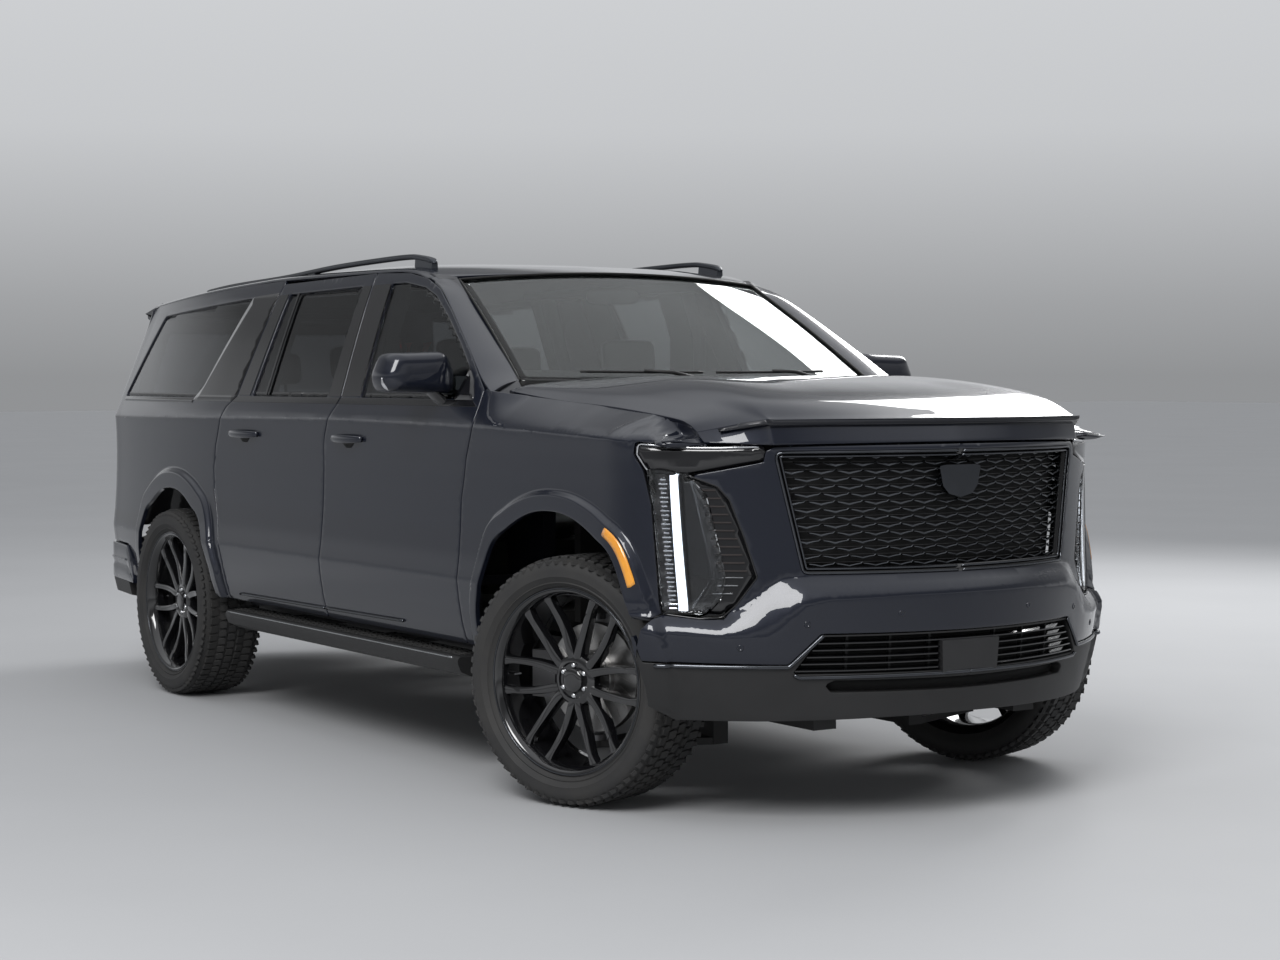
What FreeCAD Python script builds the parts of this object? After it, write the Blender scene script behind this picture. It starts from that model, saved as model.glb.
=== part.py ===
import FreeCAD, Part
import math
import os
from FreeCAD import Placement, Rotation, Vector

# A full-size four-door sport utility vehicle on a ladder frame.
# Frame: millimetres, +Z up, the front points along -Y and the car's left side lies at +X.
# The origin is on the ground, under the middle of the car's length and width.

doc = FreeCAD.newDocument("suv")

# Driving sizes: name, value in millimetres or degrees, what it is.
SIZES = [
    ("overall_length", 5790, "front bumper to rear bumper"),
    ("wheelbase", "=overall_length * 3407 / 5790", "front hub to rear hub"),
    ("front_overhang", "=overall_length * 985 / 5790", "front bumper to front hub"),
    ("body_half_width", 1003, "middle to door skin at its widest level"),
    ("flare_stand_out", 24, "arch flare beyond the door skin"),
    ("tyre_radius", 420, "tyre outer radius, and the hub's height"),
    ("tyre_width", 285, "tyre section width"),
    ("rim_radius", 305, "bead seat radius of the rim"),
    ("rim_width", 250, "rim width over its flanges"),
    ("track_half", 870, "middle to the wheel's centre plane"),
    ("kingpin_half", 815, "middle to the steering axis"),
    ("steer_at_rest", 20, "front wheels turned to the left as parked, degrees"),
    ("spindle_radius", 20, "hub spindle"),
    ("spindle_clearance", 0.3, "between spindle and bore"),
    ("disc_radius", 190, "brake disc"),
    ("spoke_pairs", 6, "pairs of spokes in a rim"),
    ("door_gap", 9, "gap round doors and lids"),
    ("door_thickness", 88, "door below the belt"),
    ("frame_thickness", 46, "door frame and pillar walls above the belt"),
    ("panel_thickness", 26, "fender, hood and bumper walls"),
    ("glass_thickness", 6, "window glass"),
    ("glass_inset", 9, "glass face behind the frame's face"),
    ("glass_clearance", 0.3, "between a glass and its frame"),
    ("door_bottom", 478, "height of the doors' lower edge"),
    ("belt_height", 1325, "height of the window sill line"),
    ("roof_side_height", 1862, "height where doors meet the roof"),
    ("side_lean", 0.4, "inward lean of the side windows, per unit height"),
    ("roof_height", 1904, "crown of the roof"),
    ("seam_slant", 0.24, "rearward run of the door seams per unit outward"),
    ("hinge_depth", 15, "door hinge axis behind the skin"),
    ("hinge_setback", 30, "door hinge axis behind the door's leading edge"),
    ("hinge_pin_radius", 9, "barrel of a door or lid hinge"),
    ("seat_gap", 0.3, "between pieces that rest on each other"),
    ("frame_rail_half", 420, "middle to the ladder frame rails' centre lines"),
    ("frame_rail_width", 90, "ladder frame rail"),
    ("frame_rail_height", 160, "ladder frame rail"),
    ("frame_rail_bottom", 300, "underside of the ladder frame"),
    ("receiver_outer", 64, "tow receiver tube, outside"),
    ("receiver_inner", 51, "tow receiver tube, inside"),
    ("receiver_length", 420, "tow receiver tube"),
    ("receiver_pin_radius", 8, "pin hole of the tow receiver"),
    ("receiver_pin_back", 65, "pin hole to the receiver's mouth"),
    ("floor_height", 560, "underside of the cabin floor"),
    ("floor_thickness", 40, "cabin floor"),
    ("rail_top_height", 1926, "top of the roof rails"),
    ("rail_half", 665, "middle to the roof rails"),
    ("step_height", 437, "top of the side steps"),
    ("bumper_stand_out", 57, "front bumper face ahead of the grille's face"),
]

sheet = doc.addObject("Spreadsheet::Sheet", "Sizes")
for row, (name, value, note) in enumerate(SIZES, start=1):
    sheet.set("A%d" % row, name)
    sheet.set("B%d" % row, str(value))
    sheet.set("C%d" % row, note)
    sheet.setAlias("B%d" % row, name)
doc.recompute()


def size(name):
    """The value of one named size."""
    return float(getattr(sheet, name))


# Stations along the car. Body shapes are drawn for a car of the drawn length, and each finished
# one is stretched along the car by one factor to the sheet's overall length.
DRAWN_LENGTH = 5790.0
STRETCH = size("overall_length") / DRAWN_LENGTH
FRONT_END = -DRAWN_LENGTH / 2
REAR_END = DRAWN_LENGTH / 2
FRONT_AXLE = FRONT_END + size("front_overhang") / STRETCH
REAR_AXLE = FRONT_AXLE + size("wheelbase") / STRETCH
HUB_HEIGHT = size("tyre_radius")
GRILLE_FACE = FRONT_END + size("bumper_stand_out")
HALF_WIDTH = size("body_half_width")
BELT = size("belt_height")
ROOF_SIDE = size("roof_side_height")
DOOR_BOTTOM = size("door_bottom")
GAP = size("door_gap")
SEAT = size("seat_gap")
SLANT = size("seam_slant")
LEAN = size("side_lean")

nodes = []


def stretched(shape):
    """A drawn body shape at the sheet's overall length."""
    if abs(STRETCH - 1) < 1e-9:
        return shape
    matrix = FreeCAD.Matrix()
    matrix.A22 = STRETCH
    return shape.transformGeometry(matrix)


def add(label, shape, place=None):
    """A sub-part whose form is computed: its own label, then its placement."""
    if place is None:
        shape = stretched(shape)
    item = doc.addObject("Part::Feature", label)
    item.Label = label
    item.Shape = shape
    if place is not None:
        item.Placement = place
    nodes.append(item)
    return item


def keep(item, label):
    """Make a document object a sub-part with its own label."""
    item.Label = label
    nodes.append(item)
    return item


def fused(shapes):
    """One shape from overlapping ones."""
    body = shapes[0].multiFuse(shapes[1:]) if len(shapes) > 1 else shapes[0]
    return body.removeSplitter()


def largest(shape):
    """The largest solid of a shape, without chips left by its cuts."""
    return max(shape.Solids, key=lambda solid: solid.Volume)


def outline(points, place):
    """A closed wire from 2-D points; a 4-value entry is an arc: middle point, end point."""
    edges = []
    start = place(*points[0])
    first = start
    for entry in list(points[1:]) + [points[0][:2]]:
        end = place(*entry[-2:])
        if (end - start).Length < 1e-6:
            continue
        if len(entry) == 4:
            edges.append(Part.Arc(start, place(*entry[:2]), end).toShape())
        else:
            edges.append(Part.LineSegment(start, end).toShape())
        start = end
    if (start - first).Length > 1e-6:
        edges.append(Part.LineSegment(start, first).toShape())
    return Part.Wire(edges)


def side_prism(points, outer, inner, slant=0.0):
    """Solid under a side-view outline (y, z), from x = outer to x = inner."""
    face = Part.Face(outline(points, lambda y, z: Vector(outer, y, z)))
    return face.extrude(Vector(inner - outer, (inner - outer) * slant, 0))


def front_prism(points, near, far):
    """Solid under a front-view outline (x, z), from y = near to y = far."""
    face = Part.Face(outline(points, lambda x, z: Vector(x, near, z)))
    return face.extrude(Vector(0, far - near, 0))


def plan_prism(points, low, high):
    """Solid under a plan outline (x, y), from z = low to z = high."""
    face = Part.Face(outline(points, lambda x, y: Vector(x, y, low)))
    return face.extrude(Vector(0, 0, high - low))


def block(x, y, z):
    """Box from three (low, high) pairs."""
    corner = Vector(min(x), min(y), min(z))
    return Part.makeBox(abs(x[1] - x[0]), abs(y[1] - y[0]), abs(z[1] - z[0]), corner)


def rod(start, end, radius):
    """Round bar between two points."""
    start = Vector(*start)
    run = Vector(*end) - start
    return Part.makeCylinder(radius, run.Length, start, run)


def mirrored(shape):
    """The same shape on the car's right side."""
    return shape.mirror(Vector(0, 0, 0), Vector(1, 0, 0))


def on_side(shape, side):
    """Shape modelled on the left, for side +1 (left) or -1 (right)."""
    return shape if side > 0 else mirrored(shape)


SIDES = [("left", 1), ("right", -1)]

# Body form
# Plan loops at several heights: front arc, corner arcs, straight sides, tapered rear.

FRONT_RADIUS = 1263
FRONT_CORNER = 230
REAR_RADIUS = 1530
REAR_CORNER = 230
TAPER_START = 1000
TAPER_END = 2470
TAPER_DROP = 113
REAR_FACE = REAR_END - 15


def corner_centre(side, radius, end, arc_radius, direction):
    """Centre of a corner arc tangent to a side line and to the end's arc."""
    arc_centre = end - direction * arc_radius
    across = side - radius
    along = math.sqrt((arc_radius - radius) ** 2 - across ** 2)
    return across, arc_centre + direction * along, arc_centre


def half_loop(side, front, rear, inset, front_radius, front_corner, rear_corner):
    """Corner points and arc middles of the left half of a plan loop."""
    fr, fc = front_radius - inset, front_corner - inset
    rr, rc = REAR_RADIUS - inset, rear_corner - inset
    w = side - inset
    w_rear = w - TAPER_DROP
    fx, fy, fo = corner_centre(w, fc, front + inset, fr, -1)
    rx, ry, ro = corner_centre(w_rear, rc, rear - inset, rr, 1)
    front_angle = math.atan2(fx, fo - fy)
    rear_angle = math.atan2(rx, ry - ro)
    touch_front = (fr * math.sin(front_angle), fo - fr * math.cos(front_angle))
    mid_front = math.radians(90) - (math.radians(90) - front_angle) / 2
    corner_front = (fx + fc * math.sin(mid_front), fy - fc * math.cos(mid_front))
    touch_rear = (rr * math.sin(rear_angle), ro + rr * math.cos(rear_angle))
    mid_rear = math.radians(90) - (math.radians(90) - rear_angle) / 2
    corner_rear = (rx + rc * math.sin(mid_rear), ry + rc * math.cos(mid_rear))
    bulge = TAPER_DROP * 0.25
    taper_mid = (w - bulge, (TAPER_START + ry) / 2)
    return [
        (0, front + inset), touch_front, corner_front, (w, fy), (w, TAPER_START),
        taper_mid, (w_rear, ry), corner_rear, touch_rear, (0, rear - inset),
    ]


def plan_loop(height, side, front, rear, inset=0.0, front_radius=FRONT_RADIUS,
              front_corner=FRONT_CORNER, rear_corner=REAR_CORNER):
    """Closed plan wire at one height."""
    half = half_loop(side, front, rear, inset, front_radius, front_corner, rear_corner)
    nose, touch_f, mid_f, side_f, side_t, mid_t, side_r, mid_r, touch_r, tail = half

    def left(p):
        return Vector(p[0], p[1], height)

    def right(p):
        return Vector(-p[0], p[1], height)

    edges = [
        Part.Arc(right(touch_f), left(nose), left(touch_f)).toShape(),
        Part.Arc(left(touch_f), left(mid_f), left(side_f)).toShape(),
        Part.LineSegment(left(side_f), left(side_t)).toShape(),
        Part.Arc(left(side_t), left(mid_t), left(side_r)).toShape(),
        Part.Arc(left(side_r), left(mid_r), left(touch_r)).toShape(),
        Part.Arc(left(touch_r), left(tail), right(touch_r)).toShape(),
        Part.Arc(right(touch_r), right(mid_r), right(side_r)).toShape(),
        Part.Arc(right(side_r), right(mid_t), right(side_t)).toShape(),
        Part.LineSegment(right(side_t), right(side_f)).toShape(),
        Part.Arc(right(side_f), right(mid_f), right(touch_f)).toShape(),
    ]
    return Part.Wire(edges)


# Side section below the belt: height, inset of the skin from the widest level.
LOWER_SECTION = [
    (430, 62), (560, 22), (715, 0), (990, 22), (1258, 14), (BELT, 38),
]
GLASSHOUSE_TOP = 1900
REAR_LEAN = 0.28
BELT_INSET = 38


def skin_inset(height):
    """Inset of the side skin at any height."""
    if height >= BELT:
        return BELT_INSET + LEAN * (height - BELT)
    for (low, inset_low), (high, inset_high) in zip(LOWER_SECTION, LOWER_SECTION[1:]):
        if low <= height <= high:
            share = (height - low) / (high - low)
            return inset_low + share * (inset_high - inset_low)
    return LOWER_SECTION[0][1]


def skin_x(height):
    """Half width of the side skin at any height, ahead of the rear taper."""
    return HALF_WIDTH - skin_inset(height)


def lower_core(depth):
    """Closed body below the belt, its wall moved inward by depth."""
    loops = [
        plan_loop(z, HALF_WIDTH - inset, GRILLE_FACE, REAR_FACE - inset * 0.5, depth)
        for z, inset in LOWER_SECTION
    ]
    return Part.makeLoft(loops, True, True)


def glasshouse_core(depth, low=BELT):
    """Closed glasshouse from the belt to the roof, its wall moved inward by depth."""
    loops = []
    for z in (low, GLASSHOUSE_TOP):
        side = skin_x(BELT) - LEAN * (z - BELT)
        rear = REAR_FACE - 60 - REAR_LEAN * (z - BELT)
        loops.append(plan_loop(z, side, GRILLE_FACE + 500, rear, depth,
                               front_radius=1500, rear_corner=190))
    return Part.makeLoft(loops, True, True)


door_wall = lower_core(0).cut(lower_core(size("door_thickness")))
upper_wall = glasshouse_core(0).cut(glasshouse_core(size("frame_thickness")))
thin_wall = lower_core(0).cut(lower_core(size("panel_thickness")))
# Its foot reaches into the quarter panel's lower wall, so the two join there.
quarter_wall = glasshouse_core(0.5, BELT - 12).cut(
    glasshouse_core(size("frame_thickness"), BELT - 30))
glass_wall = glasshouse_core(size("glass_inset")).cut(
    glasshouse_core(size("glass_inset") + size("glass_thickness")))

SEAM_PLANE = HALF_WIDTH + 60


def seam(points):
    """Side outline drawn on the skin, moved to the plane that slanted seams start from."""
    moved = []
    for entry in points:
        new = []
        for y, z in zip(entry[0::2], entry[1::2]):
            new += [y + SLANT * (SEAM_PLANE - skin_x(z)), z]
        moved.append(tuple(new))
    return moved


def seam_prism(points, inner=420):
    """Slanted solid under a side outline, left side."""
    return side_prism(seam(points), SEAM_PLANE, inner, SLANT)


def grown(points, distance):
    """A side outline of straight lines moved outward by a distance."""
    face = Part.Face(Part.makePolygon([Vector(0, y, z) for y, z in points + points[:1]]))
    wire = face.makeOffset2D(distance, 2).Wires[0]
    return [(v.Y, v.Z) for v in wire.OrderedVertexes]


# Side outlines (y, z) of the openings, from the front of the car to the rear.
DOOR_FRONT_EDGE = [(-1250, DOOR_BOTTOM), (-1250, 996), (-1290, 1150), (-1348, 1263), (-1345, 1394)]
FRONT_DOOR_TOP = [(-1140, 1530), (-889, 1681), (-728, 1768), (-592, 1812), (-415, 1842)]
B_SEAM = [(-122, 1850), (-128, 1805), (-214, 1356), (-118, 1183), (-98, DOOR_BOTTOM)]
REAR_DOOR_REAR = [(755, 1834), (762, 1800), (812, 1356), (885, 1315), (925, 1244), (985, 1140),
                  (1010, 1040), (1000, 950), (945, 800), (905, 660), (890, DOOR_BOTTOM)]

front_door_outline = DOOR_FRONT_EDGE + FRONT_DOOR_TOP + B_SEAM
rear_door_outline = [(y + GAP, z) for y, z in reversed(B_SEAM)] + REAR_DOOR_REAR

FRONT_WINDOW = [(-1220, 1352), (-1220, 1422), (-1065, 1549), (-896, 1651), (-716, 1742),
                (-597, 1780), (-409, 1805), (-285, 1804), (-378, 1354)]
REAR_WINDOW = [(-78, 1358), (-32, 1801), (552, 1790), (504, 1358)]
QUARTER_WINDOW = [(1216, 1394), (1022, 1785), (2190, 1728), (2410, 1345), (1290, 1345)]


def arch(axle, reach, height, corner_x, corner_z, foot):
    """Side outline of a squarish wheel arch over an axle."""
    return [
        (axle - reach, foot), (axle - reach + 25, HUB_HEIGHT + 200),
        (axle - corner_x, HUB_HEIGHT + corner_z), (axle - 0.42 * corner_x, HUB_HEIGHT + height - 22),
        (axle, HUB_HEIGHT + height), (axle + 0.42 * corner_x, HUB_HEIGHT + height - 22),
        (axle + corner_x, HUB_HEIGHT + corner_z), (axle + reach - 25, HUB_HEIGHT + 200),
        (axle + reach, foot),
    ]


FOOT = 250
front_opening = arch(FRONT_AXLE, 520, 566, 400, 425, FOOT)
rear_opening = arch(REAR_AXLE, 500, 516, 375, 388, FOOT)
front_flare_line = arch(FRONT_AXLE, 590, 636, 460, 482, FOOT)
rear_flare_line = arch(REAR_AXLE, 565, 606, 440, 448, FOOT)


def flare(line, opening, low, high, front, rear):
    """Arch flare on the left side: a band that stands out of the skin."""
    outer = HALF_WIDTH + size("flare_stand_out")
    band = side_prism(line, outer, HALF_WIDTH - 70).cut(side_prism(opening, 1200, 800))
    return band.common(block((800, 1200), (front, rear), (low, high)))


# Ladder frame and underbody

rail_in = size("frame_rail_half") - size("frame_rail_width") / 2


def sheet_box(name, lengths, corner):
    """Part::Box bound to the sheet by expressions for its lengths and corner."""
    item = doc.addObject("Part::Box", name)
    for prop, text in zip(("Length", "Width", "Height"), lengths):
        item.setExpression(prop, text)
    for axis, text in zip(("x", "y", "z"), corner):
        item.setExpression(".Placement.Base." + axis, text)
    return item


frame_parts = []
for name, side in SIDES:
    centre = "(%d) * Sizes.frame_rail_half - Sizes.frame_rail_width / 2" % side
    frame_parts.append(sheet_box(
        "FrameRail_" + name,
        ("Sizes.frame_rail_width", "Sizes.overall_length - 420", "Sizes.frame_rail_height"),
        (centre, "-Sizes.overall_length / 2 + 230", "Sizes.frame_rail_bottom")))
# Cross-members: distance behind the front end, depth along the car.
CROSS_MEMBERS = [(260, 90), (830, 130), (1800, 100), (2700, 100), (3700, 120), (4500, 120), (5300, 90)]
for index, (behind, depth) in enumerate(CROSS_MEMBERS, start=1):
    frame_parts.append(sheet_box(
        "CrossMember_%d" % index,
        ("2 * Sizes.frame_rail_half", "%d mm" % depth, "Sizes.frame_rail_height * 0.5"),
        ("-Sizes.frame_rail_half", "-Sizes.overall_length / 2 + Sizes.overall_length * %d / 5790" % behind,
         "Sizes.frame_rail_bottom + Sizes.frame_rail_height * 0.25")))
# Tow receiver: a square tube under the rear bumper with a hole for its pin.
frame_parts.append(sheet_box(
    "ReceiverTube",
    ("Sizes.receiver_outer", "Sizes.receiver_length", "Sizes.receiver_outer"),
    ("-Sizes.receiver_outer / 2", "Sizes.overall_length / 2 - 60 - Sizes.receiver_length",
     "Sizes.frame_rail_bottom + Sizes.frame_rail_height / 2 - Sizes.receiver_outer / 2")))
ladder = doc.addObject("Part::MultiFuse", "LadderFrame")
ladder.Shapes = frame_parts
bore = sheet_box(
    "ReceiverBore",
    ("Sizes.receiver_inner", "Sizes.receiver_length", "Sizes.receiver_inner"),
    ("-Sizes.receiver_inner / 2", "Sizes.overall_length / 2 - 40 - Sizes.receiver_length",
     "Sizes.frame_rail_bottom + Sizes.frame_rail_height / 2 - Sizes.receiver_inner / 2"))
pin_hole = doc.addObject("Part::Cylinder", "ReceiverPinHole")
pin_hole.setExpression("Radius", "Sizes.receiver_pin_radius")
pin_hole.setExpression("Height", "Sizes.receiver_outer + 20")
pin_hole.Placement.Rotation = Rotation(Vector(0, 1, 0), 90)
pin_hole.setExpression(".Placement.Base.x", "-Sizes.receiver_outer / 2 - 10")
pin_hole.setExpression(".Placement.Base.y", "Sizes.overall_length / 2 - 60 - Sizes.receiver_pin_back")
pin_hole.setExpression(".Placement.Base.z", "Sizes.frame_rail_bottom + Sizes.frame_rail_height / 2")
receiver_cuts = doc.addObject("Part::MultiFuse", "ReceiverCuts")
receiver_cuts.Shapes = [bore, pin_hole]
ladder_cut = doc.addObject("Part::Cut", "LadderWithReceiver")
ladder_cut.Base = ladder
ladder_cut.Tool = receiver_cuts
doc.recompute()
keep(ladder_cut, "ladder_frame")

FRAME_TOP = size("frame_rail_bottom") + size("frame_rail_height")
FLOOR = size("floor_height")
FLOOR_TOP = FLOOR + size("floor_thickness")
FIREWALL = -1470
FLOOR_REAR = 2540
PILLAR_INNER = 700
PILLAR_OUTER = 752
FLOOR_HALF = PILLAR_INNER - SEAT


COWL_SEAT = 1290
HOOD_HINGE = (-1560, 1360)
HOOD_HINGE_X = 600


def floor_shape():
    """Cabin and load floor with its body mounts, firewall and rear wheel housings."""
    pieces = [block((-FLOOR_HALF, FLOOR_HALF), (FIREWALL, FLOOR_REAR), (FLOOR, FLOOR_TOP))]
    pieces.append(block((-640, 640), (FIREWALL - 40, FIREWALL), (FLOOR, COWL_SEAT)))
    for x in (-HOOD_HINGE_X, HOOD_HINGE_X):
        y, z = HOOD_HINGE
        pieces.append(block((x - 10, x + 10), (y - 12, y + 12), (COWL_SEAT - 50, z)))
        pieces.append(block((x - 10, x + 10), (y - 12, FIREWALL - 20), (COWL_SEAT - 50, COWL_SEAT)))
        pieces.append(rod((x - 20, y, z), (x + 20, y, z), size("hinge_pin_radius")))
    for side in (-1, 1):
        for y in (-1300, -300, 800, 1900, 2500):
            pieces.append(rod((side * size("frame_rail_half"), y, FRAME_TOP),
                              (side * size("frame_rail_half"), y, FLOOR + 5), 38))
    return fused(pieces)


add("floor_and_firewall", floor_shape())

# Body sides: sill, pillars, rear quarter

SILL_TOP = FLOOR_TOP
HINGE_HEIGHTS = (700, 1060)


def hinge_place(leading):
    """Hinge axis of a side door, from the y of its straight leading edge."""
    return HALF_WIDTH - size("hinge_depth"), leading + size("hinge_setback")


FRONT_HINGE = hinge_place(-1250)
REAR_HINGE = hinge_place(-100)
ARM_FRONT = 4
ARM_REAR = 22
ARM_HALF_HEIGHT = 17
BARREL_HALF_HEIGHT = 20
POCKET_EXTRA = 0.3


def hinge_arm(place, wall):
    """Body half of a door hinge: barrel and arm back to the pillar wall."""
    x, y = place
    parts = []
    for z in HINGE_HEIGHTS:
        barrel = Part.makeCylinder(size("hinge_pin_radius"), 2 * BARREL_HALF_HEIGHT,
                                   Vector(x, y, z - BARREL_HALF_HEIGHT))
        arm = block((wall - 2, x), (y - ARM_FRONT, y + ARM_REAR),
                    (z - ARM_HALF_HEIGHT, z + ARM_HALF_HEIGHT))
        parts.append(fused([barrel, arm]))
    return parts


def hinge_pocket(place):
    """Pocket in a door that the hinge arm and barrel turn in."""
    x, y = place
    half = BARREL_HALF_HEIGHT + POCKET_EXTRA
    pieces = []
    for z in HINGE_HEIGHTS:
        pieces.append(block((x - 200, x + 1), (y - 200, y + 85), (z - half, z + half)))
        pieces.append(Part.makeCylinder(size("hinge_pin_radius") + 5, 2 * half,
                                        Vector(x, y, z - half)))
    return fused(pieces)


B_PILLAR_X = 835
B_PILLAR_WAIST = 762
SILL_OUTER = 824
PILLAR_DEPTH = 62
FENDER_SEAT = 790


def door_frame():
    """Left door frame: sill, hinge pillar, B and C pillars, cant rail and windscreen pillar."""
    sill = block((PILLAR_INNER, SILL_OUTER), (-1400, 985), (FLOOR - 120, SILL_TOP))
    hinge_pillar = fused([
        block((PILLAR_INNER, PILLAR_OUTER), (-1440, -1190), (FLOOR, 1330)),
        block((PILLAR_INNER, FENDER_SEAT), (-1450, -1350), (1200, 1392))])
    roof_x = skin_x(ROOF_SIDE) - 68
    pillar_line = [(B_PILLAR_X, FLOOR), (B_PILLAR_X, 1120), (800, 1200), (B_PILLAR_WAIST, 1260),
                   (B_PILLAR_WAIST, 1600), (705, 1805), (roof_x, 1830),
                   (roof_x - PILLAR_DEPTH, 1830), (B_PILLAR_WAIST - PILLAR_DEPTH, 1600),
                   (B_PILLAR_WAIST - PILLAR_DEPTH, FLOOR)]
    b_pillar = front_prism(pillar_line, -225, -45)
    c_line = [(850, FLOOR), (850, 1250), (845, 1330), (roof_x + 24, 1830),
              (roof_x - 60, 1830), (780, 1330), (780, FLOOR)]
    c_pillar = front_prism(c_line, 965, 1060)
    cant = block((roof_x - 82, roof_x + 4), (-640, 1060), (1790, 1832))
    pieces = [sill, hinge_pillar, b_pillar, c_pillar, cant, windscreen_pillar()]
    pieces += hinge_arm(FRONT_HINGE, PILLAR_OUTER)
    pieces += hinge_arm(REAR_HINGE, B_PILLAR_X)
    return largest(fused(pieces).cut(roof_shape))


def quarter_panel():
    """Left quarter panel with its wheel opening, flare and window opening."""
    quarter_line = (
        [(y + GAP, z) for y, z in reversed(REAR_DOOR_REAR)][:-1]
        + [(752, 1853), (1100, 1841), (1690, 1818), (2420, 1780), (2900, 1780),
           (2900, 600), (2100, 450), (900, 470)])
    lower = door_wall.common(seam_prism(quarter_line, 500))
    left_half = block((0, 1300), (-2000, 3000), (0, 2000))
    upper = quarter_wall.common(seam_prism(quarter_line, 300)).common(left_half).cut(roof_shape)
    quarter = fused([lower.common(left_half), upper])
    quarter = quarter.cut(side_prism(rear_opening, 1300, 600))
    quarter = quarter.cut(side_prism(grown(BUMPER_SIDE, SEAT), 1300, 0))
    quarter = quarter.cut(side_prism(QUARTER_WINDOW, 1300, 300))
    quarter = quarter.cut(front_prism(TAILGATE_APERTURE, 2350, 3100))
    quarter = quarter.cut(front_prism(grown_front(TAIL_LAMP, SEAT), TAIL_LAMP_FRONT - SEAT, 3100))
    wheel_flare = flare(rear_flare_line, rear_opening, 480, 1400, REAR_AXLE - 560, 2500)
    door_edge = [(y + GAP, z) for y, z in REAR_DOOR_REAR] + [(700, DOOR_BOTTOM), (700, 1842)]
    quarter = fused([quarter, wheel_flare.cut(seam_prism(door_edge, 500))])
    return largest(quarter.cut(frame_shape))


def grown_front(points, distance):
    """A front-view outline moved outward by a distance."""
    face = Part.Face(Part.makePolygon([Vector(x, 0, z) for x, z in points + points[:1]]))
    wire = face.makeOffset2D(distance, 2).Wires[0]
    return [(v.X, v.Z) for v in wire.OrderedVertexes]


# Windscreen: horizontal arcs at two heights; half width and y at the corner, y at the middle.
SCREEN_BASE_Z = 1424
SCREEN_TOP_Z = 1807
SCREEN_BASE = (785, -1333, -1440)
SCREEN_TOP = (680, -688, -750)


def screen_section(z, depth):
    """Thin closed arc band of the windscreen at one height."""
    share = (z - SCREEN_BASE_Z) / (SCREEN_TOP_Z - SCREEN_BASE_Z)
    half = SCREEN_BASE[0] + share * (SCREEN_TOP[0] - SCREEN_BASE[0]) + 60
    corner = SCREEN_BASE[1] + share * (SCREEN_TOP[1] - SCREEN_BASE[1]) + 17
    middle = SCREEN_BASE[2] + share * (SCREEN_TOP[2] - SCREEN_BASE[2])
    front = Part.Arc(Vector(-half, corner, z), Vector(0, middle, z), Vector(half, corner, z))
    back = Part.Arc(Vector(half, corner + depth, z), Vector(0, middle + depth, z),
                    Vector(-half, corner + depth, z))
    return Part.Wire([
        front.toShape(),
        Part.LineSegment(Vector(half, corner, z), Vector(half, corner + depth, z)).toShape(),
        back.toShape(),
        Part.LineSegment(Vector(-half, corner + depth, z), Vector(-half, corner, z)).toShape(),
    ])


def windscreen():
    """Curved windscreen glass."""
    depth = size("glass_thickness") * 2
    band = Part.makeLoft([screen_section(1360, depth), screen_section(1880, depth)], True, True)
    edge = [(-785, 1424), (-680, 1800), (0, 1832, 680, 1800), (785, 1424), (0, 1416, -785, 1424)]
    return band.common(front_prism(edge, -1700, -400))


# Windscreen pillar: height, edge at the windscreen (x, y), edge at the door frame (x, y).
PILLAR_STATIONS = [
    (1372, (808, -1420), (942, -1394)), (1424, (795, -1338), (922, -1326)),
    (1530, (764, -1158), (880, -1155)), (1807, (689, -692), (770, -634)),
    (1832, (680, -655), (760, -560)),
]


def windscreen_pillar(spread=0):
    """Left pillar beside the windscreen; spread widens it to the clearance the door leaves."""
    sections = []
    for index, (z, (ix, iy), (ox, oy)) in enumerate(PILLAR_STATIONS):
        if spread and index == 0:
            z -= 2 * spread
        ring = [(ix, iy - 4 * spread), (ox + 4 * spread, oy - 4 * spread),
                (ox - 3 + 2 * spread, oy + 10 + spread), (ox - 72, oy + 62 + 1.4 * spread),
                (ix - 40, iy + 72 + 2 * spread)]
        sections.append(Part.makePolygon([Vector(x, y, z) for x, y in ring + ring[:1]]))
    return Part.makeLoft(sections, True, True)


# Rear end outlines (x, z) in front view.
TAILGATE = [(-742, 700), (-760, 1240), (-640, 1742), (640, 1742), (760, 1240), (742, 700)]
TAILGATE_APERTURE = [(-751, 600), (-770, 1242), (-632, 1830), (632, 1830), (770, 1242), (751, 600)]
TAIL_GLASS = [(-640, 1345), (-560, 1655), (560, 1655), (640, 1345)]
TAIL_LAMP = [(775, 700), (790, 1250), (700, 1640), (780, 1640), (880, 1250), (905, 700)]
TAIL_LAMP_FRONT = 2542
# Side outline (y, z) of the rear bumper.
BUMPER_SIDE = [(2110, 452), (2160, 560), (2240, 632), (2330, 632), (2700, 634), (2960, 690),
               (2960, 452)]

# Roof

# Stations: y, half width, edge height, crown height.
ROOF_STATIONS = [
    (-742, 664, 1808, 1848), (-600, 744, 1833, 1882), (-415, 748, 1866, 1897),
    (-56, 745, 1869, size("roof_height")), (743, 742, 1853, 1886), (1690, 712, 1829, 1850),
    (2492, 640, 1790, 1815),
]
TAILGATE_HINGE = (2506, 1796)
TAILGATE_HINGE_X = 460
LID_BARREL = 6


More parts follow.
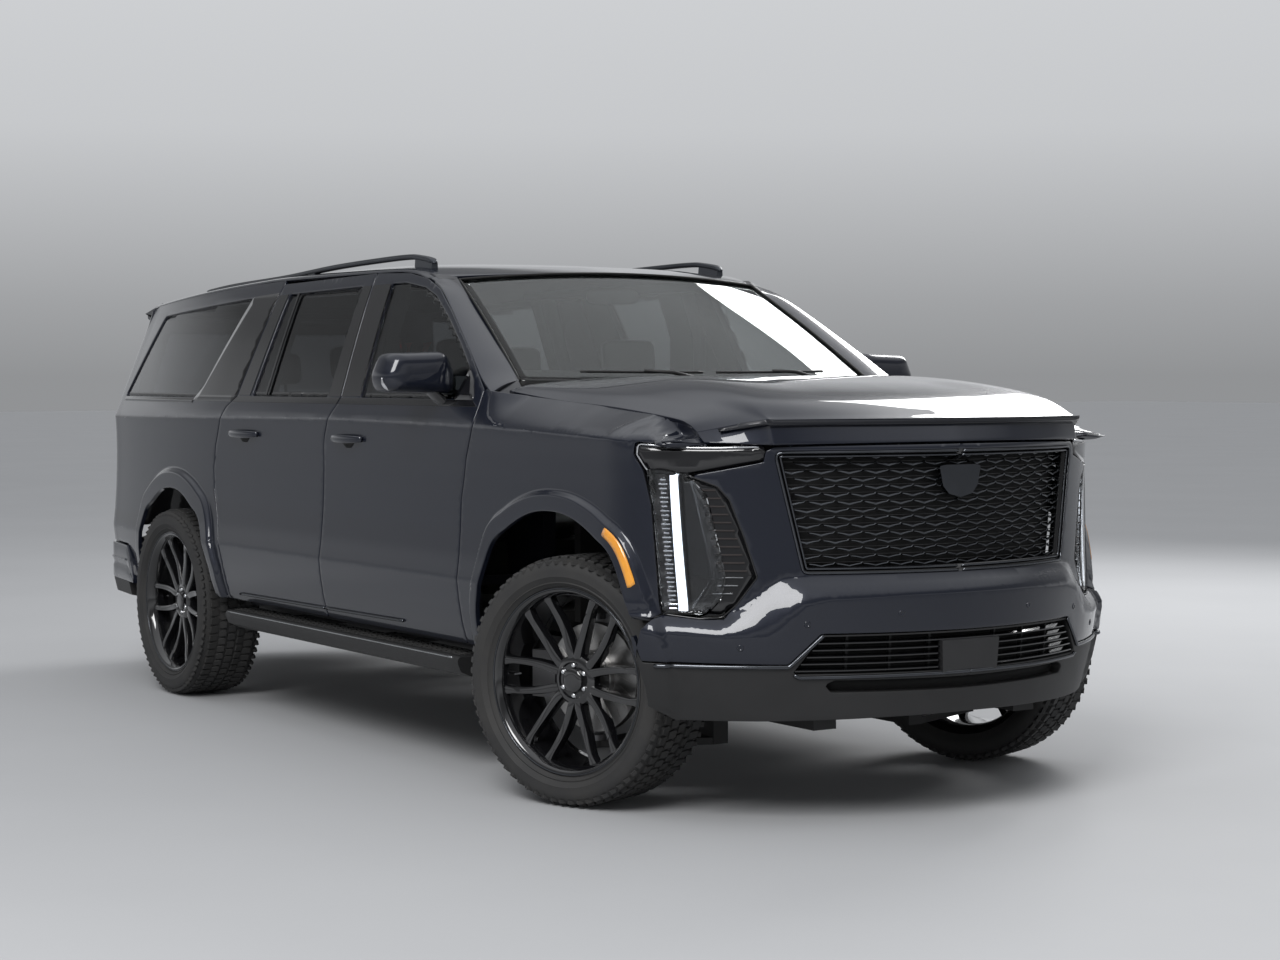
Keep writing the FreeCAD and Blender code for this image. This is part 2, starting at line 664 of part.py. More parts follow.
def roof():
    """Crowned roof panel with the body halves of the tailgate hinges."""
    thickness = size("panel_thickness")
    sections = []
    for y, half, edge, crown in ROOF_STATIONS:
        shoulder = edge + (crown - edge) * 0.72
        ring = [(-half, edge), (-half + 150, shoulder), (0, crown), (half - 150, shoulder),
                (half, edge), (half - 45, edge - 10), (half - 150, shoulder - thickness),
                (0, crown - thickness), (-half + 150, shoulder - thickness), (-half + 45, edge - 10)]
        sections.append(Part.makePolygon([Vector(x, y, z) for x, z in ring + ring[:1]]))
    pieces = [Part.makeLoft(sections, True, True)]
    y, z = TAILGATE_HINGE
    for x in (-TAILGATE_HINGE_X, TAILGATE_HINGE_X):
        pieces.append(rod((x - 20, y, z), (x + 20, y, z), LID_BARREL))
        pieces.append(block((x - 20, x + 20), (y - 106, y), (z - 16, z - 2)))
    return fused(pieces)


roof_shape = roof()
add("roof_panel", roof_shape)
frame_shape = door_frame()
quarter_shape = quarter_panel()
for name, side in SIDES:
    add("door_frame_" + name, on_side(frame_shape, side))
    add("quarter_panel_" + name, on_side(quarter_shape, side))


def roof_rail(side):
    """Roof rail on three feet."""
    x = side * size("rail_half")
    top = size("rail_top_height")
    line = [(-480, 1862), (-430, top - 34), (-266, top - 8), (-56, top), (743, top - 20),
            (1490, top - 60), (1847, top - 100), (1870, 1806), (1830, 1806), (1780, top - 126),
            (1490, top - 90), (743, top - 48), (-56, top - 28), (-250, top - 40), (-380, 1862)]
    return side_prism(line, x - 18, x + 18)


add("roof_rails", Part.makeCompound([roof_rail(side).cut(roof_shape) for side in (1, -1)]))
screen_shape = windscreen().cut(fused([roof_shape, windscreen_pillar(0)]))
screen_shape = screen_shape.cut(mirrored(windscreen_pillar(0)))
add("windscreen", screen_shape)


def cowl():
    """Cowl panel between the hood and the windscreen."""
    ring = [(FIREWALL - 22, COWL_SEAT + SEAT), (FIREWALL - 22, 1322), (-1462, 1335), (-1453, 1400),
            (-1440, 1400), (-1400, 1345), (-1400, 1305), (-1437, 1305), (-1437, COWL_SEAT + SEAT)]
    return side_prism(ring, 620, -620)


add("cowl", cowl().cut(windscreen()))

# Hood

# Stations: y, crown, crease (x, z), ridge (x, z), seam (x, z).
HOOD_STATIONS = [
    (-1490, 1432, (560, 1432), (790, 1412), (868, 1372)),
    (-2040, 1432, (550, 1429), (728, 1380), (822, 1338)),
    (-2330, 1408, (565, 1404), (692, 1350), (790, 1304)),
    (-2560, 1376, (590, 1371), (668, 1322), (778, 1240)),
    (-2830, 1284, (600, 1282), (660, 1272), (700, 1225)),
]
HOOD_TUCK = 40


def hood():
    """Hood: creased top with turned-down sides, open underneath."""
    sections = []
    for y, crown, crease, ridge, edge in HOOD_STATIONS:
        half = [(0, crown), crease, ridge, edge]
        inner = [(edge[0] - 30, edge[1] - 6), (ridge[0] - 18, ridge[1] - HOOD_TUCK),
                 (crease[0] - 10, crease[1] - HOOD_TUCK), (0, crown - HOOD_TUCK)]
        left = half + inner
        ring = left[:-1] + [left[-1]] + [(-x, z) for x, z in reversed(left[1:-1])]
        sections.append(Part.makePolygon([Vector(x, y, z) for x, z in ring + ring[:1]]))
    body = Part.makeLoft(sections, True, True)
    trim = plan_prism([(-900, -1575), (-900, -2560), (-657, -2645), (0, -2786, 657, -2645),
                       (900, -2560), (900, -1575), (0, -1500, -900, -1575)], 1000, 1500)
    pieces = [body.common(trim)]
    y, z = HOOD_HINGE
    for x in (-HOOD_HINGE_X, HOOD_HINGE_X):
        for offset in (-24 - SEAT, 20 + SEAT):
            lug = block((x + offset, x + offset + 4), (y - 14, y + 14), (z, z + 40))
            eye = rod((x + offset, y, z), (x + offset + 4, y, z), 14)
            pieces.append(fused([lug, eye]))
    return fused(pieces)


add("hood", hood())

# Front fenders


def fender():
    """Left front fender: side skin, top skin to the hood seam, arch flare."""
    side = thin_wall.common(side_prism(
        [(-1256, 500), (-1256, 1000), (-1296, 1152), (-1356, 1266), (-1356, BELT - 2),
         (-2372, 1258)] + [(y + 5, z) for y, z in reversed(LAMP_REAR)]
        + [(-2300, 660), (-1500, 500)], 1300, 700))
    thickness = size("panel_thickness")
    sections = []
    # Station y, hood seam (x, z) of the fender's top skin.
    for y, seam_x, seam_z in ((-1356, 882, 1392), (-1413, 877, 1388), (-1578, 876, 1369), (-1952, 841, 1342),
                              (-2275, 809, 1312), (-2385, 802, 1290)):
        shoulder = skin_x(1240)
        ring = [(shoulder, 1236), (skin_x(1258) - 8, 1262), (seam_x, seam_z),
                (seam_x, seam_z - thickness), (skin_x(1258) - 36, 1236)]
        sections.append(Part.makePolygon([Vector(x, y, z) for x, z in ring + ring[:1]]))
    top = Part.makeLoft(sections, True, True)
    shape = fused([side, top])
    shape = shape.cut(side_prism(front_opening, 1300, 600))
    band = flare(front_flare_line, front_opening, 669, 1400, -2500, -1500)
    rear_band = flare(front_flare_line, front_opening, 480, 1400, FRONT_AXLE, -1261)
    bracket = block((FENDER_SEAT + SEAT, 905), (-1452, -1430), (1290, 1330))
    shape = fused([shape, band, rear_band, bracket]).cut(windscreen_pillar(SEAT))
    return largest(shape.cut(seam_prism(grown(front_door_outline, GAP), 800)))


def front_shell(face, radius, corner, wall, low, high, side=HALF_WIDTH):
    """Vertical wall that follows the nose in plan."""
    solids = []
    for inset in (0, wall):
        loops = plan_loop(low, side, face, REAR_FACE, inset, front_radius=radius,
                          front_corner=corner)
        solids.append(Part.Face(loops).extrude(Vector(0, 0, high - low)))
    return solids[0].cut(solids[1])


# Rear edge (y, z) of a headlamp in side view, from the bottom up.
LAMP_REAR = [(-2458, 680), (-2445, 759), (-2431, 901), (-2421, 1028), (-2400, 1139),
             (-2371, 1186), (-2377, 1240)]

for name, side in SIDES:
    add("fender_" + name, on_side(fender(), side))

# Nose: lamps, grille and bumper, outlines (x, z) in front view

LAMP = [(643, 1202), (974, 1228), (972, 1186), (955, 1139), (938, 1028), (929, 901), (915, 759),
        (908, 686), (817, 672), (762, 673), (729, 715), (672, 800), (704, 921), (743, 1047),
        (773, 1088), (842, 1125), (650, 1168)]
GRILLE_FRAME = [(641, 1205), (552, 800), (-552, 800), (-641, 1205)]
GRILLE_MESH = [(610, 1190), (500, 826), (-500, 826), (-610, 1190)]
INTAKE = [(508, 628), (585, 500), (-585, 500), (-508, 628)]

nose_wall = front_shell(GRILLE_FACE, FRONT_RADIUS, FRONT_CORNER, 70, 600, 1300)
lamp = nose_wall.common(front_prism(LAMP, FRONT_END - 50, -2300)).common(
    side_prism([(FRONT_END, 600)] + LAMP_REAR + [(FRONT_END, 1240)], 1300, 0))
add("headlamps", Part.makeCompound([lamp, mirrored(lamp)]))

grille_wall = front_shell(GRILLE_FACE - 6, FRONT_RADIUS + 6, FRONT_CORNER, 50, 600, 1300)
grille_ring = grille_wall.common(
    front_prism(GRILLE_FRAME, FRONT_END - 50, -2300).cut(
        front_prism(GRILLE_MESH, FRONT_END - 60, -2290)))
bars = []
mesh_wall = front_shell(GRILLE_FACE + 4, FRONT_RADIUS - 4, FRONT_CORNER, 26, 600, 1300)
for index in range(9):
    z = 858 + index * 38
    bars.append(mesh_wall.common(front_prism([(-640, z), (-640, z + 12), (640, z + 12), (640, z)],
                                             FRONT_END - 50, -2300)))
mesh_area = front_prism(grown_front(GRILLE_MESH, 3), FRONT_END - 50, -2300)
grille = fused([grille_ring] + [piece.common(mesh_area) for piece in bars])
add("grille", grille)

bumper_upper = nose_wall.common(front_prism(
    [(-780, 700), (-780, 1199), (780, 1199), (780, 700)], FRONT_END - 50, -2380))
for outline_points in (LAMP, [(-x, z) for x, z in LAMP]):
    bumper_upper = bumper_upper.cut(
        front_prism(grown_front(outline_points, SEAT), FRONT_END - 80, -2200))
bumper_upper = bumper_upper.cut(
    front_prism(grown_front(GRILLE_FRAME, SEAT), FRONT_END - 80, -2200))
lower_wall = front_shell(FRONT_END, FRONT_RADIUS + 57, 240, 80, 350, 742)
bumper_line = [(-1100, 670), (-1100, 372), (-864, 352), (864, 352), (1100, 372), (1100, 670),
               (760, 662), (650, 742), (-650, 742), (-760, 662)]
bumper_lower = lower_wall.common(front_prism(bumper_line, FRONT_END - 50, -2330))
bumper_lower = bumper_lower.cut(front_prism(INTAKE, FRONT_END - 80, -2200))
for outline_points in (LAMP, [(-x, z) for x, z in LAMP]):
    bumper_lower = bumper_lower.cut(
        front_prism(grown_front(outline_points, SEAT), FRONT_END - 80, -2200))
intake_bars = []
for index in range(3):
    z = 522 + index * 34
    intake_bars.append(front_shell(FRONT_END + 20, FRONT_RADIUS + 37, 240, 40, z, z + 12).common(
        front_prism([(-600, z), (-600, z + 12), (600, z + 12), (600, z)], FRONT_END - 50, -2390)))
horns = []
for side in (-1, 1):
    horns.append(block((side * size("frame_rail_half") - 35, side * size("frame_rail_half") + 35),
                       (FRONT_END + 140, FRONT_END + 230 - SEAT), (380, 455)))
bumper_arch = flare(front_flare_line, front_opening, 380, 656, -2500, -2300)
front_bumper = fused([bumper_upper, bumper_lower, bumper_arch, mirrored(bumper_arch)]
                     + intake_bars + horns)
for side in (1, -1):
    front_bumper = front_bumper.cut(side_prism(front_opening, side * 1300, side * 600))
add("front_bumper", front_bumper)

# Doors


# Height at which each door's upper part is welded on: where its seam at the B pillar turns in.
FRONT_UPPER = B_SEAM[2][1]
REAR_UPPER = B_SEAM[3][1]


def door(points, window, hinge, weld):
    """Left door: its panel up to the weld, and the upper part with the window frame."""
    prism = seam_prism(points)
    shell = fused([door_wall.common(prism), upper_wall.common(prism)])
    shell = shell.cut(side_prism(window, 1300, 500))
    shell = shell.cut(windscreen_pillar(GAP))
    shell = shell.cut(roof_shape)
    shell = shell.cut(hinge_pocket(hinge))
    above = block((0, 1300), (-1600, 1300), (weld, 2000))
    return largest(shell.cut(above)), largest(shell.common(above))


def side_glass(window):
    """Left side glass that fills a window."""
    inset = grown(window, -size("glass_clearance"))
    return glass_wall.common(side_prism(inset, 1300, 500))


# Outside mirror: rings (x, z) at three stations y.
MIRROR_RINGS = [
    (-1120, [(985, 1392), (1170, 1402), (1178, 1440), (1150, 1490), (990, 1496)]),
    (-1070, [(960, 1374), (1204, 1388), (1212, 1440), (1178, 1518), (972, 1528)]),
    (-990, [(962, 1372), (1204, 1388), (1212, 1440), (1176, 1516), (974, 1526)]),
]


def mirror_housing():
    """Left outside mirror on its foot."""
    rings = [Part.makePolygon([Vector(x, y, z) for x, z in ring + ring[:1]])
             for y, ring in MIRROR_RINGS]
    head = Part.makeLoft(rings, True, True)
    foot = rod((930, -1090, 1345), (1020, -1050, 1400), 26)
    return fused([head, foot])


front_pane = side_glass(FRONT_WINDOW)
front_shape, front_upper = door(front_door_outline, FRONT_WINDOW, FRONT_HINGE, FRONT_UPPER)
rear_shape, rear_upper = door(rear_door_outline, REAR_WINDOW, REAR_HINGE, REAR_UPPER)
mirror_shape = largest(mirror_housing().cut(fused([front_shape, front_upper, front_pane])))
for name, side in SIDES:
    add("front_door_" + name, on_side(front_shape, side))
    add("front_door_upper_" + name, on_side(front_upper, side))
    add("front_door_glass_" + name, on_side(front_pane, side))
    add("mirror_" + name, on_side(mirror_shape, side))
    add("rear_door_" + name, on_side(rear_shape, side))
    add("rear_door_upper_" + name, on_side(rear_upper, side))
    add("rear_door_glass_" + name, on_side(side_glass(REAR_WINDOW), side))
quarter_pane = side_glass(QUARTER_WINDOW)
add("quarter_glass", Part.makeCompound([quarter_pane, mirrored(quarter_pane)]))

# Tailgate and rear end

def tailgate():
    """Tailgate shell with its window and roof spoiler."""
    prism = front_prism(TAILGATE, 2350, 3100)
    shell = fused([door_wall.common(prism), upper_wall.common(prism)])
    shell = shell.common(block((-900, 900), (2540, 3000), (0, 2000)))
    y, z = TAILGATE_HINGE
    spoiler = side_prism([(y + 6, z + 2), (y + 234, z - 44), (y + 229, z - 68), (y + 94, z - 96),
                          (y + 6, z - 36)], 625, -625)
    pieces = [shell, spoiler]
    for x in (-TAILGATE_HINGE_X, TAILGATE_HINGE_X):
        for offset in (-32 - SEAT, 20 + SEAT):
            pieces.append(rod((x + offset, y, z), (x + offset + 12, y, z), LID_BARREL))
            pieces.append(block((x + offset, x + offset + 12), (y, y + 12), (z - 8, z + 2)))
    return fused(pieces).cut(front_prism(TAIL_GLASS, 2350, 3100))


add("tailgate", tailgate())
tail_pane = glass_wall.common(front_prism(grown_front(TAIL_GLASS, -size("glass_clearance")), 2350, 3100))
add("tailgate_glass", tail_pane)
tail_wall = fused([door_wall, upper_wall])
tail_lamp = tail_wall.common(front_prism(TAIL_LAMP, TAIL_LAMP_FRONT, 3100))
add("tail_lamps", Part.makeCompound([tail_lamp, mirrored(tail_lamp)]))


def rear_bumper():
    """Rear bumper: a wall that follows the tail in plan."""
    outer = Part.Face(plan_loop(452, HALF_WIDTH + 5, GRILLE_FACE, REAR_END)).extrude(Vector(0, 0, 238))
    inner = Part.Face(plan_loop(452, HALF_WIDTH + 5, GRILLE_FACE, REAR_END, 110)).extrude(
        Vector(0, 0, 238))
    wall = outer.cut(inner)
    shape = wall.common(block((-1200, 1200), (2110, 3000), (452, 690)))
    shape = shape.common(side_prism(BUMPER_SIDE, 1200, -1200))
    brackets = []
    for side in (-1, 1):
        brackets.append(block((side * size("frame_rail_half") - 35, side * size("frame_rail_half") + 35),
                              (REAR_END - 190 + SEAT, REAR_END - 150), (400, 500)))
    return fused([shape] + brackets)


add("rear_bumper", rear_bumper().cut(side_prism(rear_flare_line, 1300, 600)).cut(
    side_prism(rear_flare_line, -1300, -600)))

# Side steps


def side_step(side):
    """Running board with its brackets to the frame."""
    top = size("step_height")
    board = front_prism([(side * 835, top - 60), (side * 850, top), (side * 1008, top),
                         (side * 1016, top - 12), (side * 1000, top - 62), (side * 880, top - 85)],
                        -1274, 831)
    outer_rail = side * (size("frame_rail_half") + size("frame_rail_width") / 2)
    pieces = [board]
    for y in (-1050, -200, 650):
        pieces.append(block((outer_rail, side * 860), (y, y + 60), (top - 70, top - 30)))
    return fused(pieces)


add("side_steps", Part.makeCompound([side_step(1), side_step(-1)]))

# Wheels

TYRE_PROFILE = [
    (-114.7, 0), (-114.7, 0.155), (-142.5, 0.42), (-136, 0.78), (-112, 0.965), (-60, 1.0),
    (60, 1.0), (112, 0.965), (136, 0.78), (142.5, 0.42), (114.7, 0.155), (114.7, 0),
]


def tyre():
    """Tyre about the X axis; the outer face points along +X."""
    bore = size("rim_radius")
    outer = size("tyre_radius")
    width = size("tyre_width") / 285
    ring = [(x * width, bore + share * (outer - bore)) for x, share in TYRE_PROFILE]
    face = Part.Face(Part.makePolygon([Vector(x, 0, r) for x, r in ring + ring[:1]]))
    return face.revolve(Vector(0, 0, 0), Vector(1, 0, 0), 360)


def rim():
    """Wheel rim about the X axis with paired spokes and a bored hub."""
    bead = size("rim_radius") - 0.3
    half = size("rim_width") / 2
    flange = bead + 17
    ring = [(-half, flange), (-half + 8, flange), (-half + 10, bead), (half - 10, bead),
            (half - 8, flange), (half, flange), (half, bead - 4), (half - 34, bead - 26),
            (-half, bead - 14)]
    barrel = Part.Face(Part.makePolygon([Vector(x, 0, r) for x, r in ring + ring[:1]])).revolve(
        Vector(0, 0, 0), Vector(1, 0, 0), 360)
    hub_face = 78
    hub = Part.makeCylinder(88, 90, Vector(hub_face - 90, 0, 0), Vector(1, 0, 0))
    pieces = [barrel, hub]
    count = int(size("spoke_pairs"))
    for index in range(count):
        base = 90 + index * 360 / count
        for spread in (-1, 1):
            root = math.radians(base + spread * 10)
            tip = math.radians(base + spread * 19)
            spoke = spoke_bar(root, tip, bead)
            pieces.append(spoke)
    body = fused(pieces)
    bore_radius = size("spindle_radius") + size("spindle_clearance")
    bore = Part.makeCylinder(bore_radius, 70, Vector(hub_face - 90, 0, 0), Vector(1, 0, 0))
    return body.cut(bore)


def spoke_bar(root, tip, bead):
    """One spoke from the hub to the rim's front lip."""
    start = (66, 70 * math.cos(root), 70 * math.sin(root))
    end = (92, (bead - 6) * math.cos(tip), (bead - 6) * math.sin(tip))
    run = Vector(*end) - Vector(*start)
    across = Vector(1, 0, 0).cross(run).normalize()
    ring_a = []
    ring_b = []
    for depth, wide in ((-26, -15), (10, -9), (10, 9), (-26, 15)):
        ring_a.append(Vector(*start) + Vector(depth, 0, 0) + across * wide * 1.35)
        ring_b.append(Vector(*end) + Vector(depth, 0, 0) + across * wide)
    return Part.makeLoft([Part.makePolygon(ring + ring[:1]) for ring in (ring_a, ring_b)], True, True)


def brake_disc():
    """Brake disc on the wheel's hub."""
    disc = Part.makeCylinder(size("disc_radius"), 28, Vector(-62, 0, 0), Vector(1, 0, 0))
    hat = Part.makeCylinder(92, 52, Vector(-62, 0, 0), Vector(1, 0, 0))
    bore = Part.makeCylinder(size("spindle_radius") + size("spindle_clearance") + 8, 60,
                             Vector(-64, 0, 0), Vector(1, 0, 0))
    return fused([disc, hat]).cut(bore).cut(
        Part.makeCylinder(89, 200, Vector(-12, 0, 0), Vector(1, 0, 0)))


# Ball joints: end, axle, middle of the car to the joints, depth below and height above the hub.
BALL_JOINTS = [("front", FRONT_AXLE, size("kingpin_half"), 216, 216),
               ("rear", REAR_AXLE, size("track_half") - 100, 120, 112)]
BALL_RADIUS = 20


def knuckle(end, below, above):
    """Left knuckle about the wheel's centre: spindle, upright, ball seats and caliper."""
    axis_x = end - size("track_half")
    spindle = Part.makeCylinder(size("spindle_radius"), 160, Vector(-110, 0, 0), Vector(1, 0, 0))
    upright = block((-105, -75), (-45, 45), (-below, above))
    pieces = [spindle, upright]
    for low, high in ((-below, 20 - below), (above - 20, above)):
        pieces.append(Part.makeCylinder(BALL_RADIUS, high - low, Vector(axis_x, 0, low)))
        pieces.append(block(sorted((-90, axis_x)), (-BALL_RADIUS, BALL_RADIUS), (low, high)))
    caliper = block((-86, -12), (150, 250), (-80, 80)).cut(
        Part.makeCylinder(size("disc_radius") + 6, 40, Vector(-68, 0, 0), Vector(1, 0, 0)))
    pieces += [caliper, block((-104, -76), (0, 200), (-30, 30))]
    return fused(pieces)


def wheel_place(side, axle, steered):
    """Placement of a wheel modelled about its own centre."""
    if not steered:
        return Placement(Vector(side * size("track_half"), axle * STRETCH, HUB_HEIGHT), Rotation())
    offset = size("track_half") - size("kingpin_half")
    steer = Rotation(Vector(0, 0, 1), size("steer_at_rest"))
    centre = Vector(side * size("kingpin_half"), axle * STRETCH, HUB_HEIGHT)
    return Placement(centre + steer.multVec(Vector(side * offset, 0, 0)), steer)


tyre_shape = tyre()
rim_shape = Part.makeCompound([rim(), brake_disc()])
for name, side in SIDES:
    for end, axle, joint_x, below, above in BALL_JOINTS:
        place = wheel_place(side, axle, end == "front")
        add("%s_tyre_%s" % (end, name), on_side(tyre_shape, side), place)
        add("%s_rim_%s" % (end, name), on_side(rim_shape, side), place)
        add("%s_knuckle_%s" % (end, name), on_side(knuckle(joint_x, below, above), side), place)

# Running gear


def control_arms(axle, end, below, above):
    """Lower and upper arms with their frame brackets, from the ladder frame to the ball seats."""
    rail_out = size("frame_rail_half") + size("frame_rail_width") / 2
    shapes = []
    for low, half in ((-below - 24, 170), (above + SEAT, 110)):
        high = low + 24 - SEAT
        z_low, z_high = HUB_HEIGHT + low, HUB_HEIGHT + high
        ring = [(rail_out - 20, axle - half), (rail_out - 20, axle + half), (end, axle + BALL_RADIUS),
                (end, axle - BALL_RADIUS)]
        arm = plan_prism(ring, z_low, z_high)
        if low < 0:
            seat_z = (z_low, size("frame_rail_bottom") - SEAT)
        else:
            seat_z = (FRAME_TOP + SEAT, z_high)
        tower = block((rail_out - 70, rail_out - 10), (axle - half, axle + half), seat_z)
        eye = Part.makeCylinder(BALL_RADIUS, z_high - z_low, Vector(end, axle, z_low))
        shapes.append(fused([arm, tower, eye]))
    return Part.makeCompound(shapes + [mirrored(piece) for piece in shapes])


for end, axle, joint_x, below, above in BALL_JOINTS:
    add(end + "_suspension", control_arms(axle, joint_x, below, above))

engine = sheet_box(
    "Engine", ("640 mm", "600 mm", "600 mm"),
    ("-320 mm", "-Sizes.overall_length / 2 + Sizes.overall_length * 720 / 5790",
     "Sizes.frame_rail_bottom + Sizes.frame_rail_height * 0.75 + Sizes.seat_gap"))
doc.recompute()
keep(engine, "engine_block")

# Cabin


def dashboard():
    """Dashboard across the cabin."""
    ring = [(FIREWALL, 1000), (FIREWALL, 1280), (-1300, 1330), (-1080, 1250), (-1060, 1150),
            (-1130, 1000)]
    return side_prism(ring, 690, -690)


dashboard_shape = dashboard()
add("dashboard", dashboard_shape)


def seat(x, y, width, back_top):
    """One seat: cushion, leaned back and head restraint."""
    half = width / 2
    cushion = side_prism([(y - 270, 760), (y - 270, 900), (y + 230, 870), (y + 270, 740)],
                         x - half, x + half)
    back = side_prism([(y + 190, 850), (y + 330, back_top), (y + 410, back_top), (y + 350, 760),
                       (y + 230, 760)], x - half, x + half)
    head = side_prism([(y + 320, back_top + 30), (y + 345, back_top + 200), (y + 415, back_top + 195),
                       (y + 410, back_top + 30)], x - 130, x + 130)
    post = block((x - 60, x + 60), (y + 350, y + 370), (back_top - 20, back_top + 50))
    base = block((x - half + 60, x + half - 60), (y - 200, y + 200), (FLOOR_TOP + SEAT, 770))
    return fused([cushion, back, head, post, base])


add("front_seats", Part.makeCompound([seat(390, -560, 520, 1400), seat(-390, -560, 520, 1400)]))
add("middle_seats", Part.makeCompound([seat(400, 420, 500, 1380), seat(-400, 420, 500, 1380)]))
add("rear_seats", Part.makeCompound([seat(340, 1420, 480, 1360), seat(-340, 1420, 480, 1360)]))


def steering_wheel():
    """Steering wheel and column on the car's left."""
    centre = Vector(390, -950, 1150)
    axis = Vector(0, 0.9, 0.43)
    rim_ring = Part.makeTorus(185, 15, centre, axis)
    hub = Part.makeCylinder(55, 40, centre - axis * 30, axis)
    column = Part.makeCylinder(30, 180, centre - axis * 200, axis)
    spokes = block((390 - 185, 390 + 185), (-1000, -960), (1120, 1160))
    return fused([rim_ring, hub, column, spokes])


add("steering_wheel", steering_wheel().cut(dashboard_shape))

# Checks and export

doc.recompute()
for item in doc.Objects:
    if "Invalid" in item.State or "Error" in item.State:
        raise RuntimeError("failed object: " + item.Label)
for item in nodes:
    shape = item.Shape
    if shape.isNull() or not shape.isValid():
        raise RuntimeError("bad shape: " + item.Label)
    if not shape.Solids:
        raise RuntimeError("no solid: " + item.Label)

os.makedirs("parts", exist_ok=True)
for item in nodes:
    item.Shape.exportStep("parts/" + item.Label + ".step")
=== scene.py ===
# %% [markdown]
# # A full-size sport utility vehicle, dressed
# The CAD model gives every body of the car its place, in metres: +Z up, the nose points along -Y
# and the car's left side lies at +X. This lesson builds the visible skins, lamps, wheels and cabin
# around that fixed frame. Working sizes below are millimetres, because car drawings are.

# %% The frame
import math
import bpy
import bmesh
import numpy as np
from mathutils import Matrix, Vector
from mathutils.geometry import delaunay_2d_cdt


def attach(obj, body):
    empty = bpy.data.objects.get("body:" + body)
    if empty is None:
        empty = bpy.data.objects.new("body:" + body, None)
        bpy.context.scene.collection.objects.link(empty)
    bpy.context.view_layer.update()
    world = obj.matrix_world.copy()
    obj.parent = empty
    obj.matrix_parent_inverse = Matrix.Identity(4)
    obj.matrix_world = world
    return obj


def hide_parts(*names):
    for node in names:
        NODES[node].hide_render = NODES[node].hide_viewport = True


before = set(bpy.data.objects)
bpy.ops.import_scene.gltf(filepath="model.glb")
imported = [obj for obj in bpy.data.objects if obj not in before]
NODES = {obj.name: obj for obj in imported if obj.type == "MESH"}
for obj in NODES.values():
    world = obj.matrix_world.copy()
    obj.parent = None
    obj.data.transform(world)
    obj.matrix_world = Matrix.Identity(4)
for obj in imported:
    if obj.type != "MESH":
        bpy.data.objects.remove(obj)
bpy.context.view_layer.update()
MM = 0.001
SIDES = (("left", 1), ("right", -1))
print("frame:", len(NODES), "nodes")

# %% [markdown]
# ## Small drawing tools
# A panel of a car is a piece of a larger smooth surface, cut along an outline. So the tools here
# round the corners of an outline, space points evenly along it, and fill it with triangles.

# %% Outline tools
def round_corners(points, radius, closed=True):
    """An outline with its corners rounded; a third value on a point is its own radius."""
    count = len(points)
    result = []
    for i, entry in enumerate(points):
        corner = np.array(entry[:2], float)
        reach = entry[2] if len(entry) > 2 else radius
        if not closed and i in (0, count - 1):
            result.append(corner)
            continue
        before = np.array(points[i - 1][:2], float) - corner
        after = np.array(points[(i + 1) % count][:2], float) - corner
        len_a, len_b = np.linalg.norm(before), np.linalg.norm(after)
        cosine = np.clip(before @ after / (len_a * len_b), -1, 1)
        cut = reach / max(math.tan(math.acos(cosine) / 2), 1e-3)
        cut = min(cut, 0.48 * len_a, 0.48 * len_b)
        a, b = corner + before / len_a * cut, corner + after / len_b * cut
        for s in np.linspace(0, 1, 7):
            result.append((1 - s) ** 2 * a + 2 * s * (1 - s) * corner + s ** 2 * b)
    return np.array(result)


def spaced(points, step, closed=True):
    """The same line with points at an even spacing."""
    points = np.asarray(points, float)
    if closed:
        points = np.vstack([points, points[:1]])
    lengths = np.r_[0, np.cumsum(np.linalg.norm(np.diff(points, axis=0), axis=1))]
    count = max(int(round(lengths[-1] / step)), 3)
    at = np.linspace(0, lengths[-1], count + 1)
    if closed:
        at = at[:-1]
    return np.stack([np.interp(at, lengths, points[:, k]) for k in range(points.shape[1])], axis=1)


def smooth_through(points, count):
    """Catmull-Rom points through guides, with as many between each pair of guides."""
    p = np.asarray(points, float)
    p = np.concatenate([2 * p[:1] - p[1:2], p, 2 * p[-1:] - p[-2:-1]])
    result = []
    for i in range(1, len(p) - 2):
        for s in np.linspace(0, 1, count, endpoint=False):
            result.append(0.5 * (2 * p[i] + (p[i + 1] - p[i - 1]) * s
                                 + (2 * p[i - 1] - 5 * p[i] + 4 * p[i + 1] - p[i + 2]) * s ** 2
                                 + (3 * p[i] - p[i - 1] - 3 * p[i + 1] + p[i + 2]) * s ** 3))
    result.append(p[-2])
    return np.array(result)


def curve_through(points, step=20):
    """A smooth open line through points, evenly spaced."""
    return spaced(smooth_through(points, 12), step, closed=False)


def ease(share):
    """0 to 1 with a soft start and end."""
    return share * share * (3 - 2 * share)


def circle(count):
    """Evenly spaced angles round a circle."""
    return np.linspace(0, 2 * math.pi, count + 1)[:-1]


def powered(value, power):
    """A value's size raised to a power, its sign kept; it squares off a circle."""
    return math.copysign(abs(value) ** power, value)


def inside(points, loop):
    """Which points lie inside a closed loop."""
    x, y = points[:, 0], points[:, 1]
    result = np.zeros(len(points), bool)
    for (ax, ay), (bx, by) in zip(loop, np.roll(loop, -1, axis=0)):
        crosses = (ay > y) != (by > y)
        with np.errstate(divide="ignore", invalid="ignore"):
            at = (bx - ax) * (y - ay) / (by - ay) + ax
        result ^= crosses & (x < at)
    return result


def near_line(points, loop, distance):
    """Which points lie nearer than a distance to a closed loop."""
    close = np.zeros(len(points), bool)
    for a, b in zip(loop, np.roll(loop, -1, axis=0)):
        run = b - a
        share = np.clip(((points - a) @ run) / max(run @ run, 1e-9), 0, 1)
        gap = points - (a + share[:, None] * run)
        close |= (gap ** 2).sum(axis=1) < distance ** 2
    return close


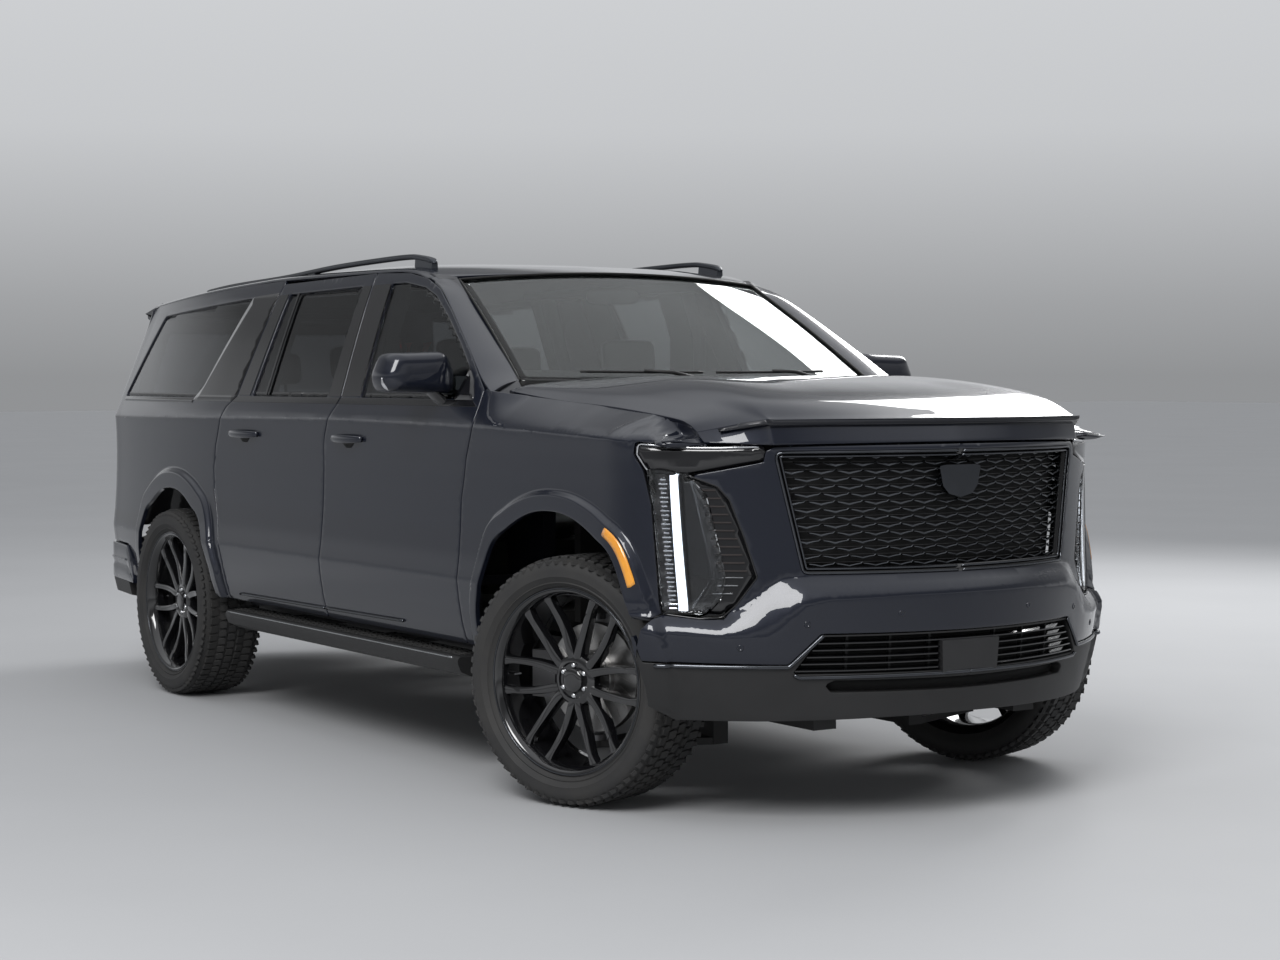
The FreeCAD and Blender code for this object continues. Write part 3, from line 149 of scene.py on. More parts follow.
def turned(loop, counter_clockwise=True):
    """A loop that runs the wanted way round."""
    x, y = loop[:, 0], loop[:, 1]
    area = (x * np.roll(y, -1) - np.roll(x, -1) * y).sum()
    return loop if (area > 0) == counter_clockwise else loop[::-1]


def with_mirror(half):
    """A closed loop from its left half and the mirror image, without doubles at the middle."""
    loop = np.vstack([half, (half * (-1, 1))[::-1]])
    return loop[np.r_[True, np.linalg.norm(np.diff(loop, axis=0), axis=1) > 2]]


def set_in(loop, distance):
    """A loop moved to its left by a distance, which is towards the panel's material."""
    run = np.roll(loop, -1, axis=0) - np.roll(loop, 1, axis=0)
    run /= np.maximum(np.linalg.norm(run, axis=1), 1e-9)[:, None]
    return loop + np.stack([-run[:, 1], run[:, 0]], axis=1) * distance


def fill(loops, loose):
    """Triangles between closed loops, the outer one first; returns points, faces, loop indices."""
    points, edges, spans = [], [], []
    for loop in loops:
        start = len(points)
        points += [Vector(p) for p in loop]
        spans.append(range(start, len(points)))
        edges += [(start + i, start + (i + 1) % len(loop)) for i in range(len(loop))]
    points += [Vector(p) for p in loose]
    out, _, faces, source, _, _ = delaunay_2d_cdt(points, edges, [], 0, 1e-5)
    flat = np.array([[p.x, p.y] for p in out])
    place = {}
    for new, olds in enumerate(source):
        for old in olds:
            place[old] = new
    faces = np.array([f for f in faces if len(f) == 3])
    middle = flat[faces].mean(axis=1)
    keep = np.zeros(len(faces), bool)
    for loop in loops:
        keep ^= inside(middle, loop)
    faces = faces[keep]
    a, b, c = flat[faces[:, 0]], flat[faces[:, 1]], flat[faces[:, 2]]
    area = (b[:, 0] - a[:, 0]) * (c[:, 1] - a[:, 1]) - (b[:, 1] - a[:, 1]) * (c[:, 0] - a[:, 0])
    faces[area < 0] = faces[area < 0][:, ::-1]
    faces = faces[np.abs(area) > 1e-6]
    return flat, faces.tolist(), [[place[i] for i in span] for span in spans]


def net(low, high, step):
    """Evenly spread points over a rectangle, every other row shifted by half a step."""
    rows = np.arange(low[1], high[1] + step, step * 0.87)
    cols = np.arange(low[0], high[0] + step, step)
    grid = [(x + (k % 2) * step / 2, y) for k, y in enumerate(rows) for x in cols]
    return np.array(grid)


# %% [markdown]
# ## Meshes
# Every finished piece is one mesh whose object sits at the origin, so it stays where the CAD put
# its body. `Shell` collects points and faces in millimetres, and mirrors itself for the right side.

# %% Mesh tools
PIECES = {}


class Shell:
    """Points and faces gathered for one piece."""

    def __init__(self):
        self.points = []
        self.faces = []
        self.count = 0

    def add(self, points, faces):
        """Adds a patch; its face numbers start at 0."""
        self.points.append(np.asarray(points, float).reshape(-1, 3))
        start = self.count
        self.faces += [tuple(start + i for i in face) for face in faces]
        self.count += len(self.points[-1])
        return self

    def mirrored(self):
        """The same shell on the other side of the car."""
        other = Shell()
        other.points = [p * (-1, 1, 1) for p in self.points]
        other.faces = [face[::-1] for face in self.faces]
        other.count = self.count
        return other

    def both(self):
        """The shell with its mirror image."""
        return self.join(self.mirrored())

    def join(self, *others):
        """One shell out of several."""
        return joined((self,) + others)

    def moved(self, matrix):
        """The shell after a 4 x 4 placement in millimetres."""
        matrix = np.array(matrix)
        other = Shell()
        other.points = [p @ matrix[:3, :3].T + matrix[:3, 3] for p in self.points]
        flip = np.linalg.det(matrix[:3, :3]) < 0
        other.faces = [face[::-1] for face in self.faces] if flip else list(self.faces)
        other.count = self.count
        return other


def joined(shells):
    """One shell from a list of them."""
    whole = Shell()
    for part in shells:
        whole.add(np.vstack(part.points), part.faces)
    return whole


def on_side(shell, side):
    """A shell drawn on the left, or its mirror image for the right."""
    return shell if side > 0 else shell.mirrored()


def linked(name, data):
    """A new object in the scene."""
    item = bpy.data.objects.new(name, data)
    bpy.context.scene.collection.objects.link(item)
    return item


def make(name, shell, material, body, smooth=True, sharp=None, replaces=()):
    """Turns a shell into a Blender object that rides on a body and may stand for CAD nodes."""
    mesh = bpy.data.meshes.new(name)
    mesh.from_pydata((np.vstack(shell.points) * MM).tolist(), [], shell.faces)
    mesh.validate()
    mesh.polygons.foreach_set("use_smooth", [smooth] * len(mesh.polygons))
    if sharp is not None:
        mesh.set_sharp_from_angle(angle=math.radians(sharp))
    mesh.materials.append(material)
    piece = linked(name, mesh)
    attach(piece, body)
    if replaces:
        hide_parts(*replaces)
    PIECES[piece.name] = piece
    return piece


def tube(path, radius, sides=12, closed=False, cap=True, squash=1.0):
    """A round bar along a path; the radius may change along it."""
    path = np.asarray(path, float)
    radius = np.broadcast_to(radius, len(path)).astype(float)
    apart = np.r_[True, np.linalg.norm(np.diff(path, axis=0), axis=1) > 1e-3]
    path, radius = path[apart], radius[apart]
    if closed:
        run = np.roll(path, -1, axis=0) - np.roll(path, 1, axis=0)
    else:
        run = np.gradient(path, axis=0)
    run /= np.linalg.norm(run, axis=1)[:, None]
    side = np.cross(run, (0, 0, 1))
    if np.linalg.norm(side, axis=1).min() < 0.2:
        side = np.cross(run, (1, 0, 0))
    side /= np.linalg.norm(side, axis=1)[:, None]
    up = np.cross(side, run)
    angle = np.linspace(0, 2 * math.pi, sides, endpoint=False)
    rings = (path[:, None] + side[:, None] * (np.cos(angle) * radius[:, None])[..., None]
             + up[:, None] * (np.sin(angle) * radius[:, None])[..., None] * squash)
    return rings_to_shell(rings, closed, cap)


def rings_to_shell(rings, closed=False, cap=True):
    """Joins rings of equal length into a tube, with flat ends."""
    rings = np.asarray(rings, float)
    n, m = rings.shape[:2]
    faces = []
    for i in range(n if closed else n - 1):
        for j in range(m):
            a, b = i * m + j, i * m + (j + 1) % m
            c, d = ((i + 1) % n) * m + (j + 1) % m, ((i + 1) % n) * m + j
            faces.append((a, b, c, d))
    if cap and not closed:
        faces.append(tuple(range(m))[::-1])
        faces.append(tuple((n - 1) * m + j for j in range(m)))
    return outward(Shell().add(rings.reshape(-1, 3), faces))


def outward(shell):
    """The shell with all faces pointing out, found from its enclosed volume."""
    points = np.vstack(shell.points)
    centre = points.mean(axis=0)
    volume = 0.0
    for face in shell.faces:
        p = points[list(face)] - centre
        for k in range(1, len(face) - 1):
            volume += np.dot(p[0], np.cross(p[k], p[k + 1]))
    if volume < 0:
        shell.faces = [face[::-1] for face in shell.faces]
    return shell


def strip(first, second, closed=True):
    """Quads between two equally long rows of point numbers."""
    n = len(first)
    return [(first[i], first[(i + 1) % n], second[(i + 1) % n], second[i])
            for i in range(n if closed else n - 1)]


def panel(outline, surface, holes=(), step=24, extra=(), roll=3.5, depth=16, lift=0.0, avoid=None,
          hole_depth=None):
    """A pressed panel: a filled piece of a surface whose edges roll over and turn in."""
    loops = [turned(outline)] + [turned(h, False) for h in holes]
    rolled = [set_in(loop, roll) for loop in loops]
    low, high = rolled[0].min(axis=0), rolled[0].max(axis=0)
    loose = net(low, high, step)
    if avoid is not None:
        loose = loose[~avoid(loose)]
    if len(extra):
        loose = np.vstack([loose, extra])
    keep = inside(loose, rolled[0])
    for loop in rolled[1:]:
        keep &= ~inside(loose, loop)
    loose = loose[keep]
    for loop in rolled:
        loose = loose[~near_line(loose, loop, 5)]
    flat, faces, spans = fill(rolled, loose)
    shell = Shell()
    points, normals = surface(flat[:, 0], flat[:, 1])
    shell.add(points + normals * lift, faces)
    for number, (loop, span) in enumerate(zip(loops, spans)):
        turn_in = depth if number == 0 or hole_depth is None else hole_depth
        rings = [span]
        for share, drop in ((0.7, 0.06), (0.3, 0.32), (0.08, 0.68), (0.0, 1.0), (0.0, turn_in / roll)):
            ring = set_in(loop, roll * share)
            p, n = surface(ring[:, 0], ring[:, 1])
            start = shell.count
            shell.add(p + n * (lift - roll * drop), [])
            rings.append(list(range(start, shell.count)))
        for a, b in zip(rings, rings[1:]):
            shell.faces += strip(b, a)
    return shell


# %% [markdown]
# ## The body's one big surface
# Seen from above, the body is a rounded loop: a gentle arc across the nose, tight corners, nearly
# straight sides that draw in towards the tail, and a gentle arc across the back. A point on the
# skin is named by how far round the loop it is (`t`) and by its height (`z`). Two long creases run
# along the sides. The skin moves in from the loop by an amount that depends on the height.

# %% The loop seen from above
HALF_WIDTH = 1003.0
NOSE = -2838.0
TAIL = 2880.0
NOSE_RADIUS, NOSE_CORNER = 1263.0, 230.0
TAIL_RADIUS, TAIL_CORNER = 1530.0, 230.0
TAPER_START, TAPER_DROP = 1000.0, 113.0


def arc(centre, radius, start, end, count=200):
    """Points on an arc, angles in radians from +X."""
    angle = np.linspace(start, end, count)
    return np.stack([centre[0] + radius * np.cos(angle), centre[1] + radius * np.sin(angle)], axis=1)


def corner_place(side, corner, end, radius, way):
    """Centre of a corner arc that touches the side line and the end's arc."""
    across = side - corner
    along = math.sqrt((radius - corner) ** 2 - across ** 2)
    return across, end - way * radius + way * along, end - way * radius


def plan_curve():
    """The left half of the loop from the middle of the nose to the middle of the tail."""
    fx, fy, fo = corner_place(HALF_WIDTH, NOSE_CORNER, NOSE, NOSE_RADIUS, -1)
    side_rear = HALF_WIDTH - TAPER_DROP
    rx, ry, ro = corner_place(side_rear, TAIL_CORNER, TAIL, TAIL_RADIUS, 1)
    front = math.atan2(fy - fo, fx)
    rear = math.atan2(ry - ro, rx)
    taper_y = np.linspace(TAPER_START, ry, 100)
    share = (taper_y - TAPER_START) / (ry - TAPER_START)
    taper = np.stack([HALF_WIDTH - TAPER_DROP * share ** 2, taper_y], axis=1)
    parts = [arc((0, fo), NOSE_RADIUS, -math.pi / 2, front), arc((fx, fy), NOSE_CORNER, front, 0),
             np.array([(HALF_WIDTH, fy), (HALF_WIDTH, TAPER_START)]), taper,
             arc((rx, ry), TAIL_CORNER, 0, rear), arc((0, ro), TAIL_RADIUS, rear, math.pi / 2)]
    return spaced(np.vstack(parts), 5, closed=False)


def softened(values, reach):
    """Values averaged over their neighbours, ends kept."""
    kernel = np.ones(2 * reach + 1) / (2 * reach + 1)
    padded = np.r_[2 * values[0] - values[reach:0:-1], values,
                   2 * values[-1] - values[-2:-reach - 2:-1]]
    return np.convolve(padded, kernel, "valid")


LOOP = plan_curve()
LOOP = np.stack([softened(LOOP[:, 0], 9), softened(LOOP[:, 1], 9)], axis=1)
LOOP[0, 0] = LOOP[-1, 0] = 0.0
LOOP_T = np.r_[0, np.cumsum(np.linalg.norm(np.diff(LOOP, axis=0), axis=1))]
LOOP_RUN = np.gradient(LOOP, axis=0)
LOOP_RUN[0] = (1, 0)
LOOP_RUN[-1] = (-1, 0)
LOOP_RUN /= np.linalg.norm(LOOP_RUN, axis=1)[:, None]
LENGTH = LOOP_T[-1]
print("loop half length: %.0f mm" % LENGTH)

# %% The skin's section
# Height, how far the side skin stands in from the loop.
SIDE_SECTION = [(330, 120), (430, 66), (500, 38), (560, 22), (640, 8), (712, 0), (720, 0.5), (800, 10),
                (900, 17), (990, 20), (1080, 21), (1170, 18.5), (1225, 15), (1257, 13), (1290, 24),
                (1325, 39), (1400, 68), (1500, 107), (1600, 147), (1700, 189), (1800, 234),
                (1860, 263), (1900, 284)]
NOSE_SECTION = [(330, 0), (1205, 0), (1213, 2), (1251, 36), (1300, 64), (1900, 64)]
TAIL_SECTION = [(330, 30), (640, 10), (760, 0), (960, 6), (1190, 22), (1260, 32), (1330, 62),
                (1600, 138), (1900, 222)]
HEIGHTS = np.arange(330.0, 1901.0)
# Heights of the two creases in that table.
CREASE_Z, LOW_CREASE_Z = 1257, 716.0


def section(table, soft):
    """A table of insets at every millimetre of height, its corners softened."""
    z, inset = np.array(table, float).T
    return softened(np.interp(HEIGHTS, z, inset), soft)


SIDE_INSET = section(SIDE_SECTION, 7)
NOSE_INSET = section(NOSE_SECTION, 5)
TAIL_INSET = section(TAIL_SECTION, 25)
# Where the shoulder crease runs: y, height.
SHOULDER_Y = [-2600, -2424, -2231, -1978, -1711, -1403, -236, 900, 2170, 2900]
SHOULDER_Z = [1226, 1229, 1237, 1245, 1253, 1258, 1270, 1260, 1248, 1244]

# Wheel arches: half lengths and heights over the hub of the opening and of the flare's outer line.
HUB_Z = 420.0
FRONT_AXLE, REAR_AXLE = -1910.0, 1497.0
FLARE_STAND = 22.0


def arch_line(reach, height, corner_x, corner_z, foot):
    """Angle and radius about the hub of a squarish arch line."""
    half = [(-reach, foot - HUB_Z), (-reach, 0), (-reach + 12, 130), (-reach + 30, 215),
            (-corner_x, corner_z), (-0.72 * corner_x, height - 70), (-0.42 * corner_x, height - 22),
            (-0.15 * corner_x, height - 2)]
    points = curve_through(half + [(-y, z) for y, z in reversed(half)], 8)
    angle = np.arctan2(points[:, 1], points[:, 0])
    angle = np.where(angle < -math.pi / 2, angle + 2 * math.pi, angle)
    order = np.argsort(angle)
    return angle[order], np.hypot(points[:, 0], points[:, 1])[order], points


ARCHES = {
    "front": (FRONT_AXLE, arch_line(520, 566, 400, 425, 200), arch_line(580, 636, 458, 480, 200)),
    "rear": (REAR_AXLE, arch_line(500, 516, 375, 388, 200), arch_line(567, 606, 442, 450, 200)),
}


def arch_radii(end, angles):
    """Radii of the opening and of the flare's outer line at angles about the hub."""
    _, opening, outer = ARCHES[end]
    return np.interp(angles, opening[0], opening[1]), np.interp(angles, outer[0], outer[1])


def arch_share(y, z, end):
    """0 on the wheel opening, 1 on the flare's outer line, more beyond it."""
    axle = ARCHES[end][0]
    angle = np.arctan2(z - HUB_Z, y - axle)
    angle = np.where(angle < -math.pi / 2, angle + 2 * math.pi, angle)
    near, far = arch_radii(end, angle)
    return (np.hypot(y - axle, z - HUB_Z) - near) / (far - near)


def flare_height(y, z):
    """How far the arch flares lift the skin."""
    total = np.zeros_like(y)
    for end in ARCHES:
        s = arch_share(y, z, end)
        edge = np.clip((1.02 - s) / 0.26, 0, 1)
        total += FLARE_STAND * edge * edge * (3 - 2 * edge)
    return total


# The fender's top rolls in to the hood's seam: y, half width of the seam, its height.
SEAM_Y = [-2600, -2529, -2479, -2429, -2385, -2275, -1952, -1578, -1413]
SEAM_X = [760, 774, 779, 784, 799, 806, 838, 873, 880]
SEAM_Z = [1200, 1213, 1250, 1281, 1290, 1312, 1342, 1369, 1388]
# The bumper's shelf across the nose: distance from the middle, its top and its edge.
SHELF_X = [0, 234, 493, 552, 600, 640, 700, 762, 962, 1003]
SHELF_TOP = [802, 802, 801, 800, 797, 770, 715, 674, 684, 684]
SHELF_EDGE = [742, 741, 731, 714, 655, 614, 612, 613, 629, 632]
BUMPER_STAND = 57.0


def fender_inset(y, z, side):
    """Side inset above the shoulder, ahead of the doors, where the skin rolls to the hood."""
    seam_x, seam_z = np.interp(y, SEAM_Y, SEAM_X), np.interp(y, SEAM_Y, SEAM_Z)
    crease = np.interp(y, SHOULDER_Y, SHOULDER_Z)
    rise = np.clip((z - crease) / np.maximum(seam_z - crease, 8), 0, 1.3)
    rolled = 14 + (HALF_WIDTH - seam_x - 14) * rise ** 1.45
    share = np.clip((-1400 - y) / 170, 0, 1)
    share = ease(share) * (z > crease)
    return side + (rolled - side) * share


def shelf_height(x, z):
    """How far the bumper stands out of the nose, as a share of its full reach."""
    top, edge = np.interp(x, SHELF_X, SHELF_TOP), np.interp(x, SHELF_X, SHELF_EDGE)
    rise = np.clip((top - z) / (top - edge), 0, 1)
    rise = 1 - (1 - rise) ** 1.5
    fall = np.clip((edge - z) / 260, 0, 1)
    return rise * (1 - 0.22 * fall)


def skin_raw(t, z):
    """Points of the skin at loop lengths t and heights z; a negative t is the right side."""
    t, z = np.broadcast_arrays(np.asarray(t, float), np.asarray(z, float))
    hand, t = np.where(t < 0, -1.0, 1.0), np.abs(t)
    x0, y0 = np.interp(t, LOOP_T, LOOP[:, 0]), np.interp(t, LOOP_T, LOOP[:, 1])
    rx, ry = np.interp(t, LOOP_T, LOOP_RUN[:, 0]), np.interp(t, LOOP_T, LOOP_RUN[:, 1])
    size = np.hypot(rx, ry)
    nx, ny = ry / size, -rx / size
    shift = np.interp(y0, SHOULDER_Y, SHOULDER_Z) - CREASE_Z
    near = np.clip(1 - np.abs(z - CREASE_Z) / 90, 0, 1)
    level = z - shift * near * near * (3 - 2 * near)
    side = np.interp(level, HEIGHTS, SIDE_INSET)
    nose = np.interp(z, HEIGHTS, NOSE_INSET)
    tail = np.interp(z, HEIGHTS, TAIL_INSET)
    side = fender_inset(y0, z, side)
    inset = nx ** 2 * side + ny ** 2 * np.where(ny < 0, nose, tail)
    inset -= flare_height(y0, z) * np.clip(nx, 0, 1) ** 0.5
    inset -= shelf_height(x0, z) * BUMPER_STAND * np.clip(-ny, 0, 1) * (y0 < -2000)
    return np.stack([hand * (x0 - nx * inset), y0 - ny * inset, z], axis=-1)


def skin(t, z):
    """Points and outward normals of the skin."""
    p = skin_raw(t, z)
    a = skin_raw(np.asarray(t) + 2.0, z) - skin_raw(np.asarray(t) - 2.0, z)
    b = skin_raw(t, np.asarray(z) + 2.0) - skin_raw(t, np.asarray(z) - 2.0)
    n = np.cross(a, b)
    return p, n / np.maximum(np.linalg.norm(n, axis=-1), 1e-9)[..., None]


SAMPLE_T = np.arange(0, LENGTH, 4.0)


def loop_length_at(value, z, view):
    """Loop length where the skin at height z reaches y (side view) or x (view from nose or tail)."""
    p = skin_raw(SAMPLE_T, z)
    if view == "side":
        order = np.maximum.accumulate(p[:, 1])
        return np.interp(value, order, SAMPLE_T)
    half = len(SAMPLE_T) // 2
    if view == "nose":
        return np.interp(value, np.maximum.accumulate(p[:half, 0]), SAMPLE_T[:half])
    back = p[half:, 0][::-1]
    return np.interp(value, np.maximum.accumulate(back), SAMPLE_T[half:][::-1])


def on_skin(points, view="side", radius=12, step=11, closed=True):
    """An outline drawn in side view (y, z) or from the nose or tail (x, z), laid on the skin."""
    line = round_corners(points, radius, closed)
    line = spaced(line, step, closed)
    return np.array([(loop_length_at(a, z, view), z) for a, z in line])


def crease_rows(t_low, t_high, step=24):
    """Points along the two long creases, so that the triangles follow them."""
    t = np.arange(t_low, t_high, step)
    rows = []
    y = np.interp(t, LOOP_T, LOOP[:, 1])
    shoulder = np.interp(y, SHOULDER_Y, SHOULDER_Z)
    for drop in (-22, -9, -3, 3, 9, 22):
        rows.append(np.stack([t, shoulder + drop], axis=1))
        rows.append(np.stack([t, np.full_like(t, LOW_CREASE_Z + drop)], axis=1))
    return np.vstack(rows)


def arch_rows(end, shares=(0.12, 0.3, 0.55, 0.72, 0.78, 0.84, 0.9, 0.96, 1.02, 1.1, 1.25)):
    """Points along an arch's flare, so that the triangles follow it."""
    axle = ARCHES[end][0]
    angles = np.linspace(-0.45, math.pi + 0.45, 150)
    near, far = arch_radii(end, angles)
    rows = []
    for share in shares:
        r = near + share * (far - near)
        y, z = axle + r * np.cos(angles), HUB_Z + r * np.sin(angles)
        rows.append(np.array([(loop_length_at(a, b, "side"), b) for a, b in zip(y, z)]))
    return np.vstack(rows)


def beside_arch(points):
    """Which loop points lie in the zone that arch rows fill."""
    y = np.interp(points[:, 0], LOOP_T, LOOP[:, 1])
    return (arch_share(y, points[:, 1], "front") < 1.3) | (arch_share(y, points[:, 1], "rear") < 1.3)


print("side skin at door height: %.0f mm" % skin_raw(3000, 1000)[0])

# %% [markdown]
# ## Finishes
# Dark metallic paint under clear lacquer, gloss-black trim, grained plastic, tinted glass, rubber
# and leather. One shader node group gives every finish its fine grain and small changes of gloss.

# %% Shader group and kinds of surface
def group_tree(name, inputs, outputs):
    """An empty shader node group with its sockets; inputs are (name, kind, value)."""
    tree = bpy.data.node_groups.new(name, "ShaderNodeTree")
    for label, kind, value in inputs:
        socket = tree.interface.new_socket(label, in_out="INPUT", socket_type=kind)
        if value is not None:
            socket.default_value = value
    for label, kind in outputs:
        tree.interface.new_socket(label, in_out="OUTPUT", socket_type=kind)
    return tree, tree.nodes.new("NodeGroupInput"), tree.nodes.new("NodeGroupOutput")


def wire(tree, *pairs):
    """Links sockets in pairs, from and to."""
    for source, target in pairs:
        tree.links.new(source, target)


def node_in(tree, kind, setting=None, **values):
    """A new node; setting is its operation or data type, values are its named inputs."""
    node = tree.nodes.new(kind)
    if setting:
        setattr(node, "operation" if hasattr(node, "operation") else "data_type", setting)
    for label, value in values.items():
        node.inputs[label].default_value = value
    return node


def grain_group():
    """Fine bumps and a little change of gloss, on the object's own coordinates."""
    tree, start, end = group_tree(
        "Grain", [("Scale", "NodeSocketFloat", 400.0), ("Depth", "NodeSocketFloat", 0.1),
                  ("Roughness", "NodeSocketFloat", 0.5), ("Variation", "NodeSocketFloat", 0.08)],
        [("Normal", "NodeSocketVector"), ("Roughness", "NodeSocketFloat")])
    place = node_in(tree, "ShaderNodeTexCoord")
    fine = node_in(tree, "ShaderNodeTexNoise", Detail=3.0)
    broad = node_in(tree, "ShaderNodeTexNoise", Scale=3.0)
    bump = node_in(tree, "ShaderNodeBump", Distance=0.001)
    vary = node_in(tree, "ShaderNodeMath", "MULTIPLY_ADD")
    spread = node_in(tree, "ShaderNodeMath", "SUBTRACT")
    spread.inputs[1].default_value = 0.5
    wire(tree, (place.outputs["Object"], fine.inputs["Vector"]),
         (start.outputs["Scale"], fine.inputs["Scale"]),
         (place.outputs["Object"], broad.inputs["Vector"]),
         (fine.outputs["Fac"], bump.inputs["Height"]), (start.outputs["Depth"], bump.inputs["Strength"]),
         (broad.outputs["Fac"], spread.inputs[0]), (spread.outputs[0], vary.inputs[0]),
         (start.outputs["Variation"], vary.inputs[1]), (start.outputs["Roughness"], vary.inputs[2]),
         (bump.outputs["Normal"], end.inputs["Normal"]), (vary.outputs[0], end.inputs["Roughness"]))
    return tree


GRAIN = grain_group()


def plain_material(name, colour, roughness, sockets):
    """A material and its shader with plain values; an underscore in a socket's name is a space."""
    material = bpy.data.materials.new(name)
    material.use_nodes = True
    shader = material.node_tree.nodes["Principled BSDF"]
    shader.inputs["Base Color"].default_value = (*colour, 1)
    shader.inputs["Roughness"].default_value = roughness
    for label, value in sockets.items():
        shader.inputs[label.replace("_", " ")].default_value = value
    return material, shader


def finish(name, colour, roughness=0.5, metallic=0.0, grain=None, variation=0.06, second=None,
           mottle=8.0, **sockets):
    """A surface: base colour that drifts a little to a second one, grain, and plain sockets."""
    material, shader = plain_material(name, colour, roughness, sockets)
    tree = material.node_tree
    shader.inputs["Metallic"].default_value = metallic
    grains = tree.nodes.new("ShaderNodeGroup")
    grains.node_tree = GRAIN
    scale, bumps = grain or (300.0, 0.0)
    for label, value in (("Scale", scale), ("Depth", bumps), ("Roughness", roughness),
                         ("Variation", variation)):
        grains.inputs[label].default_value = value
    wire(tree, (grains.outputs["Roughness"], shader.inputs["Roughness"]))
    if grain:
        wire(tree, (grains.outputs["Normal"], shader.inputs["Normal"]))
    place = node_in(tree, "ShaderNodeTexCoord")
    noise = node_in(tree, "ShaderNodeTexNoise", Scale=mottle, Detail=4.0)
    ramp = node_in(tree, "ShaderNodeValToRGB")
    other = second or tuple(c * 0.82 for c in colour)
    for element, value, at in zip(ramp.color_ramp.elements, (other, colour), (0.35, 0.65)):
        element.color = (*value, 1)
        element.position = at
    wire(tree, (place.outputs["Object"], noise.inputs["Vector"]),
         (noise.outputs["Fac"], ramp.inputs["Fac"]), (ramp.outputs["Color"], shader.inputs["Base Color"]))
    return material


def glass(name, colour, roughness=0.0, **sockets):
    """Clear or tinted glass."""
    material, shader = plain_material(name, colour, roughness, sockets)
    shader.inputs["Transmission Weight"].default_value = 1.0
    return material


# %% Materials
PAINT = finish("paint_midnight", (0.010, 0.013, 0.024), 0.34, 0.25, (2600.0, 0.02), 0.05,
               (0.007, 0.0085, 0.015), 900.0, Coat_Weight=1.0, Coat_Roughness=0.015, Specular_IOR_Level=0.12)
# The body paint made darker for the jambs, inner walls and the hood's underside: painted shade under and
# between the panels.
SHADED_JAMB_PAINT = finish("paint_jamb_shaded", (0.008, 0.009, 0.014), 0.35, 0.1, Coat_Weight=0.6)
GLOSS_BLACK = finish("gloss_black", (0.006, 0.006, 0.007), 0.08, grain=(30.0, 0.01), Coat_Weight=0.6)
DARK_CHROME = finish("dark_chrome", (0.10, 0.105, 0.115), 0.16, 1.0)
BRIGHT_CHROME = finish("bright_chrome", (0.72, 0.73, 0.75), 0.09, 1.0)
SATIN_RAIL = finish("satin_rail", (0.055, 0.06, 0.07), 0.33, 0.7)
BLACK_PLASTIC = finish("black_plastic", (0.014, 0.014, 0.0145), 0.52, grain=(900.0, 0.35))
SHADOW = finish("shadow_black", (0.004, 0.004, 0.004), 0.8)
RUBBER = finish("rubber", (0.022, 0.022, 0.0225), 0.72, grain=(700.0, 0.3), second=(0.03, 0.029, 0.028))
SEAL = finish("rubber_seal", (0.006, 0.006, 0.006), 0.6)
RIM_BLACK = finish("rim_gloss_black", (0.007, 0.007, 0.008), 0.12, grain=(40.0, 0.01),
                   Coat_Weight=1.0, Coat_Roughness=0.03)
CAST = finish("cast_metal", (0.20, 0.20, 0.205), 0.48, 0.9, (500.0, 0.4))
DISC_STEEL = finish("disc_steel", (0.36, 0.355, 0.35), 0.3, 1.0, (900.0, 0.1))
UNDERBODY = finish("underbody_black", (0.012, 0.012, 0.012), 0.62, grain=(200.0, 0.5))
LEATHER = finish("leather", (0.030, 0.028, 0.027), 0.42, grain=(420.0, 0.5), second=(0.022, 0.021, 0.02))
TRIM_SOFT = finish("soft_trim", (0.025, 0.024, 0.024), 0.6, grain=(600.0, 0.5))
STEP_METAL = finish("step_bright", (0.42, 0.43, 0.44), 0.22, 1.0)
WINDOW = glass("window_tint", (0.36, 0.38, 0.39), IOR=1.45)
PRIVACY = glass("privacy_tint", (0.20, 0.21, 0.22), IOR=1.45)
SCREEN = glass("windscreen_glass", (0.62, 0.66, 0.65), IOR=1.45)
LENS = glass("clear_lens", (0.93, 0.95, 0.97), IOR=1.46)
RED_LENS = glass("red_lens", (0.42, 0.012, 0.015), 0.03, IOR=1.49)
AMBER = finish("amber_marker", (0.86, 0.36, 0.03), 0.25, grain=(260.0, 0.3), second=(0.75, 0.28, 0.02),
               Coat_Weight=1.0)
DAY_LIGHT = finish("day_light", (0.9, 0.93, 1.0), 0.2, Emission_Color=(0.86, 0.92, 1.0, 1),
                   Emission_Strength=1.6)
RED_GLOW = finish("red_reflector", (0.45, 0.01, 0.01), 0.2, grain=(200.0, 0.3), Coat_Weight=1.0)
PLATE = finish("blank_plate", (0.02, 0.02, 0.021), 0.4, grain=(300.0, 0.2))
INTERIOR_LIGHT = finish("roof_lining", (0.12, 0.118, 0.11), 0.9, grain=(900.0, 0.5))

# %% [markdown]
# ## What stays beneath the skins
# The skins of the doors and the tailgate are laid over copies of their CAD solids, and so are the
# door frames. Each copy is drawn a little inward, so the jambs and inner walls that show when a
# door opens keep their real places.

# %% Inner structure from the CAD solids
def node_shell(node):
    """A CAD node's mesh in millimetres with its doubles merged."""
    work = bmesh.new()
    work.from_mesh(NODES[node].data)
    bmesh.ops.remove_doubles(work, verts=work.verts, dist=1e-5)
    shell = Shell()
    shell.add([v.co / MM for v in work.verts], [[v.index for v in f.verts] for f in work.faces])
    work.free()
    return shell


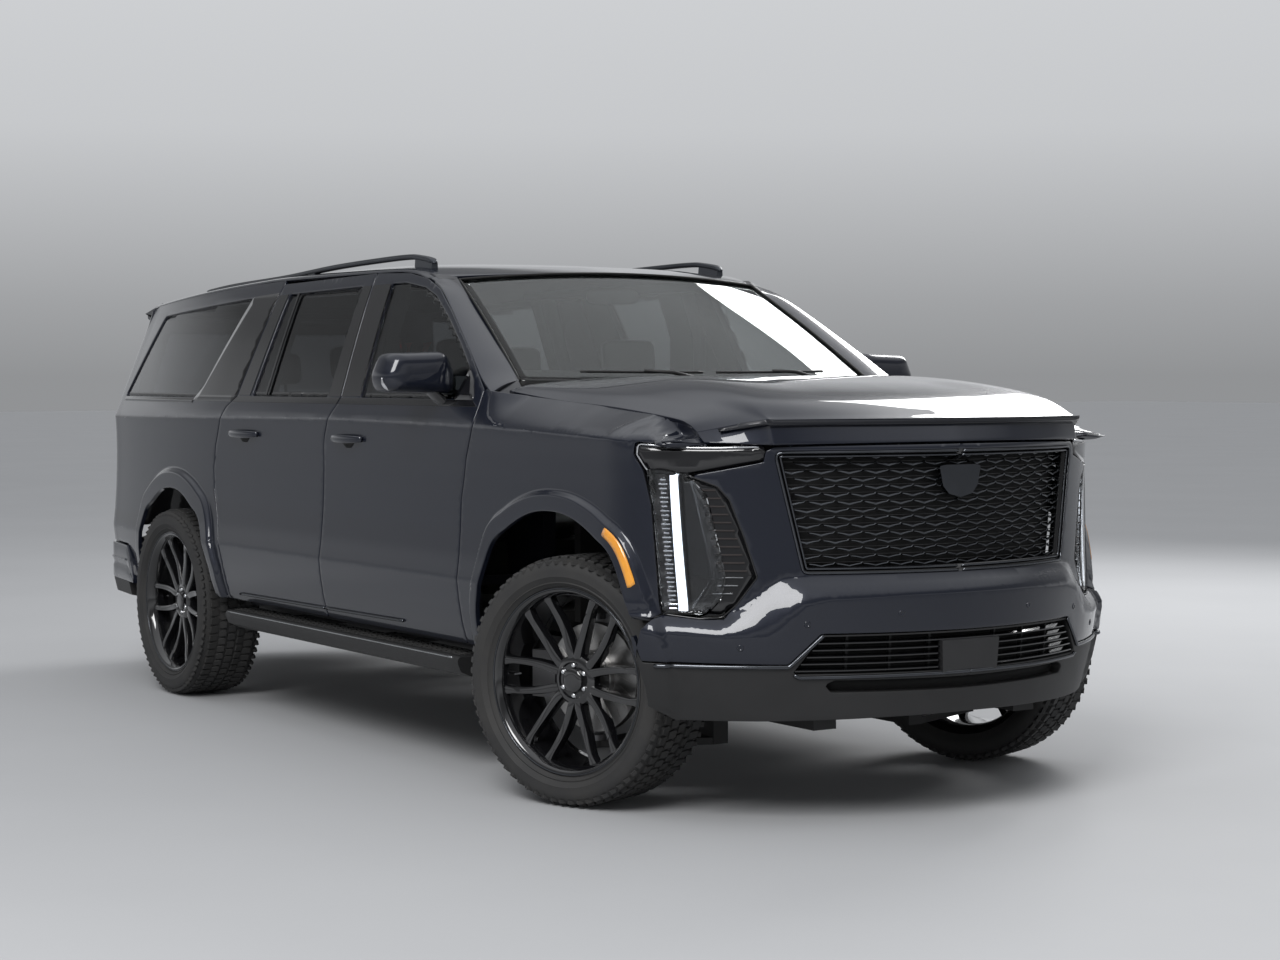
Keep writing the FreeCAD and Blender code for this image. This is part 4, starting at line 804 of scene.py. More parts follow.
def sunk(shell, depth, side):
    """A shell with every point at least a depth beneath the skin, on one side of the car."""
    points = np.vstack(shell.points) * (side, 1, 1)
    x = points[:, 0]
    t = np.array([loop_length_at(y, min(max(z, 331), 1899), "side") if abs(y) < 2450 else -1
                  for _, y, z in points])
    z = np.clip(points[:, 2], 331, 1899)
    surface = skin_raw(np.maximum(t, 0), z)
    limit = surface[:, 0] - depth
    low = (t > 0) & (x > limit) & (x > 500)
    points[low, 0] = limit[low]
    other = Shell()
    other.add(points * (side, 1, 1), shell.faces)
    return other

# %% [markdown]
# ## Doors
# A front door is one pressed skin from the sill to its window frame. The window is a hole whose
# edge turns in deeper, to the glass. The black trims on the pillars sit on the skin.

# %% Door outlines, drawn in side view (y, z)
B_SEAM = [(-122, 1850), (-128, 1805, 20), (-214, 1356, 16), (-118, 1183, 150), (-98, 478)]
REAR_SEAM = [(755, 1834), (762, 1800), (812, 1356, 24), (885, 1315, 40), (925, 1244, 60), (985, 1140, 60),
             (1010, 1040, 60), (1000, 950, 60), (945, 800, 80), (905, 660, 80), (890, 478)]
FRONT_SEAM = [(-1252, 478), (-1252, 996, 90), (-1292, 1150, 90), (-1350, 1263, 20), (-1349, 1390)]
DOOR_TOP = [(-1144, 1528), (-889, 1681), (-728, 1768), (-592, 1812), (-415, 1840)]


def moved(points, distance):
    """An outline's points moved along y; a point may carry its own corner radius."""
    return [(p[0] + distance, *p[1:]) for p in points]


FRONT_DOOR = FRONT_SEAM + DOOR_TOP + moved(B_SEAM, 2)
REAR_DOOR = moved(B_SEAM[::-1], 7) + REAR_SEAM
FRONT_WINDOW = [(-1300, 1356), (-1240, 1432), (-1065, 1549), (-896, 1651), (-716, 1742), (-597, 1778),
                (-409, 1803, 60), (-285, 1802), (-376, 1356)]
REAR_WINDOW = [(-85, 1356), (-37, 1800), (660, 1787), (664, 1356)]
QUARTER_WINDOW = [(1235, 1394), (1040, 1782), (2205, 1727, 40), (2425, 1345), (1300, 1347)]


def door_piece(outline, window, side):
    """One door's skin, seen from the left; mirrored for the right."""
    line = on_skin(outline, "side", 9)
    t = line[:, 0]
    shell = panel(line, skin, [on_skin(window, "side", 16)], 26, crease_rows(t.min(), t.max()),
                  avoid=beside_arch, hole_depth=20)
    return on_side(shell, side)


for hand, side in SIDES:
    for place, outline, window in (("front", FRONT_DOOR, FRONT_WINDOW), ("rear", REAR_DOOR, REAR_WINDOW)):
        body = "%s_door_%s" % (place, hand)
        upper = "%s_door_upper_%s" % (place, hand)
        make("%s_door_skin_%s" % (place, hand), door_piece(outline, window, side), PAINT, body,
             replaces=(body, upper))
        inner = sunk(node_shell(body), 6.0, side).join(sunk(node_shell(upper), 18.0, side))
        # The inner walls wear the darker body paint, painted shade under the door skin.
        make("%s_door_shell_%s" % (place, hand), inner, SHADED_JAMB_PAINT, body, sharp=35)
print("doors:", len(PIECES["front_door_skin_left"].data.polygons), "faces in a front skin")

# %% [markdown]
# ## Fenders, quarter panels and the nose
# These panels use the same skin. An outline may be drawn partly in side view and partly from the
# nose or the tail, because a corner panel shows in both.

# %% Corner panels
def laid(*runs, step=12):
    """One closed outline from runs, each drawn in its own view: (view, points, corner radius)."""
    lines = []
    for view, points, radius in runs:
        line = spaced(round_corners(points, radius, False), step, False)
        lines.append(np.array([(loop_length_at(a, z, view), z) for a, z in line]))
    kept = [lines[0]]
    for line in lines[1:]:
        skip = 1 if np.linalg.norm(line[0] - kept[-1][-1]) < 3 else 0
        kept.append(line[skip:])
    outline = np.vstack(kept)
    return outline[:-1] if np.linalg.norm(outline[0] - outline[-1]) < 3 else outline


def arch_edge(end, front_z, rear_z):
    """The wheel opening's edge in side view, from a height ahead of the wheel to one behind it."""
    axle = ARCHES[end][0]
    angles = np.linspace(math.pi + 0.4, -0.4, 120)
    r = arch_radii(end, angles)[0]
    y, z = axle + r * np.cos(angles), HUB_Z + r * np.sin(angles)
    keep = np.where(y < axle, z > front_z, z > rear_z)
    return [tuple(p) for p in np.stack([y, z], axis=1)[keep]]


HOOD_SEAM = [(-1356, 1393), (-1416, 1386), (-1578, 1368), (-1952, 1341), (-2275, 1311), (-2385, 1290),
             (-2429, 1280), (-2479, 1250), (-2526, 1216)]
LAMP_REAR = [(-2374, 1229), (-2368, 1186), (-2396, 1139), (-2417, 1028), (-2427, 901), (-2441, 759),
             (-2452, 672)]
FENDER_EDGE = moved(FRONT_SEAM[:-1], -6)
fender_line = laid(
    ("side", FENDER_EDGE + HOOD_SEAM, 8), ("side", HOOD_SEAM[-1:] + LAMP_REAR, 8),
    ("side", LAMP_REAR[-1:] + arch_edge("front", 672, 478), 2), ("side", [(-1385, 478), (-1258, 478)], 4))
t = fender_line[:, 0]
fender = panel(fender_line, skin, step=26, roll=3, depth=18, avoid=beside_arch,
               extra=np.vstack([crease_rows(t.min(), t.max()), arch_rows("front")]))
FENDER_TOP_Y = [-2600, -2524, -2478, -2426, -2340, -2040, -1728]
FENDER_TOP_X = [790, 784, 780, 781, 785, 817, 849]


def met_by_fender(points):
    """Pulls the top of a fender out to the edge of the hood, fading out below it."""
    p = np.array(points, float)
    seam = np.interp(p[:, 1], [y for y, z in HOOD_SEAM[::-1]], [z for y, z in HOOD_SEAM[::-1]])
    on_seam = np.array([skin_raw(loop_length_at(y, z, "side"), z)[0] for y, z in zip(p[:, 1], seam)])
    wanted = np.interp(p[:, 1], FENDER_TOP_Y, FENDER_TOP_X)
    fade = np.clip(1 - np.abs(seam - p[:, 2]) / 75, 0, 1)
    ends = np.clip((-1760 - p[:, 1]) / 250, 0, 1)
    p[:, 0] += np.where(p[:, 2] > 1150, (wanted - on_seam) * ease(fade) * ends, 0)
    return p


fender.points = [met_by_fender(np.vstack(fender.points))]
make("fender_skins", fender.both(), PAINT, "body", replaces=("fender_left", "fender_right"))

QUARTER_FRONT = moved(REAR_SEAM[::-1], 5)
QUARTER_ROOF = [(760, 1850), (1100, 1841), (1690, 1818), (2420, 1782)]
TAIL_EDGE = [(637, 1790), (776, 1242), (758, 640)]
tail_lamp_hole = laid(("side", [(2548, 704), (2548, 1250), (2548, 1632)], 2),
                      ("tail", [(704, 1634), (790, 1250), (776, 706)], 4))
quarter_line = laid(
    ("side", QUARTER_FRONT + QUARTER_ROOF, 8), ("tail", TAIL_EDGE, 8),
    ("side", [(2700, 640), (2330, 637), (2240, 637), (2170, 588), (2140, 500)], 10),
    ("side", [(2130, 478), (2030, 478)], 2), ("side", arch_edge("rear", 478, 478)[::-1], 2),
    ("side", [(960, 478), (895, 478)], 2))
t = quarter_line[:, 0]
quarter = panel(quarter_line, skin, [on_skin(QUARTER_WINDOW, "side", 14), tail_lamp_hole],
                step=26, roll=3, depth=18, avoid=beside_arch, hole_depth=16,
                extra=np.vstack([crease_rows(t.min(), t.max()), arch_rows("rear")]))
make("quarter_skins", quarter.both(), PAINT, "body",
     replaces=("quarter_panel_left", "quarter_panel_right"))

LAMP_INNER = [(652, 1165), (842, 1121), (770, 1086), (740, 1046), (701, 921), (668, 800), (727, 712),
              (760, 669), (817, 668), (906, 680)]
STRIP_TOP = [(972, 534), (608, 526), (517, 624), (260, 623), (0, 622)]
nose_foot = [(-2455, 668)] + arch_edge("front", 536, 669)[1::-1] + [(-2412, 640), (-2432, 540)]
nose_line = with_mirror(laid(
    ("nose", [(0, 1219), (300, 1218), (622, 1214), (646, 1200), (652, 1165)], 6),
    ("nose", LAMP_INNER, 10), ("side", nose_foot, 4), ("nose", STRIP_TOP, 14)))
hole_half = laid(("nose", [(0, 1200), (300, 1200), (626, 1199), (544, 808), (0, 806)], 24))
hole_line = np.vstack([hole_half, (hole_half * (-1, 1))[::-1][1:-1]])


def shelf_rows():
    """Points along the bumper's shelf, so that its edge comes out crisp."""
    rows = []
    for x in np.arange(0, 960, 16.0):
        top, edge = np.interp(x, SHELF_X, SHELF_TOP), np.interp(x, SHELF_X, SHELF_EDGE)
        for z in (top + 4, top - 3, top - 0.35 * (top - edge), top - 0.7 * (top - edge), edge + 3,
                  edge - 4, edge - 20, edge - 45):
            t = loop_length_at(x, z, "nose")
            rows += [(t, z), (-t, z)]
    return np.array(rows)


nose = panel(nose_line, skin, [hole_line], step=24, roll=3, depth=24, extra=shelf_rows(), hole_depth=30)
make("nose_cover", nose, PAINT, "body", replaces=("front_bumper",))
print("fender, quarter and nose panels: %d, %d and %d faces"
      % (len(fender.faces), len(quarter.faces), len(nose.faces)))

# %% [markdown]
# ## Hood and roof
# The hood is drawn by rows of guide points from the windscreen to the lip: its middle, a point half
# way, the raised crease, the ridge that runs to the lamps, and the seam. Smooth curves join them.

# %% Hood
def sheet(grid):
    """A shell from a grid of points in space."""
    n, m = grid.shape[:2]
    faces = [(i * m + j, i * m + j + 1, (i + 1) * m + j + 1, (i + 1) * m + j)
             for i in range(n - 1) for j in range(m - 1)]
    return Shell().add(grid.reshape(-1, 3), faces)


def grid_normals(grid):
    """Outward or inward normals at each point of a grid."""
    a, b = np.gradient(grid, axis=0), np.gradient(grid, axis=1)
    n = np.cross(a, b)
    return n / np.maximum(np.linalg.norm(n, axis=-1), 1e-9)[..., None]


def grid_rim(rows, cols):
    """Row and column numbers once round the edge of a grid."""
    return ([(0, j) for j in range(cols)] + [(i, cols - 1) for i in range(1, rows)]
            + [(rows - 1, j) for j in range(cols - 2, -1, -1)] + [(i, 0) for i in range(rows - 2, 0, -1)])


def thick_sheet(grid, thickness, towards):
    """A closed sheet: the grid, its copy moved by a thickness towards a direction, and edges."""
    n = grid_normals(grid)
    if (n.reshape(-1, 3).mean(axis=0) @ np.array(towards)) < 0:
        n = -n
    inner = grid + n * thickness
    rows, cols = grid.shape[:2]
    outer_ids = np.arange(rows * cols).reshape(rows, cols)
    inner_ids = outer_ids + rows * cols
    shell = sheet(grid)
    shell.add(inner.reshape(-1, 3), [])
    for i in range(rows - 1):
        for j in range(cols - 1):
            shell.faces.append((inner_ids[i, j], inner_ids[i + 1, j], inner_ids[i + 1, j + 1],
                                inner_ids[i, j + 1]))
    rim = grid_rim(rows, cols)
    for a, b in zip(rim, rim[1:] + rim[:1]):
        shell.faces.append((outer_ids[b], outer_ids[a], inner_ids[a], inner_ids[b]))
    return outward(shell)


# Guides of the left half, (x, y, z), from the windscreen to the lip and the seam under it.
HOOD_ROWS = [
    [(0, -1494, 1430), (280, -1488, 1431), (520, -1470, 1430), (785, -1446, 1410), (880, -1432, 1387)],
    [(0, -1760, 1437), (270, -1757, 1437), (524, -1750, 1434), (758, -1736, 1394), (852, -1728, 1356)],
    [(0, -2044, 1434), (270, -2044, 1433), (530, -2044, 1429), (727, -2042, 1379), (822, -2040, 1335)],
    [(0, -2330, 1409), (285, -2329, 1408), (560, -2328, 1403), (693, -2344, 1350), (790, -2340, 1303)],
    [(0, -2590, 1368), (300, -2582, 1367), (588, -2560, 1361), (676, -2520, 1324), (786, -2426, 1285)],
    [(0, -2777, 1299), (310, -2752, 1299), (602, -2674, 1298), (657, -2640, 1296), (785, -2474, 1258)],
    [(0, -2819, 1228), (310, -2786, 1227), (602, -2697, 1224), (654, -2661, 1223), (786, -2516, 1229)],
]
guides = np.array(HOOD_ROWS, float)
rows = [*guides[:5], 0.08 * guides[4] + 0.92 * guides[5], 0.98 * guides[5] + 0.02 * guides[6],
        0.8 * guides[5] + 0.2 * guides[6], guides[6]]
rows[5][:, 2] += 2
across = np.array([smooth_through(row, 9) for row in rows])
half_grid = np.stack([smooth_through(across[:, j], 8) for j in range(across.shape[1])], axis=1)
hood_grid = np.concatenate([half_grid[:, ::-1][:, :-1] * (-1, 1, 1), half_grid], axis=1)


def rolled_edges(grid, roll=3.0, depth=14.0):
    """A sheet whose outer edges roll over and turn down along the normals."""
    n = grid_normals(grid)
    rows, cols = grid.shape[:2]
    shell = sheet(grid)
    if n.reshape(-1, 3).mean(axis=0)[2] < 0:
        n = -n
        shell.faces = [f[::-1] for f in shell.faces]
    rim = grid_rim(rows, cols)
    at = np.array([grid[i, j] for i, j in rim])
    up = np.array([n[i, j] for i, j in rim])
    run = np.roll(at, -1, axis=0) - np.roll(at, 1, axis=0)
    run /= np.linalg.norm(run, axis=1)[:, None]
    out = np.cross(run, up)
    centre = grid.reshape(-1, 3).mean(axis=0)
    out *= np.sign(np.einsum("ij,ij->i", out, at - centre))[:, None]
    previous = [i * cols + j for i, j in rim]
    for reach, drop in ((0.6, 0.1), (0.9, 0.4), (1.0, 1.0), (1.0, depth / roll)):
        start = shell.count
        shell.add(at + out * roll * reach - up * roll * drop, [])
        now = list(range(start, shell.count))
        shell.faces += strip(previous, now)
        previous = now
    return shell


def oriented(shell):
    """Faces made to agree with their neighbours and to point outward."""
    work = bmesh.new()
    points = np.vstack(shell.points)
    verts = [work.verts.new(p) for p in points]
    for face in shell.faces:
        if len(set(face)) == len(face):
            try:
                work.faces.new([verts[i] for i in face])
            except ValueError:
                pass
    bmesh.ops.recalc_face_normals(work, faces=work.faces)
    work.verts.index_update()
    other = Shell()
    other.add([v.co for v in work.verts], [[v.index for v in f.verts] for f in work.faces])
    work.free()
    return other


def facing(shell, way):
    """An open sheet turned so that its mean normal points a wanted way."""
    shell = oriented(shell)
    points = np.vstack(shell.points)
    total = np.zeros(3)
    for face in shell.faces:
        p = points[list(face)]
        for k in range(1, len(face) - 1):
            total += np.cross(p[k] - p[0], p[k + 1] - p[0])
    if total @ np.array(way) < 0:
        shell.faces = [f[::-1] for f in shell.faces]
    return shell


hood_skin = facing(rolled_edges(hood_grid), (0, 0, 1))
make("hood_skin", hood_skin, PAINT, "hood", replaces=("hood",))
inner = hood_grid - grid_normals(hood_grid) * np.sign(grid_normals(hood_grid)[..., 2:3]) * 22
inner = inner[2:-4, 3:-3]
# The hood's underside wears the darker body paint, painted shade beneath the hood.
make("hood_inner", thick_sheet(inner, 3.0, (0, 0, -1)), SHADED_JAMB_PAINT, "hood")
print("hood: %d faces" % len(hood_skin.faces))

# %% Roof and windscreen pillars
ROOF_LINE = [(-592, 1815), (-415, 1843), (-152, 1852), (749, 1852), (1100, 1843), (1690, 1820),
             (2420, 1784), (2470, 1781)]
CROWN = [(-760, 1842), (-600, 1862), (-415, 1882), (-56, 1897), (743, 1886), (1690, 1852), (2500, 1816)]
edge_track = curve_through(ROOF_LINE, 30)
crown_track = curve_through(CROWN, 30)
roof_rows = []
EDGE_SPAN, CROWN_SPAN = (-592, 2470), (-752, 2502)
for share in np.r_[0, 0.004, 0.012, np.linspace(0.03, 1, 70)]:
    ye = EDGE_SPAN[0] + share * (EDGE_SPAN[1] - EDGE_SPAN[0])
    ze = np.interp(ye, edge_track[:, 0], edge_track[:, 1])
    yc = CROWN_SPAN[0] + share * (CROWN_SPAN[1] - CROWN_SPAN[0])
    zc = np.interp(yc, crown_track[:, 0], crown_track[:, 1])
    start = skin_raw(loop_length_at(ye, ze, "side"), ze)
    lean = skin_raw(loop_length_at(ye, ze + 12, "side"), ze + 12) - start
    lean /= np.linalg.norm(lean)
    front = math.exp(-share * 60)
    first = start + lean * 34
    second = np.array([start[0] * 0.62, start[1] + (yc - start[1]) * 0.55, zc + 1.5])
    if share < 0.03:
        corner = np.array([684, -690, 1812.0])
        first = first * (1 - front) + (start * 0.5 + corner * 0.5 + (0, 0, 5)) * front
        second = second * (1 - front) + np.array([430, -735, 1838.0]) * front
    s = np.linspace(0, 1, 36)[:, None] ** 1.15
    end = np.array([0, yc, zc])
    row = ((1 - s) ** 3 * start + 3 * s * (1 - s) ** 2 * first + 3 * s ** 2 * (1 - s) * second + s ** 3 * end)
    roof_rows.append(row)
roof_half = np.array(roof_rows)
roof_grid = np.concatenate([roof_half, (roof_half * (-1, 1, 1))[:, ::-1][:, 1:]], axis=1)
roof_skin = facing(rolled_edges(roof_grid, 2.5, 12), (0, 0, 1))
make("roof_skin", roof_skin, PAINT, "body", replaces=("roof_panel",))

SCREEN_SIDE = [(785, -1333, 1424), (764, -1215, 1498), (736, -1030, 1608), (706, -850, 1712),
               (681, -690, 1807)]
DOOR_SIDE = [(-1412, 1380), (-1300, 1436), (-1148, 1533), (-895, 1687), (-732, 1775), (-592, 1816)]
screen_edge = smooth_through(SCREEN_SIDE, 12)
door_edge = curve_through(DOOR_SIDE, 8)
pillar_rows = []
for s in np.linspace(0, 1, 50):
    inner = np.array([np.interp(s, np.linspace(0, 1, len(screen_edge)), screen_edge[:, k])
                      for k in range(3)])
    y = np.interp(s, np.linspace(0, 1, len(door_edge)), door_edge[:, 0])
    z = np.interp(s, np.linspace(0, 1, len(door_edge)), door_edge[:, 1])
    outer, normal = skin(loop_length_at(y, z, "side"), z)
    middle = (inner + outer) / 2 + normal * 17 + np.array([0, -6, 8]) * (1 - s)
    k = np.linspace(0, 1, 12)[:, None]
    pillar_rows.append((1 - k) ** 2 * outer + 2 * k * (1 - k) * middle + k ** 2 * inner)
pillar = facing(rolled_edges(np.array(pillar_rows), 2.5, 10), (1, -0.5, 0.5))
make("pillar_skins", pillar.both(), PAINT, "body")


SCREEN_HALF_FOOT, SCREEN_HALF_TOP = 785, 681


def screen_point(u, v, lift=0.0):
    """A point of the windscreen: u from -1 to 1 across, v from 0 at the foot to 1 at the top."""
    side = np.abs(u) ** 2
    half = SCREEN_HALF_FOOT + v * (SCREEN_HALF_TOP - SCREEN_HALF_FOOT)
    y = (-1444 + side * 111) * (1 - v) + (-752 + side * 62) * v
    z = (1414 + side * 10) * (1 - v) + (1840 - side * 33) * v
    bulge = 9 * np.sin(math.pi * v)
    return np.stack([u * half, y - bulge * 0.52 - lift * 0.52, z + bulge * 0.85 + lift * 0.85], axis=-1)


def screen_patch(u0, u1, v0, v1, lift, cols=48, rows=24):
    """A rectangle of the windscreen."""
    u, v = np.meshgrid(np.linspace(u0, u1, cols), np.linspace(v0, v1, rows))
    return screen_point(u, v, lift)


make("windscreen_pane", thick_sheet(screen_patch(-0.995, 0.995, 0.0, 0.99, -3), 4.5, (0, 0.5, -0.8)),
     SCREEN, "body", replaces=("windscreen",))
BORDER_PATCHES = ((-0.997, 0.997, 0.955, 0.996), (-0.997, 0.997, 0.0, 0.10), (-0.997, -0.955, 0.1, 0.955),
                  (0.955, 0.997, 0.1, 0.955))
border = joined([thick_sheet(screen_patch(*patch, -8.5, 30, 16), 0.8, (0, 0.5, -0.8))
                 for patch in BORDER_PATCHES])
make("windscreen_border", border, SHADOW, "body")
rim = [screen_point(np.array(u), np.array(v), -1) for u, v in
       [(-1, s) for s in np.linspace(0, 1, 20)] + [(s, 1) for s in np.linspace(-0.95, 0.95, 30)]
       + [(1, s) for s in np.linspace(1, 0, 20)]]
make("windscreen_seal", tube(rim, 5.0, 8), SEAL, "body")
cowl_rows = []
for u in np.linspace(-1, 1, 60):
    foot = screen_point(np.array(u), np.array(0.015), -2)
    cowl_rows.append([foot, foot + (0, -5, -9), foot + (0, 2, -30), foot + (0, 10, -52), foot + (0, 16, -70)])
make("cowl_cover", thick_sheet(np.array(cowl_rows), 3.0, (0, 0, -1)), BLACK_PLASTIC, "body",
     replaces=("cowl",))
print("roof: %d faces" % len(roof_skin.faces))

# %% [markdown]
# ## Side glass and its black trims
# A pane is a closed slab that lies a little below the skin. The trims on the pillars and along the
# belt stand a little above it.

# %% Panes and trims
def pane(outline, surface, lift, thickness, step=40):
    """A closed slab under or over a surface."""
    loop = turned(outline)
    loose = net(loop.min(axis=0), loop.max(axis=0), step)
    loose = loose[inside(loose, loop)]
    loose = loose[~near_line(loose, loop, 8)]
    flat, faces, spans = fill([loop], loose)
    points, normals = surface(flat[:, 0], flat[:, 1])
    shell = Shell().add(points + normals * lift, faces)
    count = shell.count
    shell.add(points + normals * (lift - thickness), [f[::-1] for f in faces])
    rim = spans[0]
    shell.faces += [(rim[(i + 1) % len(rim)], rim[i], rim[i] + count, rim[(i + 1) % len(rim)] + count)
                    for i in range(len(rim))]
    return oriented(shell)


def grown_outline(points, distance):
    """An outline grown along its normals in its own view."""
    loop = turned(np.array([p[:2] for p in points], float), True)
    return [tuple(p) for p in set_in(loop, -distance)]


def side_piece(points, lift, thickness, radius=10, view="side", step=30):
    """A slab drawn in side view on the left skin."""
    return pane(on_skin(points, view, radius, 9), skin, lift, thickness, step)


for hand, side in SIDES:
    for place, window in (("front", FRONT_WINDOW), ("rear", REAR_WINDOW)):
        glass_piece = side_piece(grown_outline(window, 5), -9, 4, 14)
        make("%s_pane_%s" % (place, hand), on_side(glass_piece, side),
             WINDOW if place == "front" else PRIVACY, "%s_door_%s" % (place, hand),
             replaces=("%s_door_glass_%s" % (place, hand),))
quarter_pane = side_piece(grown_outline(QUARTER_WINDOW, 5), -7, 4, 14)
make("quarter_panes", quarter_pane.both(), PRIVACY, "body", replaces=("quarter_glass",))

B_TRIM_FRONT = [(-289, 1800), (-375, 1360), (-220, 1358), (-136, 1799)]
B_TRIM_REAR = [(-119, 1799), (-203, 1358), (-92, 1358), (-46, 1798)]
C_TRIM_DOOR = [(668, 1786), (682, 1358), (806, 1358), (757, 1784)]
C_TRIM_BODY = [(772, 1795), (823, 1354), (864, 1331), (1300, 1331), (1290, 1346), (1228, 1394), (1032, 1785)]
MID_BAR = [(555, 1788), (571, 1788), (525, 1358), (509, 1358)]
BELT_FRONT = [(-1290, 1352), (-217, 1353), (-204, 1329), (-1338, 1329)]
BELT_REAR = [(-203, 1353), (806, 1353), (850, 1329), (-190, 1329)]
BELT_BODY = [(1302, 1342), (2404, 1341), (2410, 1322), (1302, 1322)]


def strip_between(points, lift=2.2, thickness=5.0, rows=26, columns=5):
    """A smooth slab between two lines in side view: top and foot of one, foot and top of the other."""
    (ay, az), (by, bz), (cy, cz), (dy, dz) = points
    grid = []
    for s in np.linspace(0, 1, rows):
        row = []
        for u in np.linspace(0, 1, columns):
            y = (1 - u) * (ay + s * (by - ay)) + u * (dy + s * (cy - dy))
            z = (1 - u) * (az + s * (bz - az)) + u * (dz + s * (cz - dz))
            p, n = skin(np.array([loop_length_at(y, z, "side")]), np.array([z]))
            row.append(p[0] + n[0] * lift)
        grid.append(row)
    grid = np.array(grid)
    fit = np.linspace(-1, 1, rows)
    for j in range(columns):
        for k in (0, 1):
            grid[:, j, k] = np.polyval(np.polyfit(fit, grid[:, j, k], 3), fit)
    return thick_sheet(grid, thickness, (-1, 0, 0))


TRIMS = {"front_door_": (B_TRIM_FRONT, BELT_FRONT),
         "rear_door_": (B_TRIM_REAR, C_TRIM_DOOR, MID_BAR, BELT_REAR)}
for hand, side in SIDES:
    for body, outlines in TRIMS.items():
        whole = joined([strip_between(points) for points in outlines])
        make(body + "trims_" + hand, on_side(whole, side), GLOSS_BLACK, body + hand, sharp=50)
c_trim = side_piece(C_TRIM_BODY, 2.2, 4.5, 5).join(side_piece(BELT_BODY, 2.2, 4.5, 3))
make("quarter_trims", c_trim.both(), GLOSS_BLACK, "body")
print("panes and trims:", len(PIECES), "pieces so far")

# %% [markdown]
# ## Copies placed by Geometry Nodes
# Many small things repeat: the wings of the grille, lamp steps, tread blocks and nuts. One node tree
# puts a copy of a source shape on every point of a cloud, turned and scaled by the point's own data.

# %% The tree that places copies
def copies_tree():
    """Node tree: source copies on points, turned by "turn", sized by "size", made real, one surface."""
    tree = bpy.data.node_groups.new("Place copies", "GeometryNodeTree")
    for label, kind, way in (("Points", "Geometry", "INPUT"), ("Source", "Object", "INPUT"),
                             ("Surface", "Material", "INPUT"), ("Size spread", "Float", "INPUT"),
                             ("Copies", "Geometry", "OUTPUT")):
        tree.interface.new_socket(label, in_out=way, socket_type="NodeSocket" + kind)
    start, end = node_in(tree, "NodeGroupInput"), node_in(tree, "NodeGroupOutput")
    source = node_in(tree, "GeometryNodeObjectInfo")
    turn = node_in(tree, "GeometryNodeInputNamedAttribute", "FLOAT_VECTOR", Name="turn")
    size = node_in(tree, "GeometryNodeInputNamedAttribute", "FLOAT_VECTOR", Name="size")
    chance = node_in(tree, "FunctionNodeRandomValue", "FLOAT", Seed=7)
    low = node_in(tree, "ShaderNodeMath", "SUBTRACT")
    high = node_in(tree, "ShaderNodeMath", "ADD")
    for bound in (low, high):
        bound.inputs[0].default_value = 1.0
    scaled = node_in(tree, "ShaderNodeVectorMath", "SCALE")
    place = node_in(tree, "GeometryNodeInstanceOnPoints")
    real = node_in(tree, "GeometryNodeRealizeInstances")
    surface = node_in(tree, "GeometryNodeSetMaterial")
    wire(tree, (start.outputs["Points"], place.inputs["Points"]),
         (start.outputs["Source"], source.inputs["Object"]),
         (source.outputs["Geometry"], place.inputs["Instance"]),
         (turn.outputs["Attribute"], place.inputs["Rotation"]),
         (start.outputs["Size spread"], low.inputs[1]), (start.outputs["Size spread"], high.inputs[1]),
         (low.outputs[0], chance.inputs[2]), (high.outputs[0], chance.inputs[3]),
         (size.outputs["Attribute"], scaled.inputs[0]), (chance.outputs[1], scaled.inputs["Scale"]),
         (scaled.outputs[0], place.inputs["Scale"]),
         (place.outputs["Instances"], real.inputs["Geometry"]),
         (real.outputs["Geometry"], surface.inputs["Geometry"]),
         (start.outputs["Surface"], surface.inputs["Material"]),
         (surface.outputs["Geometry"], end.inputs["Copies"]))
    return tree


COPIES = copies_tree()


def copied(source, places, turns, sizes=None, spread=0.0):
    """A shell of copies: source shell, places in mm, Euler turns, sizes; grown by the node tree."""
    places = np.asarray(places, float)
    turns = np.asarray(turns, float)
    sizes = np.ones((len(places), 3)) if sizes is None else np.asarray(sizes, float)
    seed = bpy.data.meshes.new("copy_source")
    seed.from_pydata(np.vstack(source.points).tolist(), [], source.faces)
    seed_object = linked("copy_source", seed)
    cloud = bpy.data.meshes.new("copy_points")
    cloud.from_pydata(places.tolist(), [], [])
    for name, values in (("turn", turns), ("size", sizes)):
        field = cloud.attributes.new(name, "FLOAT_VECTOR", "POINT")
        field.data.foreach_set("vector", values.ravel())
    holder = linked("copy_points", cloud)
    nodes = holder.modifiers.new("copies", "NODES")
    nodes.node_group = COPIES
    ids = {item.name: item.identifier for item in COPIES.interface.items_tree if item.in_out == "INPUT"}
    nodes[ids["Source"]] = seed_object
    nodes[ids["Surface"]] = BLACK_PLASTIC
    nodes[ids["Size spread"]] = float(spread)
    bpy.context.view_layer.update()
    seen = holder.evaluated_get(bpy.context.evaluated_depsgraph_get())
    grown = bpy.data.meshes.new_from_object(seen)
    result = Shell().add([tuple(v.co) for v in grown.vertices], [tuple(f.vertices) for f in grown.polygons])
    bpy.data.objects.remove(holder)
    bpy.data.objects.remove(seed_object)
    for mesh in (grown, cloud, seed):
        bpy.data.meshes.remove(mesh)
    return result


def bevelled_box(x, y, z, edge=1.0):
    """A small box about the origin with chamfered long edges, its length along x."""
    e = min(edge, y / 2 * 0.9, z / 2 * 0.9)
    ring = [(-y / 2 + e, -z / 2), (y / 2 - e, -z / 2), (y / 2, -z / 2 + e), (y / 2, z / 2 - e),
            (y / 2 - e, z / 2), (-y / 2 + e, z / 2), (-y / 2, z / 2 - e), (-y / 2, -z / 2 + e)]
    return rings_to_shell([[(sx, a, b) for a, b in ring] for sx in (-x / 2, x / 2)])


